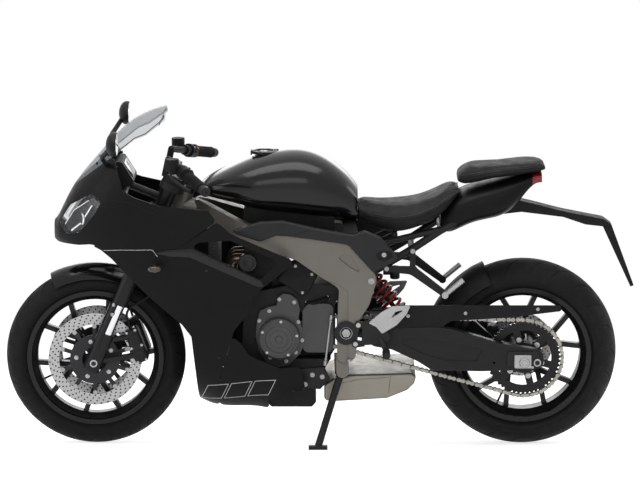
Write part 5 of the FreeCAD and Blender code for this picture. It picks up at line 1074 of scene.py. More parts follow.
    def tube(self, name: str, points: Sequence[Vector], radius: float, sides: int = 12) -> Piece:
        """Hose or wire along a smooth curve through its points.

        Args:
            name: name of the piece.
            points: places that the curve follows.
            radius: radius of the hose.
            sides: faces round the hose.

        Returns:
            The new piece.
        """
        self.clear()
        bpy.ops.curve.primitive_nurbs_path_add(location=(0, 0, 0))
        piece = bpy.context.object
        piece.name = name
        spline = piece.data.splines[0]
        extra = len(points) - len(spline.points)
        if extra > 0:
            spline.points.add(extra)
        else:
            piece.data.splines.remove(spline)
            spline = piece.data.splines.new("NURBS")
            spline.points.add(len(points) - 1)
        for control, point in zip(spline.points, points):
            control.co = (*point, 1.0)
        spline.order_u = 3
        spline.use_endpoint_u = True
        piece.data.resolution_u = 10
        piece.data.bevel_depth = radius
        piece.data.bevel_resolution = max(sides // 4 - 1, 1)
        piece.data.use_fill_caps = True
        bpy.ops.object.convert(target="MESH")
        return bpy.context.object

    def ring(
        self, name: str, centre: Vector, axis: Vector, radius: float, thickness: float, sides: int = 48
    ) -> Piece:
        """Round wire ring.

        Args:
            name: name of the piece.
            centre: middle of the ring.
            axis: direction through the ring.
            radius: distance of the wire from the middle.
            thickness: radius of the wire.
            sides: faces round the ring.

        Returns:
            The new piece.
        """
        self.clear()
        bpy.ops.mesh.primitive_torus_add(
            major_radius=radius,
            minor_radius=thickness,
            major_segments=sides,
            minor_segments=10,
            location=centre,
            rotation=axis.to_track_quat("Z", "Y").to_euler(),
        )
        piece = bpy.context.object
        piece.name = name
        bpy.ops.object.transform_apply(location=True, rotation=True, scale=True)
        return piece

    def bolt_model(self, size: float) -> Piece:
        """Cap screw standing on the origin along +z: washer, domed head and hexagon socket.

        Args:
            size: radius of the head.

        Returns:
            The new piece.
        """
        piece = self.rod("bolt_model", Vector((0, 0, 0)), Vector((0, 0, size * 0.25)), size * 1.25, 18)
        self.edit(piece)
        self.pick_top(piece)
        bpy.ops.mesh.inset(thickness=size * 0.25)
        bpy.ops.mesh.extrude_region_move(TRANSFORM_OT_translate={"value": (0, 0, size * 0.55)})
        bpy.ops.mesh.inset(thickness=size * 0.14, depth=size * 0.10)
        bpy.ops.mesh.inset(thickness=size * 0.34)
        bpy.ops.mesh.extrude_region_move(TRANSFORM_OT_translate={"value": (0, 0, -size * 0.45)})
        self.close()
        return piece

    def copies(self, name: str, model: Piece, places: Iterable[Matrix]) -> Piece:
        """Copies of a model, each with its own mesh, joined into one piece.

        Args:
            name: name of the joined piece.
            model: the piece to repeat, which is used up.
            places: where each copy goes.

        Returns:
            The joined piece.
        """
        made = []
        for place in places:
            twin = model.copy()
            twin.data = model.data.copy()
            bpy.context.scene.collection.objects.link(twin)
            twin.data.transform(place)
            if place.determinant() < 0:
                twin.data.flip_normals()
            made.append(twin)
        bpy.data.objects.remove(model)
        return self.joined(name, made)

    def joined(self, name: str, parts: Sequence[Piece]) -> Piece:
        """Several meshes joined into one piece.

        Args:
            name: name of the joined piece.
            parts: the meshes to join.

        Returns:
            The joined piece.
        """
        self.clear()
        for part in parts:
            part.select_set(True)
        bpy.context.view_layer.objects.active = parts[0]
        if len(parts) > 1:
            bpy.ops.object.join()
        parts[0].name = name
        return parts[0]

    def thicken(self, piece: Piece, thickness: float, offset: float = 1.0) -> None:
        """Gives an open surface a wall.

        Args:
            piece: the piece.
            thickness: thickness of the wall.
            offset: side that it grows to, one for outwards.
        """
        self.take(piece)
        wall = piece.modifiers.new("wall", "SOLIDIFY")
        wall.thickness = thickness
        wall.offset = offset
        bpy.ops.object.modifier_apply(modifier=wall.name)

    def finish(
        self, piece: Piece, slot: str, finish: Palette, smooth: float = 35.0, body: Body = Body.FRAME
    ) -> Piece:
        """Sets a piece in its place on the leaning machine and dresses it.

        Args:
            piece: the piece, in upright axes.
            slot: the record's material slot, not used.
            finish: the finish to wear.
            smooth: edges flatter than this look smooth, in degrees.
            body: the body that it rides on.

        Returns:
            The finished piece.
        """
        self.take(piece)
        bpy.ops.object.shade_smooth_by_angle(angle=math.radians(smooth))
        piece.data.transform(STANCE.matrix)
        piece.data.materials.clear()
        piece.data.materials.append(material(finish))
        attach(piece, body.value)
        LOG.info("%s rides on %s with %d faces", piece.name, body.value, len(piece.data.polygons))
        return piece

    def unite(
        self, name: str, parts: Sequence[Piece], slot: str, finish: Palette, smooth: float = 35.0,
        body: Body = Body.FRAME,
    ) -> None:
        """Joins parts into one piece and finishes it."""
        self.finish(self.joined(name, parts), slot, finish, smooth, body)

    def screws(
        self,
        name: str,
        size: float,
        places: Sequence[Place],
        slot: str = "bright_steel",
        finish: Palette = Palette.BRIGHT_STEEL,
        body: Body = Body.FRAME,
    ) -> None:
        """Sets cap screws at places along directions.

        Args:
            name: name of the piece.
            size: radius of a head.
            places: foot and direction of each screw.
            slot: the record's material slot.
            finish: the finish to wear.
            body: the body that they ride on.
        """
        spots = []
        for foot, way in places:
            turn = way.normalized().to_track_quat("Z", "Y").to_matrix().to_4x4()
            spots.append(Matrix.Translation(foot) @ turn)
        self.finish(self.copies(name, self.bolt_model(size), spots), slot, finish, body=body)


BENCH = Bench()
ACROSS = Vector((0, 1, 0))
# Lines of sight start this far from the middle plane.
SIGHT = 0.6


def evenly(line: Sequence[Pair], step: float) -> list[Pair]:
    """Places spaced evenly along a line, without its last corner.

    Args:
        line: shares of the corners.
        step: spacing in metres.

    Returns:
        Shares of the places.
    """
    spots = []
    for (along, up), (next_along, next_up) in zip(line, line[1:]):
        length = (STANCE.spot(next_along, next_up) - STANCE.spot(along, up)).length
        count = max(int(length / step), 1)
        for share in (index / count for index in range(count)):
            spots.append((along + (next_along - along) * share, up + (next_up - up) * share))
    return spots


class Surface:
    """Places on the outside of CAD nodes and pieces, in upright axes."""

    def __init__(self) -> None:
        """Starts with no search trees."""
        self.trees: dict[str, BVHTree] = {}

    def keep(self, name: str, mesh: bpy.types.Mesh, matrix: Matrix) -> None:
        """Stores the search tree of a mesh under a name."""
        corners = [matrix @ corner.co for corner in mesh.vertices]
        self.trees[name] = BVHTree.FromPolygons(corners, [tuple(face.vertices) for face in mesh.polygons])

    def tree(self, name: str) -> BVHTree:
        """Search tree of a CAD node or of a stored piece.

        Args:
            name: the node's or piece's name.

        Returns:
            The search tree.
        """
        if name not in self.trees:
            self.keep(name, frame["nodes"][name].data, STANCE.upright)
        return self.trees[name]

    def cast(self, names: Sequence[str], start: Vector, way: Vector, lift: float = 0.0) -> Place:
        """First place that a line meets, or else the nearest one.

        Args:
            names: CAD nodes or stored pieces to look at.
            start: where the line starts.
            way: direction of the line.
            lift: metres above the surface.

        Returns:
            The place and the outward direction there.
        """
        best = None
        for name in names:
            spot, normal, _, distance = self.tree(name).ray_cast(start, way)
            if spot is not None and (best is None or distance < best[2]):
                best = (spot, normal, distance)
        if best is None:
            for name in names:
                spot, normal, _, distance = self.tree(name).find_nearest(start + way * 0.4)
                if best is None or distance < best[2]:
                    best = (spot, normal, distance)
        spot, normal, _ = best
        if normal.dot(way) > 0:
            normal = -normal
        return spot + normal * lift, normal

    def side(self, names: Sequence[str], along: float, up: float, sign: int = -1, lift: float = 0.0) -> Place:
        """Place seen from the left or from the right.

        Args:
            names: CAD nodes or stored pieces to look at.
            along: share of the wheelbase behind the front axle.
            up: share of the height above the ground.
            sign: minus one from the left, one from the right.
            lift: metres above the surface.

        Returns:
            The place and the outward direction there.
        """
        return self.cast(names, STANCE.spot(along, up, sign * SIGHT), Vector((0, -sign, 0)), lift)

    def both(self, names: Sequence[str], pairs: Sequence[Pair], lift: float = 0.0) -> list[Place]:
        """Places seen from the left, then the same seen from the right."""
        return [self.side(names, along, up, sign, lift) for sign in SIDES for along, up in pairs]

    def seam(
        self,
        name: str,
        names: Sequence[str],
        line: Sequence[Pair],
        radius: float,
        sign: int = -1,
        lift: float = 0.0,
        step: float = 0.012,
    ) -> Piece:
        """Thin cord laid along a line on a side.

        Args:
            name: name of the piece.
            names: CAD nodes or stored pieces that it lies on.
            line: shares of the corners.
            radius: radius of the cord.
            sign: side of the machine.
            lift: metres above the surface.
            step: spacing of the laid points.

        Returns:
            The new piece.
        """
        spots = evenly(line, step) + [line[-1]]
        return BENCH.tube(name, [self.side(names, *spot, sign, lift)[0] for spot in spots], radius, 8)

    def seams(
        self,
        name: str,
        names: Sequence[str],
        lines: Sequence[Sequence[Pair]],
        radius: float,
        lift: float = 0.0,
        step: float = 0.012,
    ) -> list[Piece]:
        """The same cords along lines on both sides.

        Args:
            name: name of the pieces.
            names: CAD nodes or stored pieces that they lie on.
            lines: shares of each line's corners.
            radius: radius of the cords.
            lift: metres above the surface.
            step: spacing of the laid points.

        Returns:
            The new pieces.
        """
        return [self.seam(name, names, line, radius, sign, lift, step) for sign in SIDES for line in lines]

    def patch(
        self,
        name: str,
        names: Sequence[str],
        outline: Sequence[Pair],
        thickness: float,
        sign: int = -1,
        sink: float = 0.001,
        cell: float = 0.014,
        edge: float = 0.0006,
    ) -> Piece:
        """Thin panel that follows the surface inside an outline.

        Args:
            name: name of the piece.
            names: CAD nodes or stored pieces that it lies on.
            outline: shares of the corners.
            thickness: how far the panel stands proud.
            sign: side of the machine.
            sink: how far its back lies under the surface.
            cell: size of its faces.
            edge: width of the rounding along its rim.

        Returns:
            The new piece.
        """
        corners = [STANCE.spot(along, up, sign * 0.5) for along, up in outline]
        piece = BENCH.sheet(name, corners)
        BENCH.edit(piece)
        for axis, way in ((0, Vector((1, 0, 0))), (2, Vector((0, 0, 1)))):
            low = min(corner[axis] for corner in corners)
            high = max(corner[axis] for corner in corners)
            for index in range(1, int((high - low) / cell) + 1):
                bpy.ops.mesh.select_all(action="SELECT")
                bpy.ops.mesh.bisect(plane_co=way * (low + index * cell), plane_no=way)
        BENCH.close()
        for corner in piece.data.vertices:
            start = Vector((corner.co.x, sign * SIGHT, corner.co.z))
            corner.co, _ = self.cast(names, start, Vector((0, -sign, 0)), -sink)
        if sum(face.normal.y * face.area for face in piece.data.polygons) * sign < 0:
            piece.data.flip_normals()
        BENCH.thicken(piece, thickness + sink)
        if edge:
            BENCH.round_edges(piece, edge)
        return piece


SURFACE = Surface()


def around(axle: Vector, radius: float, plane: float, count: int, first: float = 0.0) -> list[Vector]:
    """Points evenly spaced on a circle about an axle.

    Args:
        axle: middle of the wheel in upright axes.
        radius: radius of the circle.
        plane: distance of the circle from the middle plane.
        count: how many points.
        first: turn of the first point, in degrees.

    Returns:
        The points.
    """
    turns = [math.radians(first + index * 360 / count) for index in range(count)]
    return [axle + Vector((math.cos(turn) * radius, plane, math.sin(turn) * radius)) for turn in turns]


@dataclass(frozen=True)
class Groove:
    """Tread groove that repeats round a tyre.

    Its start and end are shares of the tyre's half width, its lean and offset are shares of the pitch
    round the tyre, and its width is in metres.
    """

    start: float
    end: float
    lean: float
    offset: float
    width: float


GROOVES = (Groove(0.13, 0.74, 1.15, 0.0, 0.0052), Groove(0.48, 0.92, 0.70, 0.5, 0.0044))


@dataclass
class Wheels:
    """Both wheels with their discs, sprocket and chain."""

    front_disc_plane: float = 0.068
    rear_disc_plane: float = 0.096
    chain_plane: float = 0.108
    chain_pitch: float = 0.015875
    front_pitch: float = 0.0407
    rear_pitch: float = 0.1289
    link_round: float = 0.0067
    link_waist: float = 0.0040
    button_circle: float = 0.113
    carrier_circle: float = 0.062
    rear_carrier_circle: float = 0.040
    disc_half: float = 0.003
    loop_length: float = 0.0
    groove_depth: float = 0.0032
    tread_share: float = 0.80
    inner_share: float = 0.84
    tyre_steps: int = 960
    front_sprocket: Pair = (0.510, 0.364)
    button_radius: float = 0.0075

    def build(self) -> None:
        """Adds the wheels' small parts, the chain and the tyres."""
        self.disc_buttons()
        self.carrier_bolts()
        self.sprocket_bolts()
        self.valves()
        self.chain_links()
        self.axle_blocks()
        self.tyres()

    def disc_buttons(self) -> None:
        """Flat round drive buttons where each disc band meets its carrier."""
        radius = self.button_radius
        profile = [
            (0.0, 0.0), (radius, 0.0), (radius, 0.0007), (radius - 0.0006, 0.0012), (radius * 0.45, 0.0012),
            (radius * 0.35, 0.0006), (0.0, 0.0006),
        ]
        places = []
        for side in SIDES:
            plane = side * (self.front_disc_plane + self.disc_half)
            for point in around(STANCE.front_axle(), self.button_circle, plane, 10, 18):
                places.append(BENCH.turned("button", profile, point, ACROSS * side, 20))
        BENCH.unite("front_disc_buttons", places, "bright_steel", Palette.SILVER_CAST, body=Body.FRONT_WHEEL)

    def carrier_bolts(self) -> None:
        """Screws that hold the discs on the hubs."""
        places = []
        for side in SIDES:
            plane = side * (self.front_disc_plane + self.disc_half)
            for point in around(STANCE.front_axle(), self.carrier_circle, plane, 5, 30):
                places.append((point, ACROSS * side))
        BENCH.screws("front_carrier_bolts", 0.006, places, body=Body.FRONT_WHEEL)
        plane = self.rear_disc_plane + self.disc_half
        rear = [(point, ACROSS) for point in around(STANCE.rear_axle(), self.rear_carrier_circle, plane, 5)]
        BENCH.screws("rear_carrier_bolts", 0.006, rear, body=Body.REAR_WHEEL)

    def sprocket_bolts(self) -> None:
        """Nuts round the sprocket's carrier."""
        rear = around(STANCE.rear_axle(), self.carrier_circle, -self.chain_plane - 0.0035, 6, 45)
        BENCH.screws("sprocket_nuts", 0.0075, [(point, -ACROSS) for point in rear], body=Body.REAR_WHEEL)

    def tyres(self) -> None:
        """Both tyres with cut tread grooves."""
        for node, axle, body, finish, radius, half_width, count in (
            ("front_tyre", STANCE.front_axle(), Body.FRONT_WHEEL, Palette.FRONT_TYRE, 0.2999, 0.060, 26),
            ("rear_tyre", STANCE.rear_axle(), Body.REAR_WHEEL, Palette.REAR_TYRE, 0.3149, 0.090, 22),
        ):
            piece = self.tyre(node, axle, radius, half_width, count)
            BENCH.finish(piece, "tyre", finish, 60.0, body=body)
            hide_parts(node)

    def tyre(self, node: str, axle: Vector, radius: float, half_width: float, count: int) -> Piece:
        """Tyre turned from the CAD tyre's section, with grooves pressed into its tread.

        Args:
            node: the CAD tyre.
            axle: middle of the wheel in upright axes.
            radius: outer radius.
            half_width: half of the tyre's width.
            count: main grooves on each side.

        Returns:
            The new tyre.
        """
        deep = min(half_width, 0.055)
        middle = Vector((0, 0, radius - deep))
        outer = []
        for index in range(-24, 25):
            turn = math.radians(index * 118 / 24)
            way = Vector((0, math.sin(turn), math.cos(turn)))
            spot, _ = SURFACE.cast([node], axle + middle + way * 0.25, -way)
            outer.append(((spot - axle).z, (spot - axle).y))
        share = self.inner_share
        inner = [
            (radius - deep + (out - radius + deep) * share, across * share) for out, across in outer[::-4]
        ]
        piece = BENCH.turned(node + "_tread", outer + inner + outer[:1], axle, ACROSS, self.tyre_steps)
        moves = []
        for corner in piece.data.vertices:
            arm = corner.co - axle
            out = math.hypot(arm.x, arm.z)
            side = arm.y / half_width
            if out > radius * self.tread_share:
                depth = self.groove(math.atan2(arm.z, arm.x), side, count, radius)
                moves.append((corner, corner.normal * depth))
        for corner, move in moves:
            corner.co -= move
        return piece

    def groove(self, turn: float, side: float, count: int, radius: float) -> float:
        """Depth of the tread's grooves at one place.

        Args:
            turn: angle about the axle.
            side: share of the half width, negative on the left.
            count: main grooves on each side.
            radius: outer radius of the tyre.

        Returns:
            Depth under the tread in metres.
        """
        pitch = 2 * math.pi / count
        share = abs(side)
        if share < 0.10 or share > 0.93:
            return 0.0
        deepest = 0.0
        for cut in GROOVES:
            if not cut.start < share < cut.end:
                continue
            line = (cut.offset + cut.lean * (share - cut.start) ** 0.8 + (0.5 if side < 0 else 0.0)) * pitch
            gap = abs((turn - line + pitch / 2) % pitch - pitch / 2) * radius
            taper = min((share - cut.start) / 0.10, (cut.end - share) / 0.10, 1.0)
            half = cut.width / 2 * (0.35 + 0.65 * taper)
            inside = min(max((half * 1.25 - gap) / (half * 0.7), 0.0), 1.0)
            deepest = max(deepest, inside * self.groove_depth * (0.4 + 0.6 * taper))
        return deepest

    def chain_loop(self) -> Callable[[float], Vector]:
        """Loop of the chain round both sprockets.

        Returns:
            A function from the length along the loop to the point there.
        """
        front = STANCE.spot(*self.front_sprocket, -self.chain_plane)
        rear = STANCE.rear_axle() - ACROSS * self.chain_plane
        way = (rear - front).normalized()
        rise = Vector((-way.z, 0, way.x))
        lean = (self.rear_pitch - self.front_pitch) / (rear - front).length
        turn = math.asin(lean)
        run = (rear - front).length * math.cos(turn)
        rear_arc = self.rear_pitch * (math.pi + 2 * turn)
        front_arc = self.front_pitch * (math.pi - 2 * turn)

        def point(length: float) -> Vector:
            """Point at a length along the loop.

            Args:
                length: way along the loop from the top of the front sprocket.

            Returns:
                The point in upright axes.
            """
            length %= run * 2 + rear_arc + front_arc
            upper = rise * math.cos(turn) - way * math.sin(turn)
            lower = -rise * math.cos(turn) - way * math.sin(turn)
            if length < run:
                tight = rear - front + upper * (self.rear_pitch - self.front_pitch)
                return front + upper * self.front_pitch + tight * (length / run)
            length -= run
            if length < rear_arc:
                return rear + Matrix.Rotation(length / self.rear_pitch, 3, ACROSS) @ upper * self.rear_pitch
            length -= rear_arc
            if length < run:
                slack = front - rear + lower * (self.front_pitch - self.rear_pitch)
                return rear + lower * self.rear_pitch + slack * (length / run)
            length -= run
            return front + Matrix.Rotation(length / self.front_pitch, 3, ACROSS) @ lower * self.front_pitch

        self.loop_length = run * 2 + rear_arc + front_arc
        return point

    def chain_link(self, inner: bool, pitch: float) -> Piece:
        """One link from its first pin on the origin along x.

        Args:
            inner: whether it is a roller link.
            pitch: distance of its pins.

        Returns:
            The new piece.
        """
        turns = [math.radians(turn) for turn in range(-90, 91, 45)]
        outline = [
            Vector((pitch + math.cos(turn) * self.link_round, 0, math.sin(turn) * self.link_round))
            for turn in turns
        ]
        outline.append(Vector((pitch / 2, 0, self.link_waist)))
        outline += [
            Vector((-math.cos(turn) * self.link_round, 0, math.sin(turn) * self.link_round))
            for turn in reversed(turns)
        ]
        outline.append(Vector((pitch / 2, 0, -self.link_waist)))
        near, far = (0.0046, 0.0062) if inner else (0.0066, 0.0082)
        parts = []
        for sign in SIDES:
            shifted = [point + ACROSS * sign * near for point in outline]
            parts.append(BENCH.plate("side_plate", shifted, ACROSS * sign * (far - near), 0.0))
        reach, radius = (0.0045, 0.0050) if inner else (0.0092, 0.0027)
        for place in (0.0, pitch):
            pin = Vector((place, 0, 0))
            parts.append(BENCH.rod("pin", pin - ACROSS * reach, pin + ACROSS * reach, radius, 8))
        return BENCH.joined("link", parts)

    def chain_links(self) -> None:
        """Roller chain with its inner and outer links."""
        point = self.chain_loop()
        count = 2 * round(self.loop_length / self.chain_pitch / 2)
        pitch = self.loop_length / count
        for inner, name, finish in (
            (True, "chain_roller_links", Palette.ROLLER_STEEL),
            (False, "chain_pin_links", Palette.CHAIN_STEEL),
        ):
            places = []
            for index in range(0 if inner else 1, count, 2):
                start, end = point(index * pitch), point((index + 1) * pitch)
                along = (end - start).normalized()
                turn = Matrix((along, ACROSS, along.cross(ACROSS))).transposed().to_4x4()
                places.append(Matrix.Translation(start) @ turn)
            piece = BENCH.copies(name, self.chain_link(inner, pitch), places)
            BENCH.finish(piece, "chain_steel", finish)
            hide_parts("chain")

    def axle_blocks(self) -> None:
        """Adjuster slots, blocks and nuts at both ends of the rear axle."""
        frames, blocks, nuts = [], [], []
        for sign in SIDES:
            outline = [(0.960, 0.263), (0.960, 0.306), (1.032, 0.306), (1.036, 0.285), (1.032, 0.263)]
            corners = [STANCE.spot(*pair, sign * 0.1655) for pair in outline]
            frames.append(BENCH.plate("slot_frame", corners, ACROSS * sign * 0.007, 0.0015))
            outline = [(0.9763, 0.2603), (0.9763, 0.2977), (1.0157, 0.2977), (1.0157, 0.2603)]
            corners = [STANCE.spot(*pair, sign * 0.171) for pair in outline]
            blocks.append(BENCH.plate("axle_block", corners, ACROSS * sign * 0.012, 0.0025, 3))
            foot = STANCE.rear_axle() + ACROSS * sign * 0.182
            profile = mm((0, 0), (15.5, 0), (15.5, 3), (14.5, 4), (10, 4), (9, 2), (0, 2))
            blocks.append(BENCH.turned("axle_end", profile, foot, ACROSS * sign))
            foot = STANCE.spot(1.0296, 0.2747, sign * 0.171)
            profile = mm((8, 0), (12.5, 0), (12.5, 7), (11.5, 8), (8, 8), (8, 0))
            blocks.append(BENCH.turned("adjuster_ring", profile, foot, ACROSS * sign))
            nuts.append(BENCH.rod("adjuster_nut", foot, foot + ACROSS * sign * 0.010, 0.0078, 6, 0.0008))
        BENCH.unite("axle_slot_frames", frames, "arm_black", Palette.DARK_CAST)
        BENCH.unite("axle_blocks", blocks, "bright_steel", Palette.SILVER_CAST)
        BENCH.unite("adjuster_nuts", nuts, "bright_steel", Palette.DARK_CAST)

    def valves(self) -> None:
        """Air valve on each rim."""
        for name, axle, body, turn in (
            ("front_valve", STANCE.front_axle(), Body.FRONT_WHEEL, 205.0),
            ("rear_valve", STANCE.rear_axle(), Body.REAR_WHEEL, 246.0),
        ):
            way = Vector((math.cos(math.radians(turn)), 0, math.sin(math.radians(turn))))
            stem = BENCH.rod(name + "_stem", axle + way * 0.193, axle + way * 0.162, 0.0035, 14, 0.0006)
            cap = BENCH.rod(name + "_cap", axle + way * 0.164, axle + way * 0.150, 0.0048, 14, 0.0012)
            BENCH.unite(name, [stem, cap], "bright_steel", Palette.MOULDING, body=body)


@dataclass
class Fork:
    """Fork, bars, controls, mudguard and calipers."""

    leg_plane: float = 0.105
    clamp_plane: float = 0.088
    sight: float = 0.25
    ribs: int = 21

    def build(self) -> None:
        """Adds the fork's small parts."""
        self.leg_caps()
        self.axle_caps()
        self.caliper_parts()
        self.grips()
        self.switch_parts()
        self.clamp_bolts()
        self.mudguard_parts()

    def along(self, distance: float, across: float, behind: float = 0.0) -> Vector:
        """Point measured up the leg from the axle.

        Args:
            distance: metres up the leg.
            across: metres to the right.
            behind: metres behind the leg's line.

        Returns:
            The point in upright axes.
        """
        _, way = STANCE.steering()
        back = Vector((way.z, 0, -way.x))
        return STANCE.front_axle() + way * distance + back * behind + ACROSS * across

    def leg_caps(self) -> None:
        """Hexagon caps and adjusters on the fork tubes."""
        parts = []
        for side in SIDES:
            across = side * self.leg_plane
            parts.append(
                BENCH.rod("cap", self.along(0.682, across), self.along(0.690, across), 0.022, 6, 0.0012)
            )
            parts.append(
                BENCH.rod("adjuster", self.along(0.690, across), self.along(0.700, across), 0.009, 20, 0.001)
            )
        BENCH.unite("fork_caps", parts, "bright_steel", Palette.SILVER_CAST, body=Body.FORK)

    def axle_caps(self) -> None:
        """Pinch bolts at the fork feet."""
        places = []
        for side in SIDES:
            for distance in (-0.018, 0.020):
                foot = self.along(distance, side * self.leg_plane, 0.026)
                places.append((foot, self.along(distance, side * self.leg_plane, 1.0) - foot))
        BENCH.screws("fork_pinch_bolts", 0.005, places, body=Body.FORK)

    def caliper_parts(self) -> None:
        """Piston caps, bridge bolts, bleed nipples and hose fittings on the front calipers."""
        long_way = Vector((-0.346, 0, 0.938))
        wide_way = Vector((0.938, 0, 0.346))
        caps, places, fittings = [], [], []
        for sign in SIDES:
            centre = STANCE.front_axle() + Vector((0.1406, sign * 0.1003, 0.0518))
            out = ACROSS * sign
            for reach in (-0.030, 0.026):
                foot = centre + long_way * reach
                profile = mm(
                    (0, 0), (16.5, 0), (16.5, 2), (15.5, 3), (12.5, 3), (11.5, 1.8), (4, 1.8), (3.5, 3),
                    (0, 3),
                )
                caps.append(BENCH.turned("piston_cap", profile, foot, out, 36))
            for reach, across in (
                (-0.053, 0.015), (-0.053, -0.015), (0.053, 0.015), (0.053, -0.015), (-0.002, 0.018),
                (-0.002, -0.018),
            ):
                places.append((centre + long_way * reach + wide_way * across, out))
            top = centre + long_way * 0.0595 - out * 0.022
            fittings.append(BENCH.rod("nipple", top, top + long_way * 0.009, 0.0028, 12, 0.0005))
            fittings.append(BENCH.rod("nipple_hexagon", top, top + long_way * 0.0035, 0.0046, 6, 0.0004))
            banjo = centre + long_way * 0.058 + wide_way * 0.012 - out * 0.020
            fittings.append(
                BENCH.rod("banjo", banjo - long_way * 0.001, banjo + long_way * 0.006, 0.0068, 20, 0.0008)
            )
        BENCH.unite("caliper_caps", caps, "caliper_grey", Palette.DARK_CAST, body=Body.FORK)
        BENCH.screws("caliper_bolts", 0.0036, places, body=Body.FORK)
        BENCH.unite("caliper_fittings", fittings, "bright_steel", Palette.BRIGHT_STEEL, body=Body.FORK)

    def bar_line(self, sign: int) -> Place:
        """Outer end of a grip and the direction inwards along it.

        Args:
            sign: side of the machine.

        Returns:
            The end and the unit direction.
        """
        end = STANCE.spot(0.263, 0.811, sign * 0.358)
        root = Vector((end.x - 0.122, sign * 0.105, end.z + 0.054))
        return end, (root - end).normalized()

    def grips(self) -> None:
        """Ribbed rubber sleeves with flanges, and turned weights at the bar ends."""
        sleeves, weights = [], []
        for sign in SIDES:
            end, inward = self.bar_line(sign)
            profile = mm((17.2, 2), (19, 2.5), (19, 6))
            for rib in range(self.ribs):
                low = 0.009 + rib * 0.0051
                profile += [
                    (0.0176, low - 0.0012), (0.0185, low), (0.0185, low + 0.0018), (0.0176, low + 0.0028)
                ]
            profile += [
                (0.0180, 0.1185), (0.0225, 0.1200), (0.0225, 0.1235), (0.0172, 0.1245), (0.0172, 0.002)
            ]
            sleeves.append(BENCH.turned("grip", profile, end, inward, 36))
            weight = mm(
                (0, 0), (15.8, 0), (16.6, 1.5), (16.6, 10), (15.2, 12.5), (16, 15), (16, 26), (13, 30),
                (6, 30.3), (5, 27), (0, 27),
            )
            weights.append(BENCH.turned("bar_weight", weight, end - inward * 0.0005, -inward, 40))
        BENCH.unite("grip_sleeves", sleeves, "bar_black", Palette.GRIP_RUBBER, 25.0, body=Body.FORK)
        BENCH.unite("bar_weights", weights, "bar_black", Palette.DARK_CAST, 30.0, body=Body.FORK)

    def switch_parts(self) -> None:
        """Rocker and push switches on both switch housings."""
        red, dark, pale = [], [], []
        for sign in SIDES:
            end, inward = self.bar_line(sign)
            back = inward.cross(Vector((0, 0, 1))).normalized() * sign
            if back.x < 0:
                back = -back
            up = back.cross(inward).normalized()
            if up.z < 0:
                up = -up
            for reach, turn, store, size in (
                (0.137, 25.0, red if sign > 0 else dark, 0.0055), (0.150, -5.0, dark, 0.0060),
                (0.146, 50.0, dark, 0.0045), (0.158, 30.0, pale, 0.0028),
            ):
                way = (back * math.cos(math.radians(turn)) + up * math.sin(math.radians(turn))).normalized()
                foot = end + inward * reach + way * 0.0215
                profile = [
                    (0.0, 0.0), (size, 0.0), (size, 0.0028), (size - 0.001, 0.0042), (size * 0.5, 0.0046),
                    (0.0, 0.0040),
                ]
                store.append(BENCH.turned("switch", profile, foot, way, 20))
        left, _ = self.bar_line(-1)
        low, high = left + Vector((-0.070, 0.142, 0.040)), left + Vector((-0.061, 0.142, 0.047))
        red.append(BENCH.rod("marker_switch", low, high, 0.0062, 18, 0.001))
        BENCH.unite("red_switches", red, "control_black", Palette.SWITCH_RED, body=Body.FORK)
        BENCH.unite("dark_switches", dark, "control_black", Palette.MOULDING, body=Body.FORK)
        BENCH.unite("switch_pins", pale, "control_black", Palette.BRIGHT_STEEL, body=Body.FORK)

    def clamp_bolts(self) -> None:
        """Pinch bolts on the triple clamps and bar clamps, with the stem nut."""
        places = []
        back = (self.along(0, 0, 1.0) - self.along(0, 0, 0.0)).normalized()
        for sign in SIDES:
            for distance in (0.452, 0.664):
                start = self.along(distance, sign * self.clamp_plane, -self.sight)
                places.append(SURFACE.cast(["triple_clamps"], start, back))
        BENCH.screws("clamp_bolts", 0.0045, places, body=Body.FORK)
        _, steer = STANCE.steering()
        foot, _ = SURFACE.cast(["triple_clamps"], self.along(1.0, 0.0, 0.030), -steer)
        profile = mm((0, 0), (16.5, 0), (16.5, 4), (15, 5.5), (8, 5.5), (7.5, 1), (0, 1))
        nut = BENCH.turned("stem_nut", profile, foot - steer * 0.0005, steer, 6)
        BENCH.finish(nut, "bright_steel", Palette.SILVER_CAST, 20.0, body=Body.FORK)

    def mudguard_parts(self) -> None:
        """Screws along the front mudguard's stays."""
        places = SURFACE.both(["front_mudguard"], ((0.020, 0.452), (0.064, 0.398)))
        BENCH.screws("mudguard_screws", 0.0048, places, body=Body.FORK)


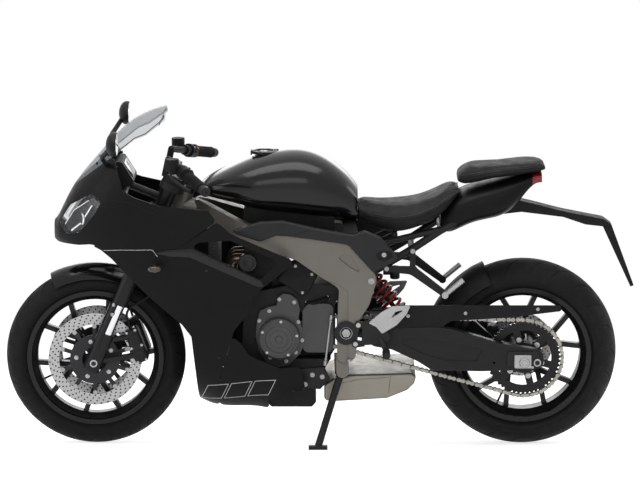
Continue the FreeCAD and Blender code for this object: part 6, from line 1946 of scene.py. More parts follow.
@dataclass
class Bodywork:
    """Fairing, screen, lamps, tank, seats and tail."""

    lamp_depth: float = 0.014
    floor_share: float = 0.1385

    def build(self) -> None:
        """Adds the bodywork's details."""
        self.blade_panels()
        self.cowl_lines()
        self.fairing_screws()
        self.headlight_parts()
        self.nose_intake()
        self.belly_floor()
        self.mirror_glasses()
        self.display_parts()
        self.cap_screws()
        self.tank_lines()
        self.tail_ribs()
        self.screen_screws()
        self.screen_rim()

    def blade_panels(self) -> None:
        """Raised slanted blade on each side fairing with a pale upper edge."""
        outline = [
            (0.150, 0.607), (0.178, 0.616), (0.235, 0.622), (0.392, 0.528), (0.398, 0.512), (0.385, 0.512),
            (0.230, 0.598), (0.175, 0.600),
        ]
        nodes = ["side_fairings", "upper_cowl"]
        blades = [SURFACE.patch("blade", nodes, outline, 0.0022, sign) for sign in SIDES]
        edges = SURFACE.seams("blade_edge", nodes, [outline[:4]], 0.0011, 0.0020)
        BENCH.unite("fairing_blades", blades, "gloss_black", Palette.GLOSS_BLACK)
        BENCH.unite("fairing_blade_edges", edges, "gloss_black", Palette.GRAPHITE)

    def cowl_lines(self) -> None:
        """Silver line under the lamps and the gaps between the cowl's panels."""
        nodes = ["upper_cowl", "side_fairings"]
        line = [(0.0213, 0.6038), (0.0700, 0.6110), (0.1437, 0.6170), (0.1553, 0.5980)]
        silver = SURFACE.seams("lamp_line", nodes, [line], 0.0011, 0.0002)
        joints = [
            [(0.1945, 0.6958), (0.1899, 0.6555)], [(0.0060, 0.7560), (0.0900, 0.7480), (0.1945, 0.6958)]
        ]
        gaps = SURFACE.seams("cowl_gap", nodes, joints, 0.0009)
        BENCH.unite("cowl_silver_lines", silver, "gloss_black", Palette.EDGE_SILVER)
        BENCH.unite("cowl_gap_lines", gaps, "control_black", Palette.MOULDING)

    def fairing_screws(self) -> None:
        """Quarter-turn fasteners on the fairing and the belly pan."""
        places = []
        spots = (
            (0.268, 0.560, "side_fairings"), (0.2950, 0.300, "side_fairings"),
            (0.330, 0.600, "side_fairings"), (0.465, 0.196, "belly_pan"), (0.520, 0.186, "belly_pan"),
        )
        for sign in SIDES:
            for along, up, node in spots:
                places.append(SURFACE.side([node], along, up, sign))
        BENCH.screws("fairing_screws", 0.0042, places, "control_black", Palette.DARK_CAST)

    def headlight_parts(self) -> None:
        """Dark bowl, projector and bright streak behind each lamp lens."""
        bowl_line = [
            (-0.072, 0.665), (-0.047, 0.716), (-0.002, 0.753), (0.019, 0.742), (0.003, 0.708),
            (-0.031, 0.657), (-0.058, 0.645),
        ]
        bowls, rings, eyes, streaks = [], [], [], []
        for sign in SIDES:
            sink = self.lamp_depth
            bowls.append(
                SURFACE.patch("bowl", ["headlights"], bowl_line, 0.002 - sink, sign, sink, 0.010, 0.0)
            )
            spot, _ = SURFACE.side(["headlights"], -0.027, 0.688, sign, -self.lamp_depth * 0.9)
            ahead = Vector((-1.0, sign * 0.45, 0.05)).normalized()
            profile = mm((17, 0), (21.5, 0), (21.5, 3), (19.5, 5.5), (17, 5.5), (17, 0))
            rings.append(BENCH.turned("lamp_ring", profile, spot, ahead, 40))
            lens = mm((0, 0), (16.8, 0), (16, 4), (13, 7.5), (8, 9.8), (0, 10.8))
            eyes.append(BENCH.turned("lamp_eye", lens, spot, ahead, 40))
            for line, width, lift in (
                ([(-0.051, 0.651), (-0.028, 0.676), (-0.010, 0.712), (0.000, 0.732)], 0.0034, -0.007),
                ([(-0.066, 0.668), (-0.044, 0.712), (-0.008, 0.744)], 0.0018, -0.006),
            ):
                streaks.append(SURFACE.seam("lamp_streak", ["headlights"], line, width, sign, lift, 0.008))
        BENCH.unite("lamp_bowls", bowls, "lamp_glass", Palette.GLOSS_BLACK)
        BENCH.unite("lamp_rings", rings, "lamp_glass", Palette.REFLECTOR)
        BENCH.unite("lamp_eyes", eyes, "lamp_glass", Palette.DISPLAY)
        BENCH.unite("lamp_streaks", streaks, "lamp_glass", Palette.REFLECTOR)

    def nose_intake(self) -> None:
        """Dark back plate and slats inside the opening at the nose."""
        centre = Vector((-0.1195, 0, 0.7375))
        outline = []
        for index in range(24):
            turn = index * math.pi / 12
            across = math.copysign(abs(math.cos(turn)) ** 0.8, math.cos(turn)) * 0.0440
            up = math.copysign(abs(math.sin(turn)) ** 0.8, math.sin(turn)) * 0.0395
            outline.append(centre + Vector((0, across, up)))
        back = BENCH.plate("intake_back", outline, Vector((0.003, 0, 0)), 0.0008)
        slats = [back]
        for level, reach in ((-0.0135, 0.0225), (0.0, 0.0255), (0.0135, 0.0225)):
            place = centre + Vector((-0.0055, 0, level))
            corners = [
                Vector((-0.0055, 0, -0.0018)), Vector((0.0055, 0, 0.0006)), Vector((0.0055, 0, 0.0026)),
                Vector((-0.0055, 0, 0.0006)),
            ]
            outline = [place + corner - ACROSS * reach for corner in corners]
            slats.append(BENCH.plate("slat", outline, ACROSS * reach * 2, 0.0005))
        BENCH.unite("nose_intake", slats, "control_black", Palette.MOULDING)

    def belly_floor(self) -> None:
        """Closing panel between the belly pan's two sides with pressed channels."""
        nodes = ["belly_pan", "side_fairings"]
        sides = {-1: [], 1: []}
        for along in (0.250, 0.275, 0.300, 0.325, 0.350, 0.370, 0.386):
            for sign in SIDES:
                spot, _ = SURFACE.side(nodes, along, self.floor_share, sign)
                sides[sign].append(STANCE.spot(along, self.floor_share, spot.y - sign * 0.0045))
        floor = BENCH.plate("belly_floor", sides[-1] + sides[1][::-1], Vector((0, 0, 0.003)), 0.0008)
        ribs = [floor]
        for across in (-0.06, 0.0, 0.06):
            start = STANCE.spot(0.270, self.floor_share, across)
            ribs.append(BENCH.rod("channel", start, start + Vector((0.160, 0, 0)), 0.0045, 12, 0.0015))
        BENCH.unite("belly_floor", ribs, "gloss_black", Palette.MOULDING)

    def mirror_glasses(self) -> None:
        """Oval glass on the back of each mirror."""
        glasses = []
        for sign in SIDES:
            centre = STANCE.spot(0.064, 0.934, sign * 0.330) + Vector((0.0075, 0, 0))
            turns = [index * math.pi / 18 for index in range(36)]
            outline = [
                centre + Vector((0, math.cos(turn) * 0.056, math.sin(turn) * 0.0335)) for turn in turns
            ]
            glasses.append(BENCH.plate("glass", outline, Vector((0.0016, 0, 0)), 0.0004))
        BENCH.unite("mirror_glasses", glasses, "lamp_glass", Palette.MIRROR_FACE, 20.0)

    def display_parts(self) -> None:
        """Display glass on the instrument panel with generic gauges."""
        top, low = STANCE.spot(0.070, 0.846), STANCE.spot(0.098, 0.789)
        down = (low - top).normalized()
        out = Vector((-down.z, 0, down.x))
        if out.x < 0:
            out = -out
        depth = (low - top).length

        def place(across: float, share: float, lift: float) -> Vector:
            """Point on the display's face.

            Args:
                across: metres to the rider's right.
                share: share of the face's depth from its top.
                lift: metres above the face.

            Returns:
                The point in upright axes.
            """
            return top + down * depth * share + ACROSS * across + out * lift

        corners = [
            (-0.060, 0.16), (-0.052, 0.10), (0.052, 0.10), (0.060, 0.16), (0.062, 0.74), (0.052, 0.84),
            (-0.052, 0.84), (-0.062, 0.74),
        ]
        glass = BENCH.plate(
            "display_glass", [place(*corner, 0.0) for corner in corners], out * 0.0018, 0.0006
        )
        BENCH.finish(glass, "lamp_glass", Palette.DISPLAY)
        marks = []
        for index in range(9):
            turn = math.radians(205 - index * 29)
            way = Vector((math.cos(turn), math.sin(turn)))
            near, far = way * 0.014, way * 0.018
            side = Vector((-math.sin(turn), math.cos(turn))) * 0.0006
            ring = [near - side, near + side, far + side, far - side]
            corners = [place(-0.026 + spot.x, 0.46 - spot.y / depth, 0.0018) for spot in ring]
            marks.append(BENCH.plate("tick", corners, out * 0.0004, 0.0))
        for index in range(5):
            share = 0.26 + index * 0.10
            width = 0.030 - index * 0.004
            ring = [
                (0.010, share), (0.010 + width, share), (0.010 + width, share + 0.045), (0.010, share + 0.045)
            ]
            corners = [place(across, level, 0.0018) for across, level in ring]
            marks.append(BENCH.plate("bar", corners, out * 0.0004, 0.0))
        BENCH.unite("display_marks", marks, "lamp_glass", Palette.MARKING)

    def cap_screws(self) -> None:
        """Ring of screws and a lock cover on the filler cap."""
        low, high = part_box("fuel_cap")
        middle = STANCE.upright @ ((Vector(low) + Vector(high)) / 2)
        places = []
        for index in range(7):
            turn = math.radians(20 + index * 360 / 7)
            start = middle + Vector((math.cos(turn) * 0.0335, math.sin(turn) * 0.0335, 0.2))
            places.append(SURFACE.cast(["fuel_cap"], start, Vector((0, 0, -1))))
        foot, normal = SURFACE.cast(["fuel_cap"], middle + Vector((0, 0, 0.2)), Vector((0, 0, -1)))
        profile = mm((0, 0), (13.5, 0), (13.5, 1.2), (12, 2.2), (4, 2.4), (3.5, 1.2), (0, 1.2))
        lock = BENCH.turned("lock_cover", profile, foot - normal * 0.0004, normal, 36)
        BENCH.screws("cap_screws", 0.0026, places, body=Body.CAP)
        BENCH.finish(lock, "cap_grey", Palette.SILVER_CAST, body=Body.CAP)

    def tank_lines(self) -> None:
        """Edge lines of the tank's side panels and the cover's slot trim."""
        nodes = ["fuel_tank", "side_covers"]
        lines = SURFACE.seams(
            "tank_line", nodes, [[(0.5133, 0.6757), (0.4880, 0.6640), (0.4602, 0.6527)]], 0.0010
        )
        slot = [
            (0.5632, 0.6900), (0.5734, 0.6872), (0.6081, 0.6700), (0.6159, 0.6640), (0.6034, 0.6620),
            (0.5734, 0.6760),
        ]
        trims = [SURFACE.patch("slot_trim", nodes[::-1], slot, 0.0012, sign) for sign in SIDES]
        BENCH.unite("tank_gap_lines", lines, "control_black", Palette.MOULDING)
        BENCH.unite("cover_slot_trims", trims, "control_black", Palette.MOULDING)

    def tail_ribs(self) -> None:
        """Thin ribs over the tail light."""
        lines = [[(1.020, level), (1.036, level)] for level in (0.790, 0.797, 0.804)]
        ribs = SURFACE.seams("lamp_rib", ["tail_light"], lines, 0.0008, step=0.004)
        BENCH.unite("tail_lamp_ribs", ribs, "lamp_red", Palette.LAMP_RED)

    def screen_screws(self) -> None:
        """Screws with washers along the windscreen's foot."""
        places = SURFACE.both(["windscreen", "upper_cowl"], ((0.040, 0.870), (0.012, 0.842), (0.075, 0.885)))
        BENCH.screws("screen_screws", 0.0042, places, "control_black", Palette.DARK_CAST)

    def screen_rim(self) -> None:
        """Polished rims along the windscreen's lower edges."""
        line = [(0.050, 0.872), (0.101, 0.922), (0.126, 0.935), (0.167, 0.975), (0.167, 1.000)]
        rims = SURFACE.seams("rim", ["windscreen"], [line], 0.0016, step=0.010)
        BENCH.unite("windscreen_rims", rims, "lamp_glass", Palette.MOULDING)


@dataclass
class Upholstery:
    """Both seat pads, filled by a cloth simulation, with their piping and stitches."""

    voxel: float = 0.005
    shrink: float = 0.003
    swell: float = 0.005
    pressure: float = 4.0
    frames: int = 20
    stitch_step: float = 0.0055
    seams: Mapping[str, Sequence[Pair]] = field(
        default_factory=lambda: {
            "rider_seat": (
                (0.590, 0.704), (0.612, 0.705), (0.650, 0.691), (0.700, 0.687), (0.745, 0.694),
                (0.790, 0.716), (0.826, 0.744),
            ),
            "passenger_seat": (
                (0.852, 0.800), (0.870, 0.806), (0.905, 0.814), (0.960, 0.824), (1.020, 0.830), (1.042, 0.830)
            ),
        }
    )

    def build(self) -> None:
        """Makes both pads and sews them."""
        for node, line in self.seams.items():
            pad = self.pad(node)
            SURFACE.keep(pad.name, pad.data, Matrix.Identity(4))
            self.piping(node, pad.name, line)
            self.stitches(node, pad.name, line)
            BENCH.finish(pad, "seat_cover", Palette.SEAT_VINYL, 60.0)
            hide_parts(node)

    def pad(self, node: str) -> Piece:
        """Pad filled from a CAD seat.

        Args:
            node: the CAD seat.

        Returns:
            The filled pad in upright axes.
        """
        pad = bpy.data.objects.new(node + "_pad", frame["nodes"][node].data.copy())
        bpy.context.scene.collection.objects.link(pad)
        pad.data.transform(STANCE.upright)
        BENCH.edit(pad)
        bpy.ops.mesh.remove_doubles(threshold=0.00002)
        BENCH.close()
        BENCH.take(pad)
        even = pad.modifiers.new("even", "REMESH")
        even.mode = "VOXEL"
        even.voxel_size = self.voxel
        bpy.ops.object.modifier_apply(modifier=even.name)
        for corner, normal in [(corner, corner.normal.copy()) for corner in pad.data.vertices]:
            corner.co -= normal * self.shrink
        self.fill(pad)
        BENCH.take(pad)
        finer = pad.modifiers.new("finer", "SUBSURF")
        finer.levels = finer.render_levels = 1
        bpy.ops.object.modifier_apply(modifier=finer.name)
        return pad

    def fill(self, pad: Piece) -> None:
        """Swells a pad by pressure and keeps each point near where it started.

        Args:
            pad: the pad.
        """
        starts = [(corner.co.copy(), corner.normal.copy()) for corner in pad.data.vertices]
        BENCH.take(pad)
        cloth = pad.modifiers.new("cloth", "CLOTH")
        cloth.settings.use_pressure = True
        cloth.settings.uniform_pressure_force = self.pressure
        cloth.settings.effector_weights.gravity = 0.0
        cloth.settings.quality = 4
        cloth.point_cache.frame_start = 1
        cloth.point_cache.frame_end = self.frames
        for step in range(1, self.frames + 1):
            bpy.context.scene.frame_set(step)
        bpy.ops.object.modifier_apply(modifier=cloth.name)
        bpy.context.scene.frame_set(1)
        for corner, (start, normal) in zip(pad.data.vertices, starts):
            move = corner.co - start
            most = self.shrink + self.swell * max(normal.z, 0.0)
            if move.length > most:
                corner.co = start + move.normalized() * most

    def piping(self, node: str, pad: str, line: Sequence[Pair]) -> None:
        """Round piping along both sides of a pad."""
        cords = SURFACE.seams("piping", [pad], [line], 0.0019, 0.0003, 0.010)
        BENCH.unite(node + "_piping", cords, "seat_cover", Palette.SEAT_VINYL)

    def stitches(self, node: str, pad: str, line: Sequence[Pair]) -> None:
        """Row of stitches above the piping on both sides of a pad.

        Args:
            node: the CAD seat.
            pad: the pad's name.
            line: shares of the corners.
        """
        places = []
        for sign in SIDES:
            spots = [
                SURFACE.side([pad], along, up + 0.0062, sign, 0.0003)
                for along, up in evenly(line, self.stitch_step)
            ]
            for (spot, normal), (ahead, _) in zip(spots, spots[1:]):
                way = (ahead - spot).normalized()
                turn = Matrix((way, normal.cross(way).normalized(), normal)).transposed().to_4x4()
                places.append(Matrix.Translation((spot + ahead) / 2) @ turn)
        thread = BENCH.rod("thread", Vector((-0.0019, 0, 0)), Vector((0.0019, 0, 0)), 0.00055, 6)
        BENCH.finish(BENCH.copies(node + "_stitches", thread, places), "seat_cover", Palette.THREAD)


@dataclass
class Chassis:
    """Frame, engine, exhaust, swingarm, suspension, footrests and stand."""

    lug_plane: float = 0.1883
    lug_depth: float = 0.0115

    def build(self) -> None:
        """Adds the chassis's details."""
        self.alternator_parts()
        self.head_parts()
        self.mount_plate()
        self.clutch_parts()
        self.hoses()
        self.shift_rod()
        self.frame_bolts()
        self.cover_parts()
        self.rest_parts()
        self.rest_lugs()
        self.reservoir()
        self.silencer_seams()
        self.guard_parts()

    def alternator_parts(self) -> None:
        """Stepped disc on the round cover, case plate with its screws, and the head's round plug."""
        centre = STANCE.spot(0.432, 0.345, -0.1835)
        profile = mm(
            (0, 4.5), (10.5, 4.5), (12, 3.2), (12.5, 1.2), (30, 1.2), (31.2, 3), (44, 3), (45.2, 1), (56, 1),
            (57.2, 2.8), (62.8, 2.8), (64, 1.4), (64, -1), (0, -1), (0, 4.5),
        )
        disc = BENCH.turned("alternator_disc", profile, centre, -ACROSS, 72)
        BENCH.finish(disc, "engine_cover", Palette.COVER_GREY, 30.0)
        outline = [
            (0.3794, 0.3882), (0.3863, 0.4227), (0.4048, 0.4342), (0.4256, 0.4399), (0.4302, 0.4658),
            (0.4417, 0.4744),
            (0.4579, 0.4715), (0.4741, 0.4572), (0.4810, 0.4284), (0.4773, 0.3997), (0.4893, 0.3652),
            (0.4925, 0.3307),
            (0.4810, 0.2962), (0.4556, 0.2645), (0.4302, 0.2559), (0.4025, 0.2703), (0.3840, 0.3077),
            (0.3770, 0.3479),
        ]
        plate = BENCH.plate(
            "case_plate", [STANCE.spot(*pair, -0.1390) for pair in outline], ACROSS * -0.013, 0.003, 3
        )
        BENCH.finish(plate, "engine_cover", Palette.COVER_GREY, 40.0)
        spots = (
            (0.4094, 0.4227), (0.4325, 0.4572), (0.4671, 0.4485), (0.4764, 0.3900), (0.4850, 0.3364),
            (0.4700, 0.3008),
            (0.4480, 0.2740), (0.4108, 0.2847), (0.3863, 0.3939),
        )
        BENCH.screws(
            "case_screws", 0.0055, [(STANCE.spot(*pair, -0.1520), -ACROSS) for pair in spots],
            finish=Palette.SILVER_CAST,
        )
        rim = [
            (around_point, -ACROSS)
            for around_point in around(STANCE.spot(0.432, 0.345), 0.0600, -0.1860, 5, 12)
        ]
        BENCH.screws("alternator_screws", 0.0038, rim)

    def head_parts(self) -> None:
        """Angular black cover and round plug on the cylinder head's side."""
        outline = [
            (0.4256, 0.5118), (0.4556, 0.5578), (0.4764, 0.5750), (0.5226, 0.5377), (0.5203, 0.5204),
            (0.4972, 0.4700), (0.4810, 0.4620), (0.4625, 0.4850),
        ]
        cover = BENCH.plate(
            "head_cover", [STANCE.spot(*pair, -0.1020) for pair in outline], ACROSS * -0.046, 0.006, 3
        )
        BENCH.finish(cover, "engine_dark", Palette.MOULDING, 40.0)
        screws = [
            (STANCE.spot(*pair, -0.1480), -ACROSS)
            for pair in ((0.4700, 0.5540), (0.5080, 0.5300), (0.4860, 0.4760))
        ]
        BENCH.screws("head_cover_screws", 0.0042, screws, finish=Palette.SILVER_CAST)
        profile = mm(
            (0, 0), (30, 0), (30, 20), (27.5, 23.5), (22, 23.5), (20.5, 20.5), (10, 20.5), (8.5, 23.5),
            (0, 23.5),
        )
        plug = BENCH.turned("head_plug", profile, STANCE.spot(0.3586, 0.5578, -0.1000), -ACROSS, 48)
        BENCH.finish(plug, "engine_cover", Palette.COVER_GREY, 30.0)

    def mount_plate(self) -> None:
        """Engine mount plate behind the sump with three bolts."""
        outline = [
            (0.4810, 0.2502), (0.5364, 0.2559), (0.5503, 0.2214), (0.5272, 0.1898), (0.4949, 0.1927),
            (0.4764, 0.2157),
        ]
        plate = BENCH.plate(
            "mount_plate", [STANCE.spot(*pair, -0.1390) for pair in outline], ACROSS * -0.009, 0.002, 3
        )
        BENCH.finish(plate, "cast_dark", Palette.DARK_CAST)
        screws = [
            (STANCE.spot(*pair, -0.1480), -ACROSS)
            for pair in ((0.5087, 0.2329), (0.5318, 0.2272), (0.4920, 0.2050))
        ]
        BENCH.screws("mount_screws", 0.0065, screws, finish=Palette.SILVER_CAST)

    def clutch_parts(self) -> None:
        """Stepped disc and screws on the right-hand cover."""
        centre = STANCE.spot(0.470, 0.350, 0.1795)
        profile = mm(
            (0, 3), (20, 3), (21.5, 1.2), (48, 1.2), (49.5, 3.4), (64, 3.4), (65.5, 1), (74, 1), (75.2, 2.6),
            (79.5, 2.6), (80.5, 1), (80.5, -1), (0, -1), (0, 3),
        )
        BENCH.finish(
            BENCH.turned("clutch_disc", profile, centre, ACROSS, 72), "engine_cover", Palette.COVER_GREY, 30.0
        )
        rim = [(spot, ACROSS) for spot in around(STANCE.spot(0.470, 0.350), 0.0700, 0.1800, 8, 10)]
        BENCH.screws("clutch_screws", 0.0045, rim)

    def hoses(self) -> None:
        """Coolant hoses with their clips on the engine's left."""
        runs, clips = [], []
        for line, radius in (
            (
                (
                    (0.330, 0.535, -0.120), (0.345, 0.522, -0.138), (0.372, 0.508, -0.140),
                    (0.398, 0.497, -0.125), (0.410, 0.492, -0.100),
                ),
                0.0105,
            ),
            (
                (
                    (0.482, 0.452, -0.110), (0.492, 0.440, -0.140), (0.520, 0.447, -0.150),
                    (0.548, 0.461, -0.140), (0.560, 0.470, -0.110),
                ),
                0.0075,
            ),
        ):
            points = [STANCE.spot(along, up, across) for along, up, across in line]
            runs.append(BENCH.tube("hose", points, radius, 20))
            for index in (1, 3):
                way = points[index + 1] - points[index - 1]
                place = points[index] * 0.5 + (points[index - 1] + points[index + 1]) * 0.25
                clips.append(BENCH.ring("clip", place, way, radius + 0.0008, 0.0014, 32))
        BENCH.unite("coolant_hoses", runs, "hose_black", Palette.GRIP_RUBBER, 50.0)
        BENCH.unite("hose_clips", clips, "bright_steel", Palette.SILVER_CAST)

    def shift_rod(self) -> None:
        """Silver shift rod with ball joints between the pedal and the engine."""
        low, high = STANCE.spot(0.5387, 0.2703, -0.158), STANCE.spot(0.5526, 0.4054, -0.158)
        way = (high - low).normalized()
        parts = [BENCH.rod("shift_rod", low, high, 0.0038, 16, 0.0006)]
        for place, sign in ((low, 1), (high, -1)):
            parts.append(
                BENCH.rod(
                    "lock_nut", place + way * sign * 0.010, place + way * sign * 0.016, 0.0062, 6, 0.0006
                )
            )
            parts.append(
                BENCH.rod("joint_body", place - way * 0.008, place + way * 0.008, 0.0066, 20, 0.0012)
            )
            parts.append(
                BENCH.rod("joint_pin", place + ACROSS * 0.012, place - ACROSS * 0.008, 0.0040, 16, 0.0006)
            )
        BENCH.unite("shift_linkage", parts, "bright_steel", Palette.SILVER_CAST)

    def frame_bolts(self) -> None:
        """Large bolts on the main frame, and the hexagon sockets at the swingarm's pivot."""
        places = SURFACE.both(["main_frame"], ((0.6450, 0.5175), (0.5980, 0.2700), (0.3300, 0.6050)))
        sockets = []
        for sign in SIDES:
            foot, _ = SURFACE.side(["pivot_bolt", "main_frame", "swingarm"], 0.587, 0.365, sign)
            profile = mm((0, 0), (15, 0), (15, 3), (13.8, 4.2), (9, 4.2), (8.5, 1), (0, 1))
            sockets.append(
                BENCH.turned("pivot_socket", profile, foot - ACROSS * sign * 0.0004, ACROSS * sign, 6)
            )
            ring = mm((18.5, 0), (25, 0), (25, 1.8), (24, 2.6), (19.5, 2.6), (18.5, 1.8), (18.5, 0))
            sockets.append(BENCH.turned("pivot_ring", ring, foot - ACROSS * sign * 0.0004, ACROSS * sign, 48))
        BENCH.screws("frame_bolts", 0.0085, places, finish=Palette.SILVER_CAST)
        BENCH.unite("pivot_sockets", sockets, "bright_steel", Palette.SILVER_CAST, 20.0)

    def cover_parts(self) -> None:
        """Lozenge recess plates with bolts on the side covers, and the hanger's bolts."""
        outline = [
            (0.6543, 0.6009), (0.6704, 0.6113), (0.6912, 0.6067), (0.6935, 0.5923), (0.6774, 0.5791),
            (0.6612, 0.5825),
        ]
        nodes = ["side_covers", "main_frame", "subframe"]
        plates = [SURFACE.patch("lozenge", nodes, outline, 0.0012, sign) for sign in SIDES]
        places = SURFACE.both(nodes, [(0.6736, 0.5980)], 0.0010)
        hanger = SURFACE.both(["pillion_hangers", "subframe"], ((0.6805, 0.541), (0.741, 0.593)))
        BENCH.unite("cover_lozenges", plates, "panel_grey", Palette.MOULDING)
        BENCH.screws("cover_bolts", 0.0062, places, finish=Palette.SILVER_CAST)
        BENCH.screws("hanger_bolts", 0.0065, hanger, finish=Palette.SILVER_CAST)

    def rest_parts(self) -> None:
        """Screws of the heel plates and rubbers on the rider's pegs."""
        places = SURFACE.both(["heel_plates", "footrests"], ((0.688, 0.408), (0.722, 0.437), (0.650, 0.396)))
        rubbers = []
        for sign in SIDES:
            root = STANCE.spot(0.679, 0.318, sign * 0.228)
            profile = mm((11.3, 0), (12.8, 1))
            for rib in range(7):
                low = 0.004 + rib * 0.008
                profile += [
                    (0.0130, low), (0.0130, low + 0.0045), (0.0118, low + 0.0055), (0.0118, low + 0.0075)
                ]
            profile += [(0.0128, 0.0600), (0.0113, 0.0605), (0.0113, 0.0)]
            rubbers.append(BENCH.turned("peg_rubber", profile, root, ACROSS * sign, 32))
        BENCH.screws("heel_screws", 0.0042, places)
        BENCH.unite("peg_rubbers", rubbers, "control_black", Palette.GRIP_RUBBER, 25.0)

    def rest_lugs(self) -> None:
        """Round lugs with bolts that hold the footrest brackets on the frame's pivot plates."""
        lugs, places = [], []
        for sign in SIDES:
            for along, up in ((0.6150, 0.3900), (0.6085, 0.3345)):
                centre = STANCE.spot(along, up, sign * self.lug_plane)
                out = ACROSS * sign * self.lug_depth
                outline = []
                for step in range(13):
                    turn = math.radians(90 + step * 15)
                    outline.append(centre + Vector((math.cos(turn), 0, math.sin(turn))) * 0.0125)
                outline += [STANCE.spot(0.6300, up + half, sign * self.lug_plane) for half in (-0.007, 0.007)]
                lugs.append(BENCH.plate("rest_lug", outline, out, 0.0012))
                places.append((centre + out, ACROSS * sign))
        BENCH.unite("footrest_lugs", lugs, "control_black", Palette.DARK_CAST, 35.0)
        BENCH.screws("lug_bolts", 0.0062, places)

    def reservoir(self) -> None:
        """Canister beside the shock absorber with its neck."""
        low = STANCE.spot(0.7014, 0.4900)
        profile = mm(
            (0, 0), (12, 0), (15.5, 2), (16.5, 5), (16.5, 27), (18, 28), (18, 40), (17, 42.5), (8, 43.5),
            (0, 43.5),
        )
        can = BENCH.turned("can", profile, low, Vector((0, 0, 1)), 48)
        neck = BENCH.rod("neck", STANCE.spot(0.6740, 0.5080), STANCE.spot(0.6990, 0.5080), 0.0075, 24, 0.001)
        BENCH.unite("shock_reservoir", [can, neck], "control_black", Palette.DARK_CAST, 35.0)

    def silencer_seams(self) -> None:
        """Pressed crease and end seam on the silencer."""
        seams = []
        for sign in SIDES:
            for line, radius, step in (
                ([(0.556, 0.1960), (0.620, 0.2130), (0.6843, 0.2180)], 0.0011, 0.010),
                ([(0.6912, 0.2240), (0.6890, 0.2000), (0.6860, 0.1700)], 0.0014, 0.008),
            ):
                seams.append(SURFACE.seam("seam", ["silencer"], line, radius, sign, 0.0, step))
        BENCH.unite("silencer_seams", seams, "silencer_grey", Palette.SILENCER_METAL)

    def guard_parts(self) -> None:
        """Screws on the chain guard and a pale lip along the rear hugger."""
        places = [
            SURFACE.side(["chain_guard"], along, up, -1)
            for along, up in ((0.8629, 0.4180), (0.7300, 0.4100), (1.0300, 0.4300))
        ]
        BENCH.screws("guard_screws", 0.0048, places, finish=Palette.SILVER_CAST)
        edge = [(0.7600, 0.4560), (0.8300, 0.5000), (0.9000, 0.5300)]
        lips = SURFACE.seams("hugger_lip", ["rear_hugger"], [edge], 0.0012)
        BENCH.unite("hugger_lips", lips, "control_black", Palette.GRAPHITE)


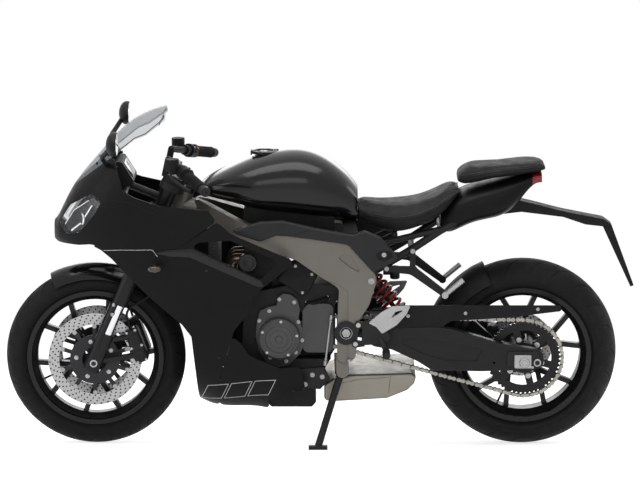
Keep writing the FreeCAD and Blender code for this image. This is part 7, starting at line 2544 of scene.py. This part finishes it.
@dataclass
class Studio:
    """Pale floor, soft light and the photograph's camera."""

    eye_height: float = 0.99
    distance: float = 11.0
    aim_height: float = 0.683
    eye_along: float = 0.790
    aim_along: float = 0.750
    lens: float = 184.0
    floor_glow: float = 0.70
    floor_white: float = 0.86
    soft_light: float = 0.34

    def build(self) -> None:
        """Makes the world, floor, lamps and camera."""
        self.world()
        self.floor()
        self.lamps()
        self.camera()

    def camera(self) -> None:
        """Long lens on the left side, nearly level."""
        ground = STANCE.matrix @ Vector((0, 0, 0))
        data = bpy.data.cameras.new("view")
        data.lens = self.lens
        data.sensor_width = 36.0
        camera = bpy.data.objects.new("view", data)
        bpy.context.scene.collection.objects.link(camera)
        eye = Vector((ground.x + self.eye_along, ground.y - self.distance, self.eye_height))
        aim = Vector((ground.x + self.aim_along, ground.y - 0.11, self.aim_height))
        camera.location = eye
        camera.rotation_euler = (aim - eye).to_track_quat("-Z", "Y").to_euler()
        bpy.context.scene.camera = camera

    def world(self) -> None:
        """White surroundings for camera and mirrors, plain soft light for the rest."""
        world = bpy.data.worlds.new("studio")
        bpy.context.scene.world = world
        world.use_nodes = True
        tree = world.node_tree
        back = tree.nodes["Background"]
        path = tree.nodes.new("ShaderNodeLightPath")
        straight = tree.nodes.new("ShaderNodeMath")
        straight.operation = "MAXIMUM"
        tree.links.new(path.outputs["Is Camera Ray"], straight.inputs[0])
        tree.links.new(path.outputs["Is Transmission Ray"], straight.inputs[1])
        seen = tree.nodes.new("ShaderNodeMath")
        seen.operation = "MAXIMUM"
        tree.links.new(straight.outputs[0], seen.inputs[0])
        tree.links.new(path.outputs["Is Glossy Ray"], seen.inputs[1])
        strength = tree.nodes.new("ShaderNodeMapRange")
        tree.links.new(seen.outputs[0], strength.inputs[0])
        strength.inputs[3].default_value = self.soft_light
        strength.inputs[4].default_value = 1.0
        tree.links.new(strength.outputs[0], back.inputs["Strength"])
        back.inputs["Color"].default_value = (1.0, 1.0, 1.0, 1.0)

    def floor(self) -> None:
        """Wide white floor that keeps a soft shadow."""
        BENCH.clear()
        bpy.ops.mesh.primitive_plane_add(size=60, location=(0, 0, -0.0005))
        floor = bpy.context.object
        floor.name = "studio_floor"
        board = NodeBoard("studio_floor")
        board.shader.inputs["Base Color"].default_value = (*[self.floor_white] * 3, 1.0)
        board.shader.inputs["Roughness"].default_value = 0.9
        board.shader.inputs["Specular IOR Level"].default_value = 0.1
        path = board.add("ShaderNodeLightPath")
        seen = board.math("MAXIMUM", path.outputs["Is Camera Ray"], path.outputs["Is Glossy Ray"])
        seen = board.math("MAXIMUM", seen, path.outputs["Is Transmission Ray"])
        glow = board.add("ShaderNodeEmission")
        board.join(board.math("MULTIPLY", seen, self.floor_glow), glow.inputs["Strength"])
        both = board.add("ShaderNodeAddShader")
        board.join(board.shader.outputs[0], both.inputs[0])
        board.join(glow.outputs[0], both.inputs[1])
        board.join(both.outputs[0], board.output.inputs["Surface"])
        floor.data.materials.append(board.material)

    def lamps(self) -> None:
        """Large soft boxes overhead, ahead, behind and to the left."""
        for name, place, size, power, aim in (
            ("overhead", (0.0, -0.6, 3.6), (4.2, 1.6), 78.0, (0.0, 0.1, 0.4)),
            ("left_low", (0.0, -5.0, 2.0), (5.0, 1.6), 48.0, (0.0, 0.1, 0.5)),
            ("ahead", (-4.5, -1.5, 2.2), (1.6, 2.4), 34.0, (0.0, 0.0, 0.6)),
            ("behind", (4.5, 1.5, 2.2), (1.6, 2.4), 34.0, (0.0, 0.0, 0.6)),
            ("right", (0.0, 5.0, 2.6), (4.0, 1.6), 42.0, (0.0, 0.1, 0.5)),
        ):
            data = bpy.data.lights.new(name, "AREA")
            data.shape = "RECTANGLE"
            data.size, data.size_y = size
            data.energy = power
            lamp = bpy.data.objects.new(name, data)
            bpy.context.scene.collection.objects.link(lamp)
            lamp.location = place
            lamp.rotation_euler = (Vector(aim) - Vector(place)).to_track_quat("-Z", "Y").to_euler()


def main() -> None:
    """Builds the scene."""
    logging.basicConfig(level=logging.INFO, format="%(name)s: %(message)s")
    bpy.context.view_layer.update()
    bpy.context.scene.view_settings.view_transform = "Standard"
    dress_nodes()
    for assembly in (Wheels(), Fork(), Bodywork(), Upholstery(), Chassis()):
        assembly.build()
        LOG.info("%s built", type(assembly).__name__)
    Studio().build()
    BENCH.clear()


if __name__ == "__main__":
    main()
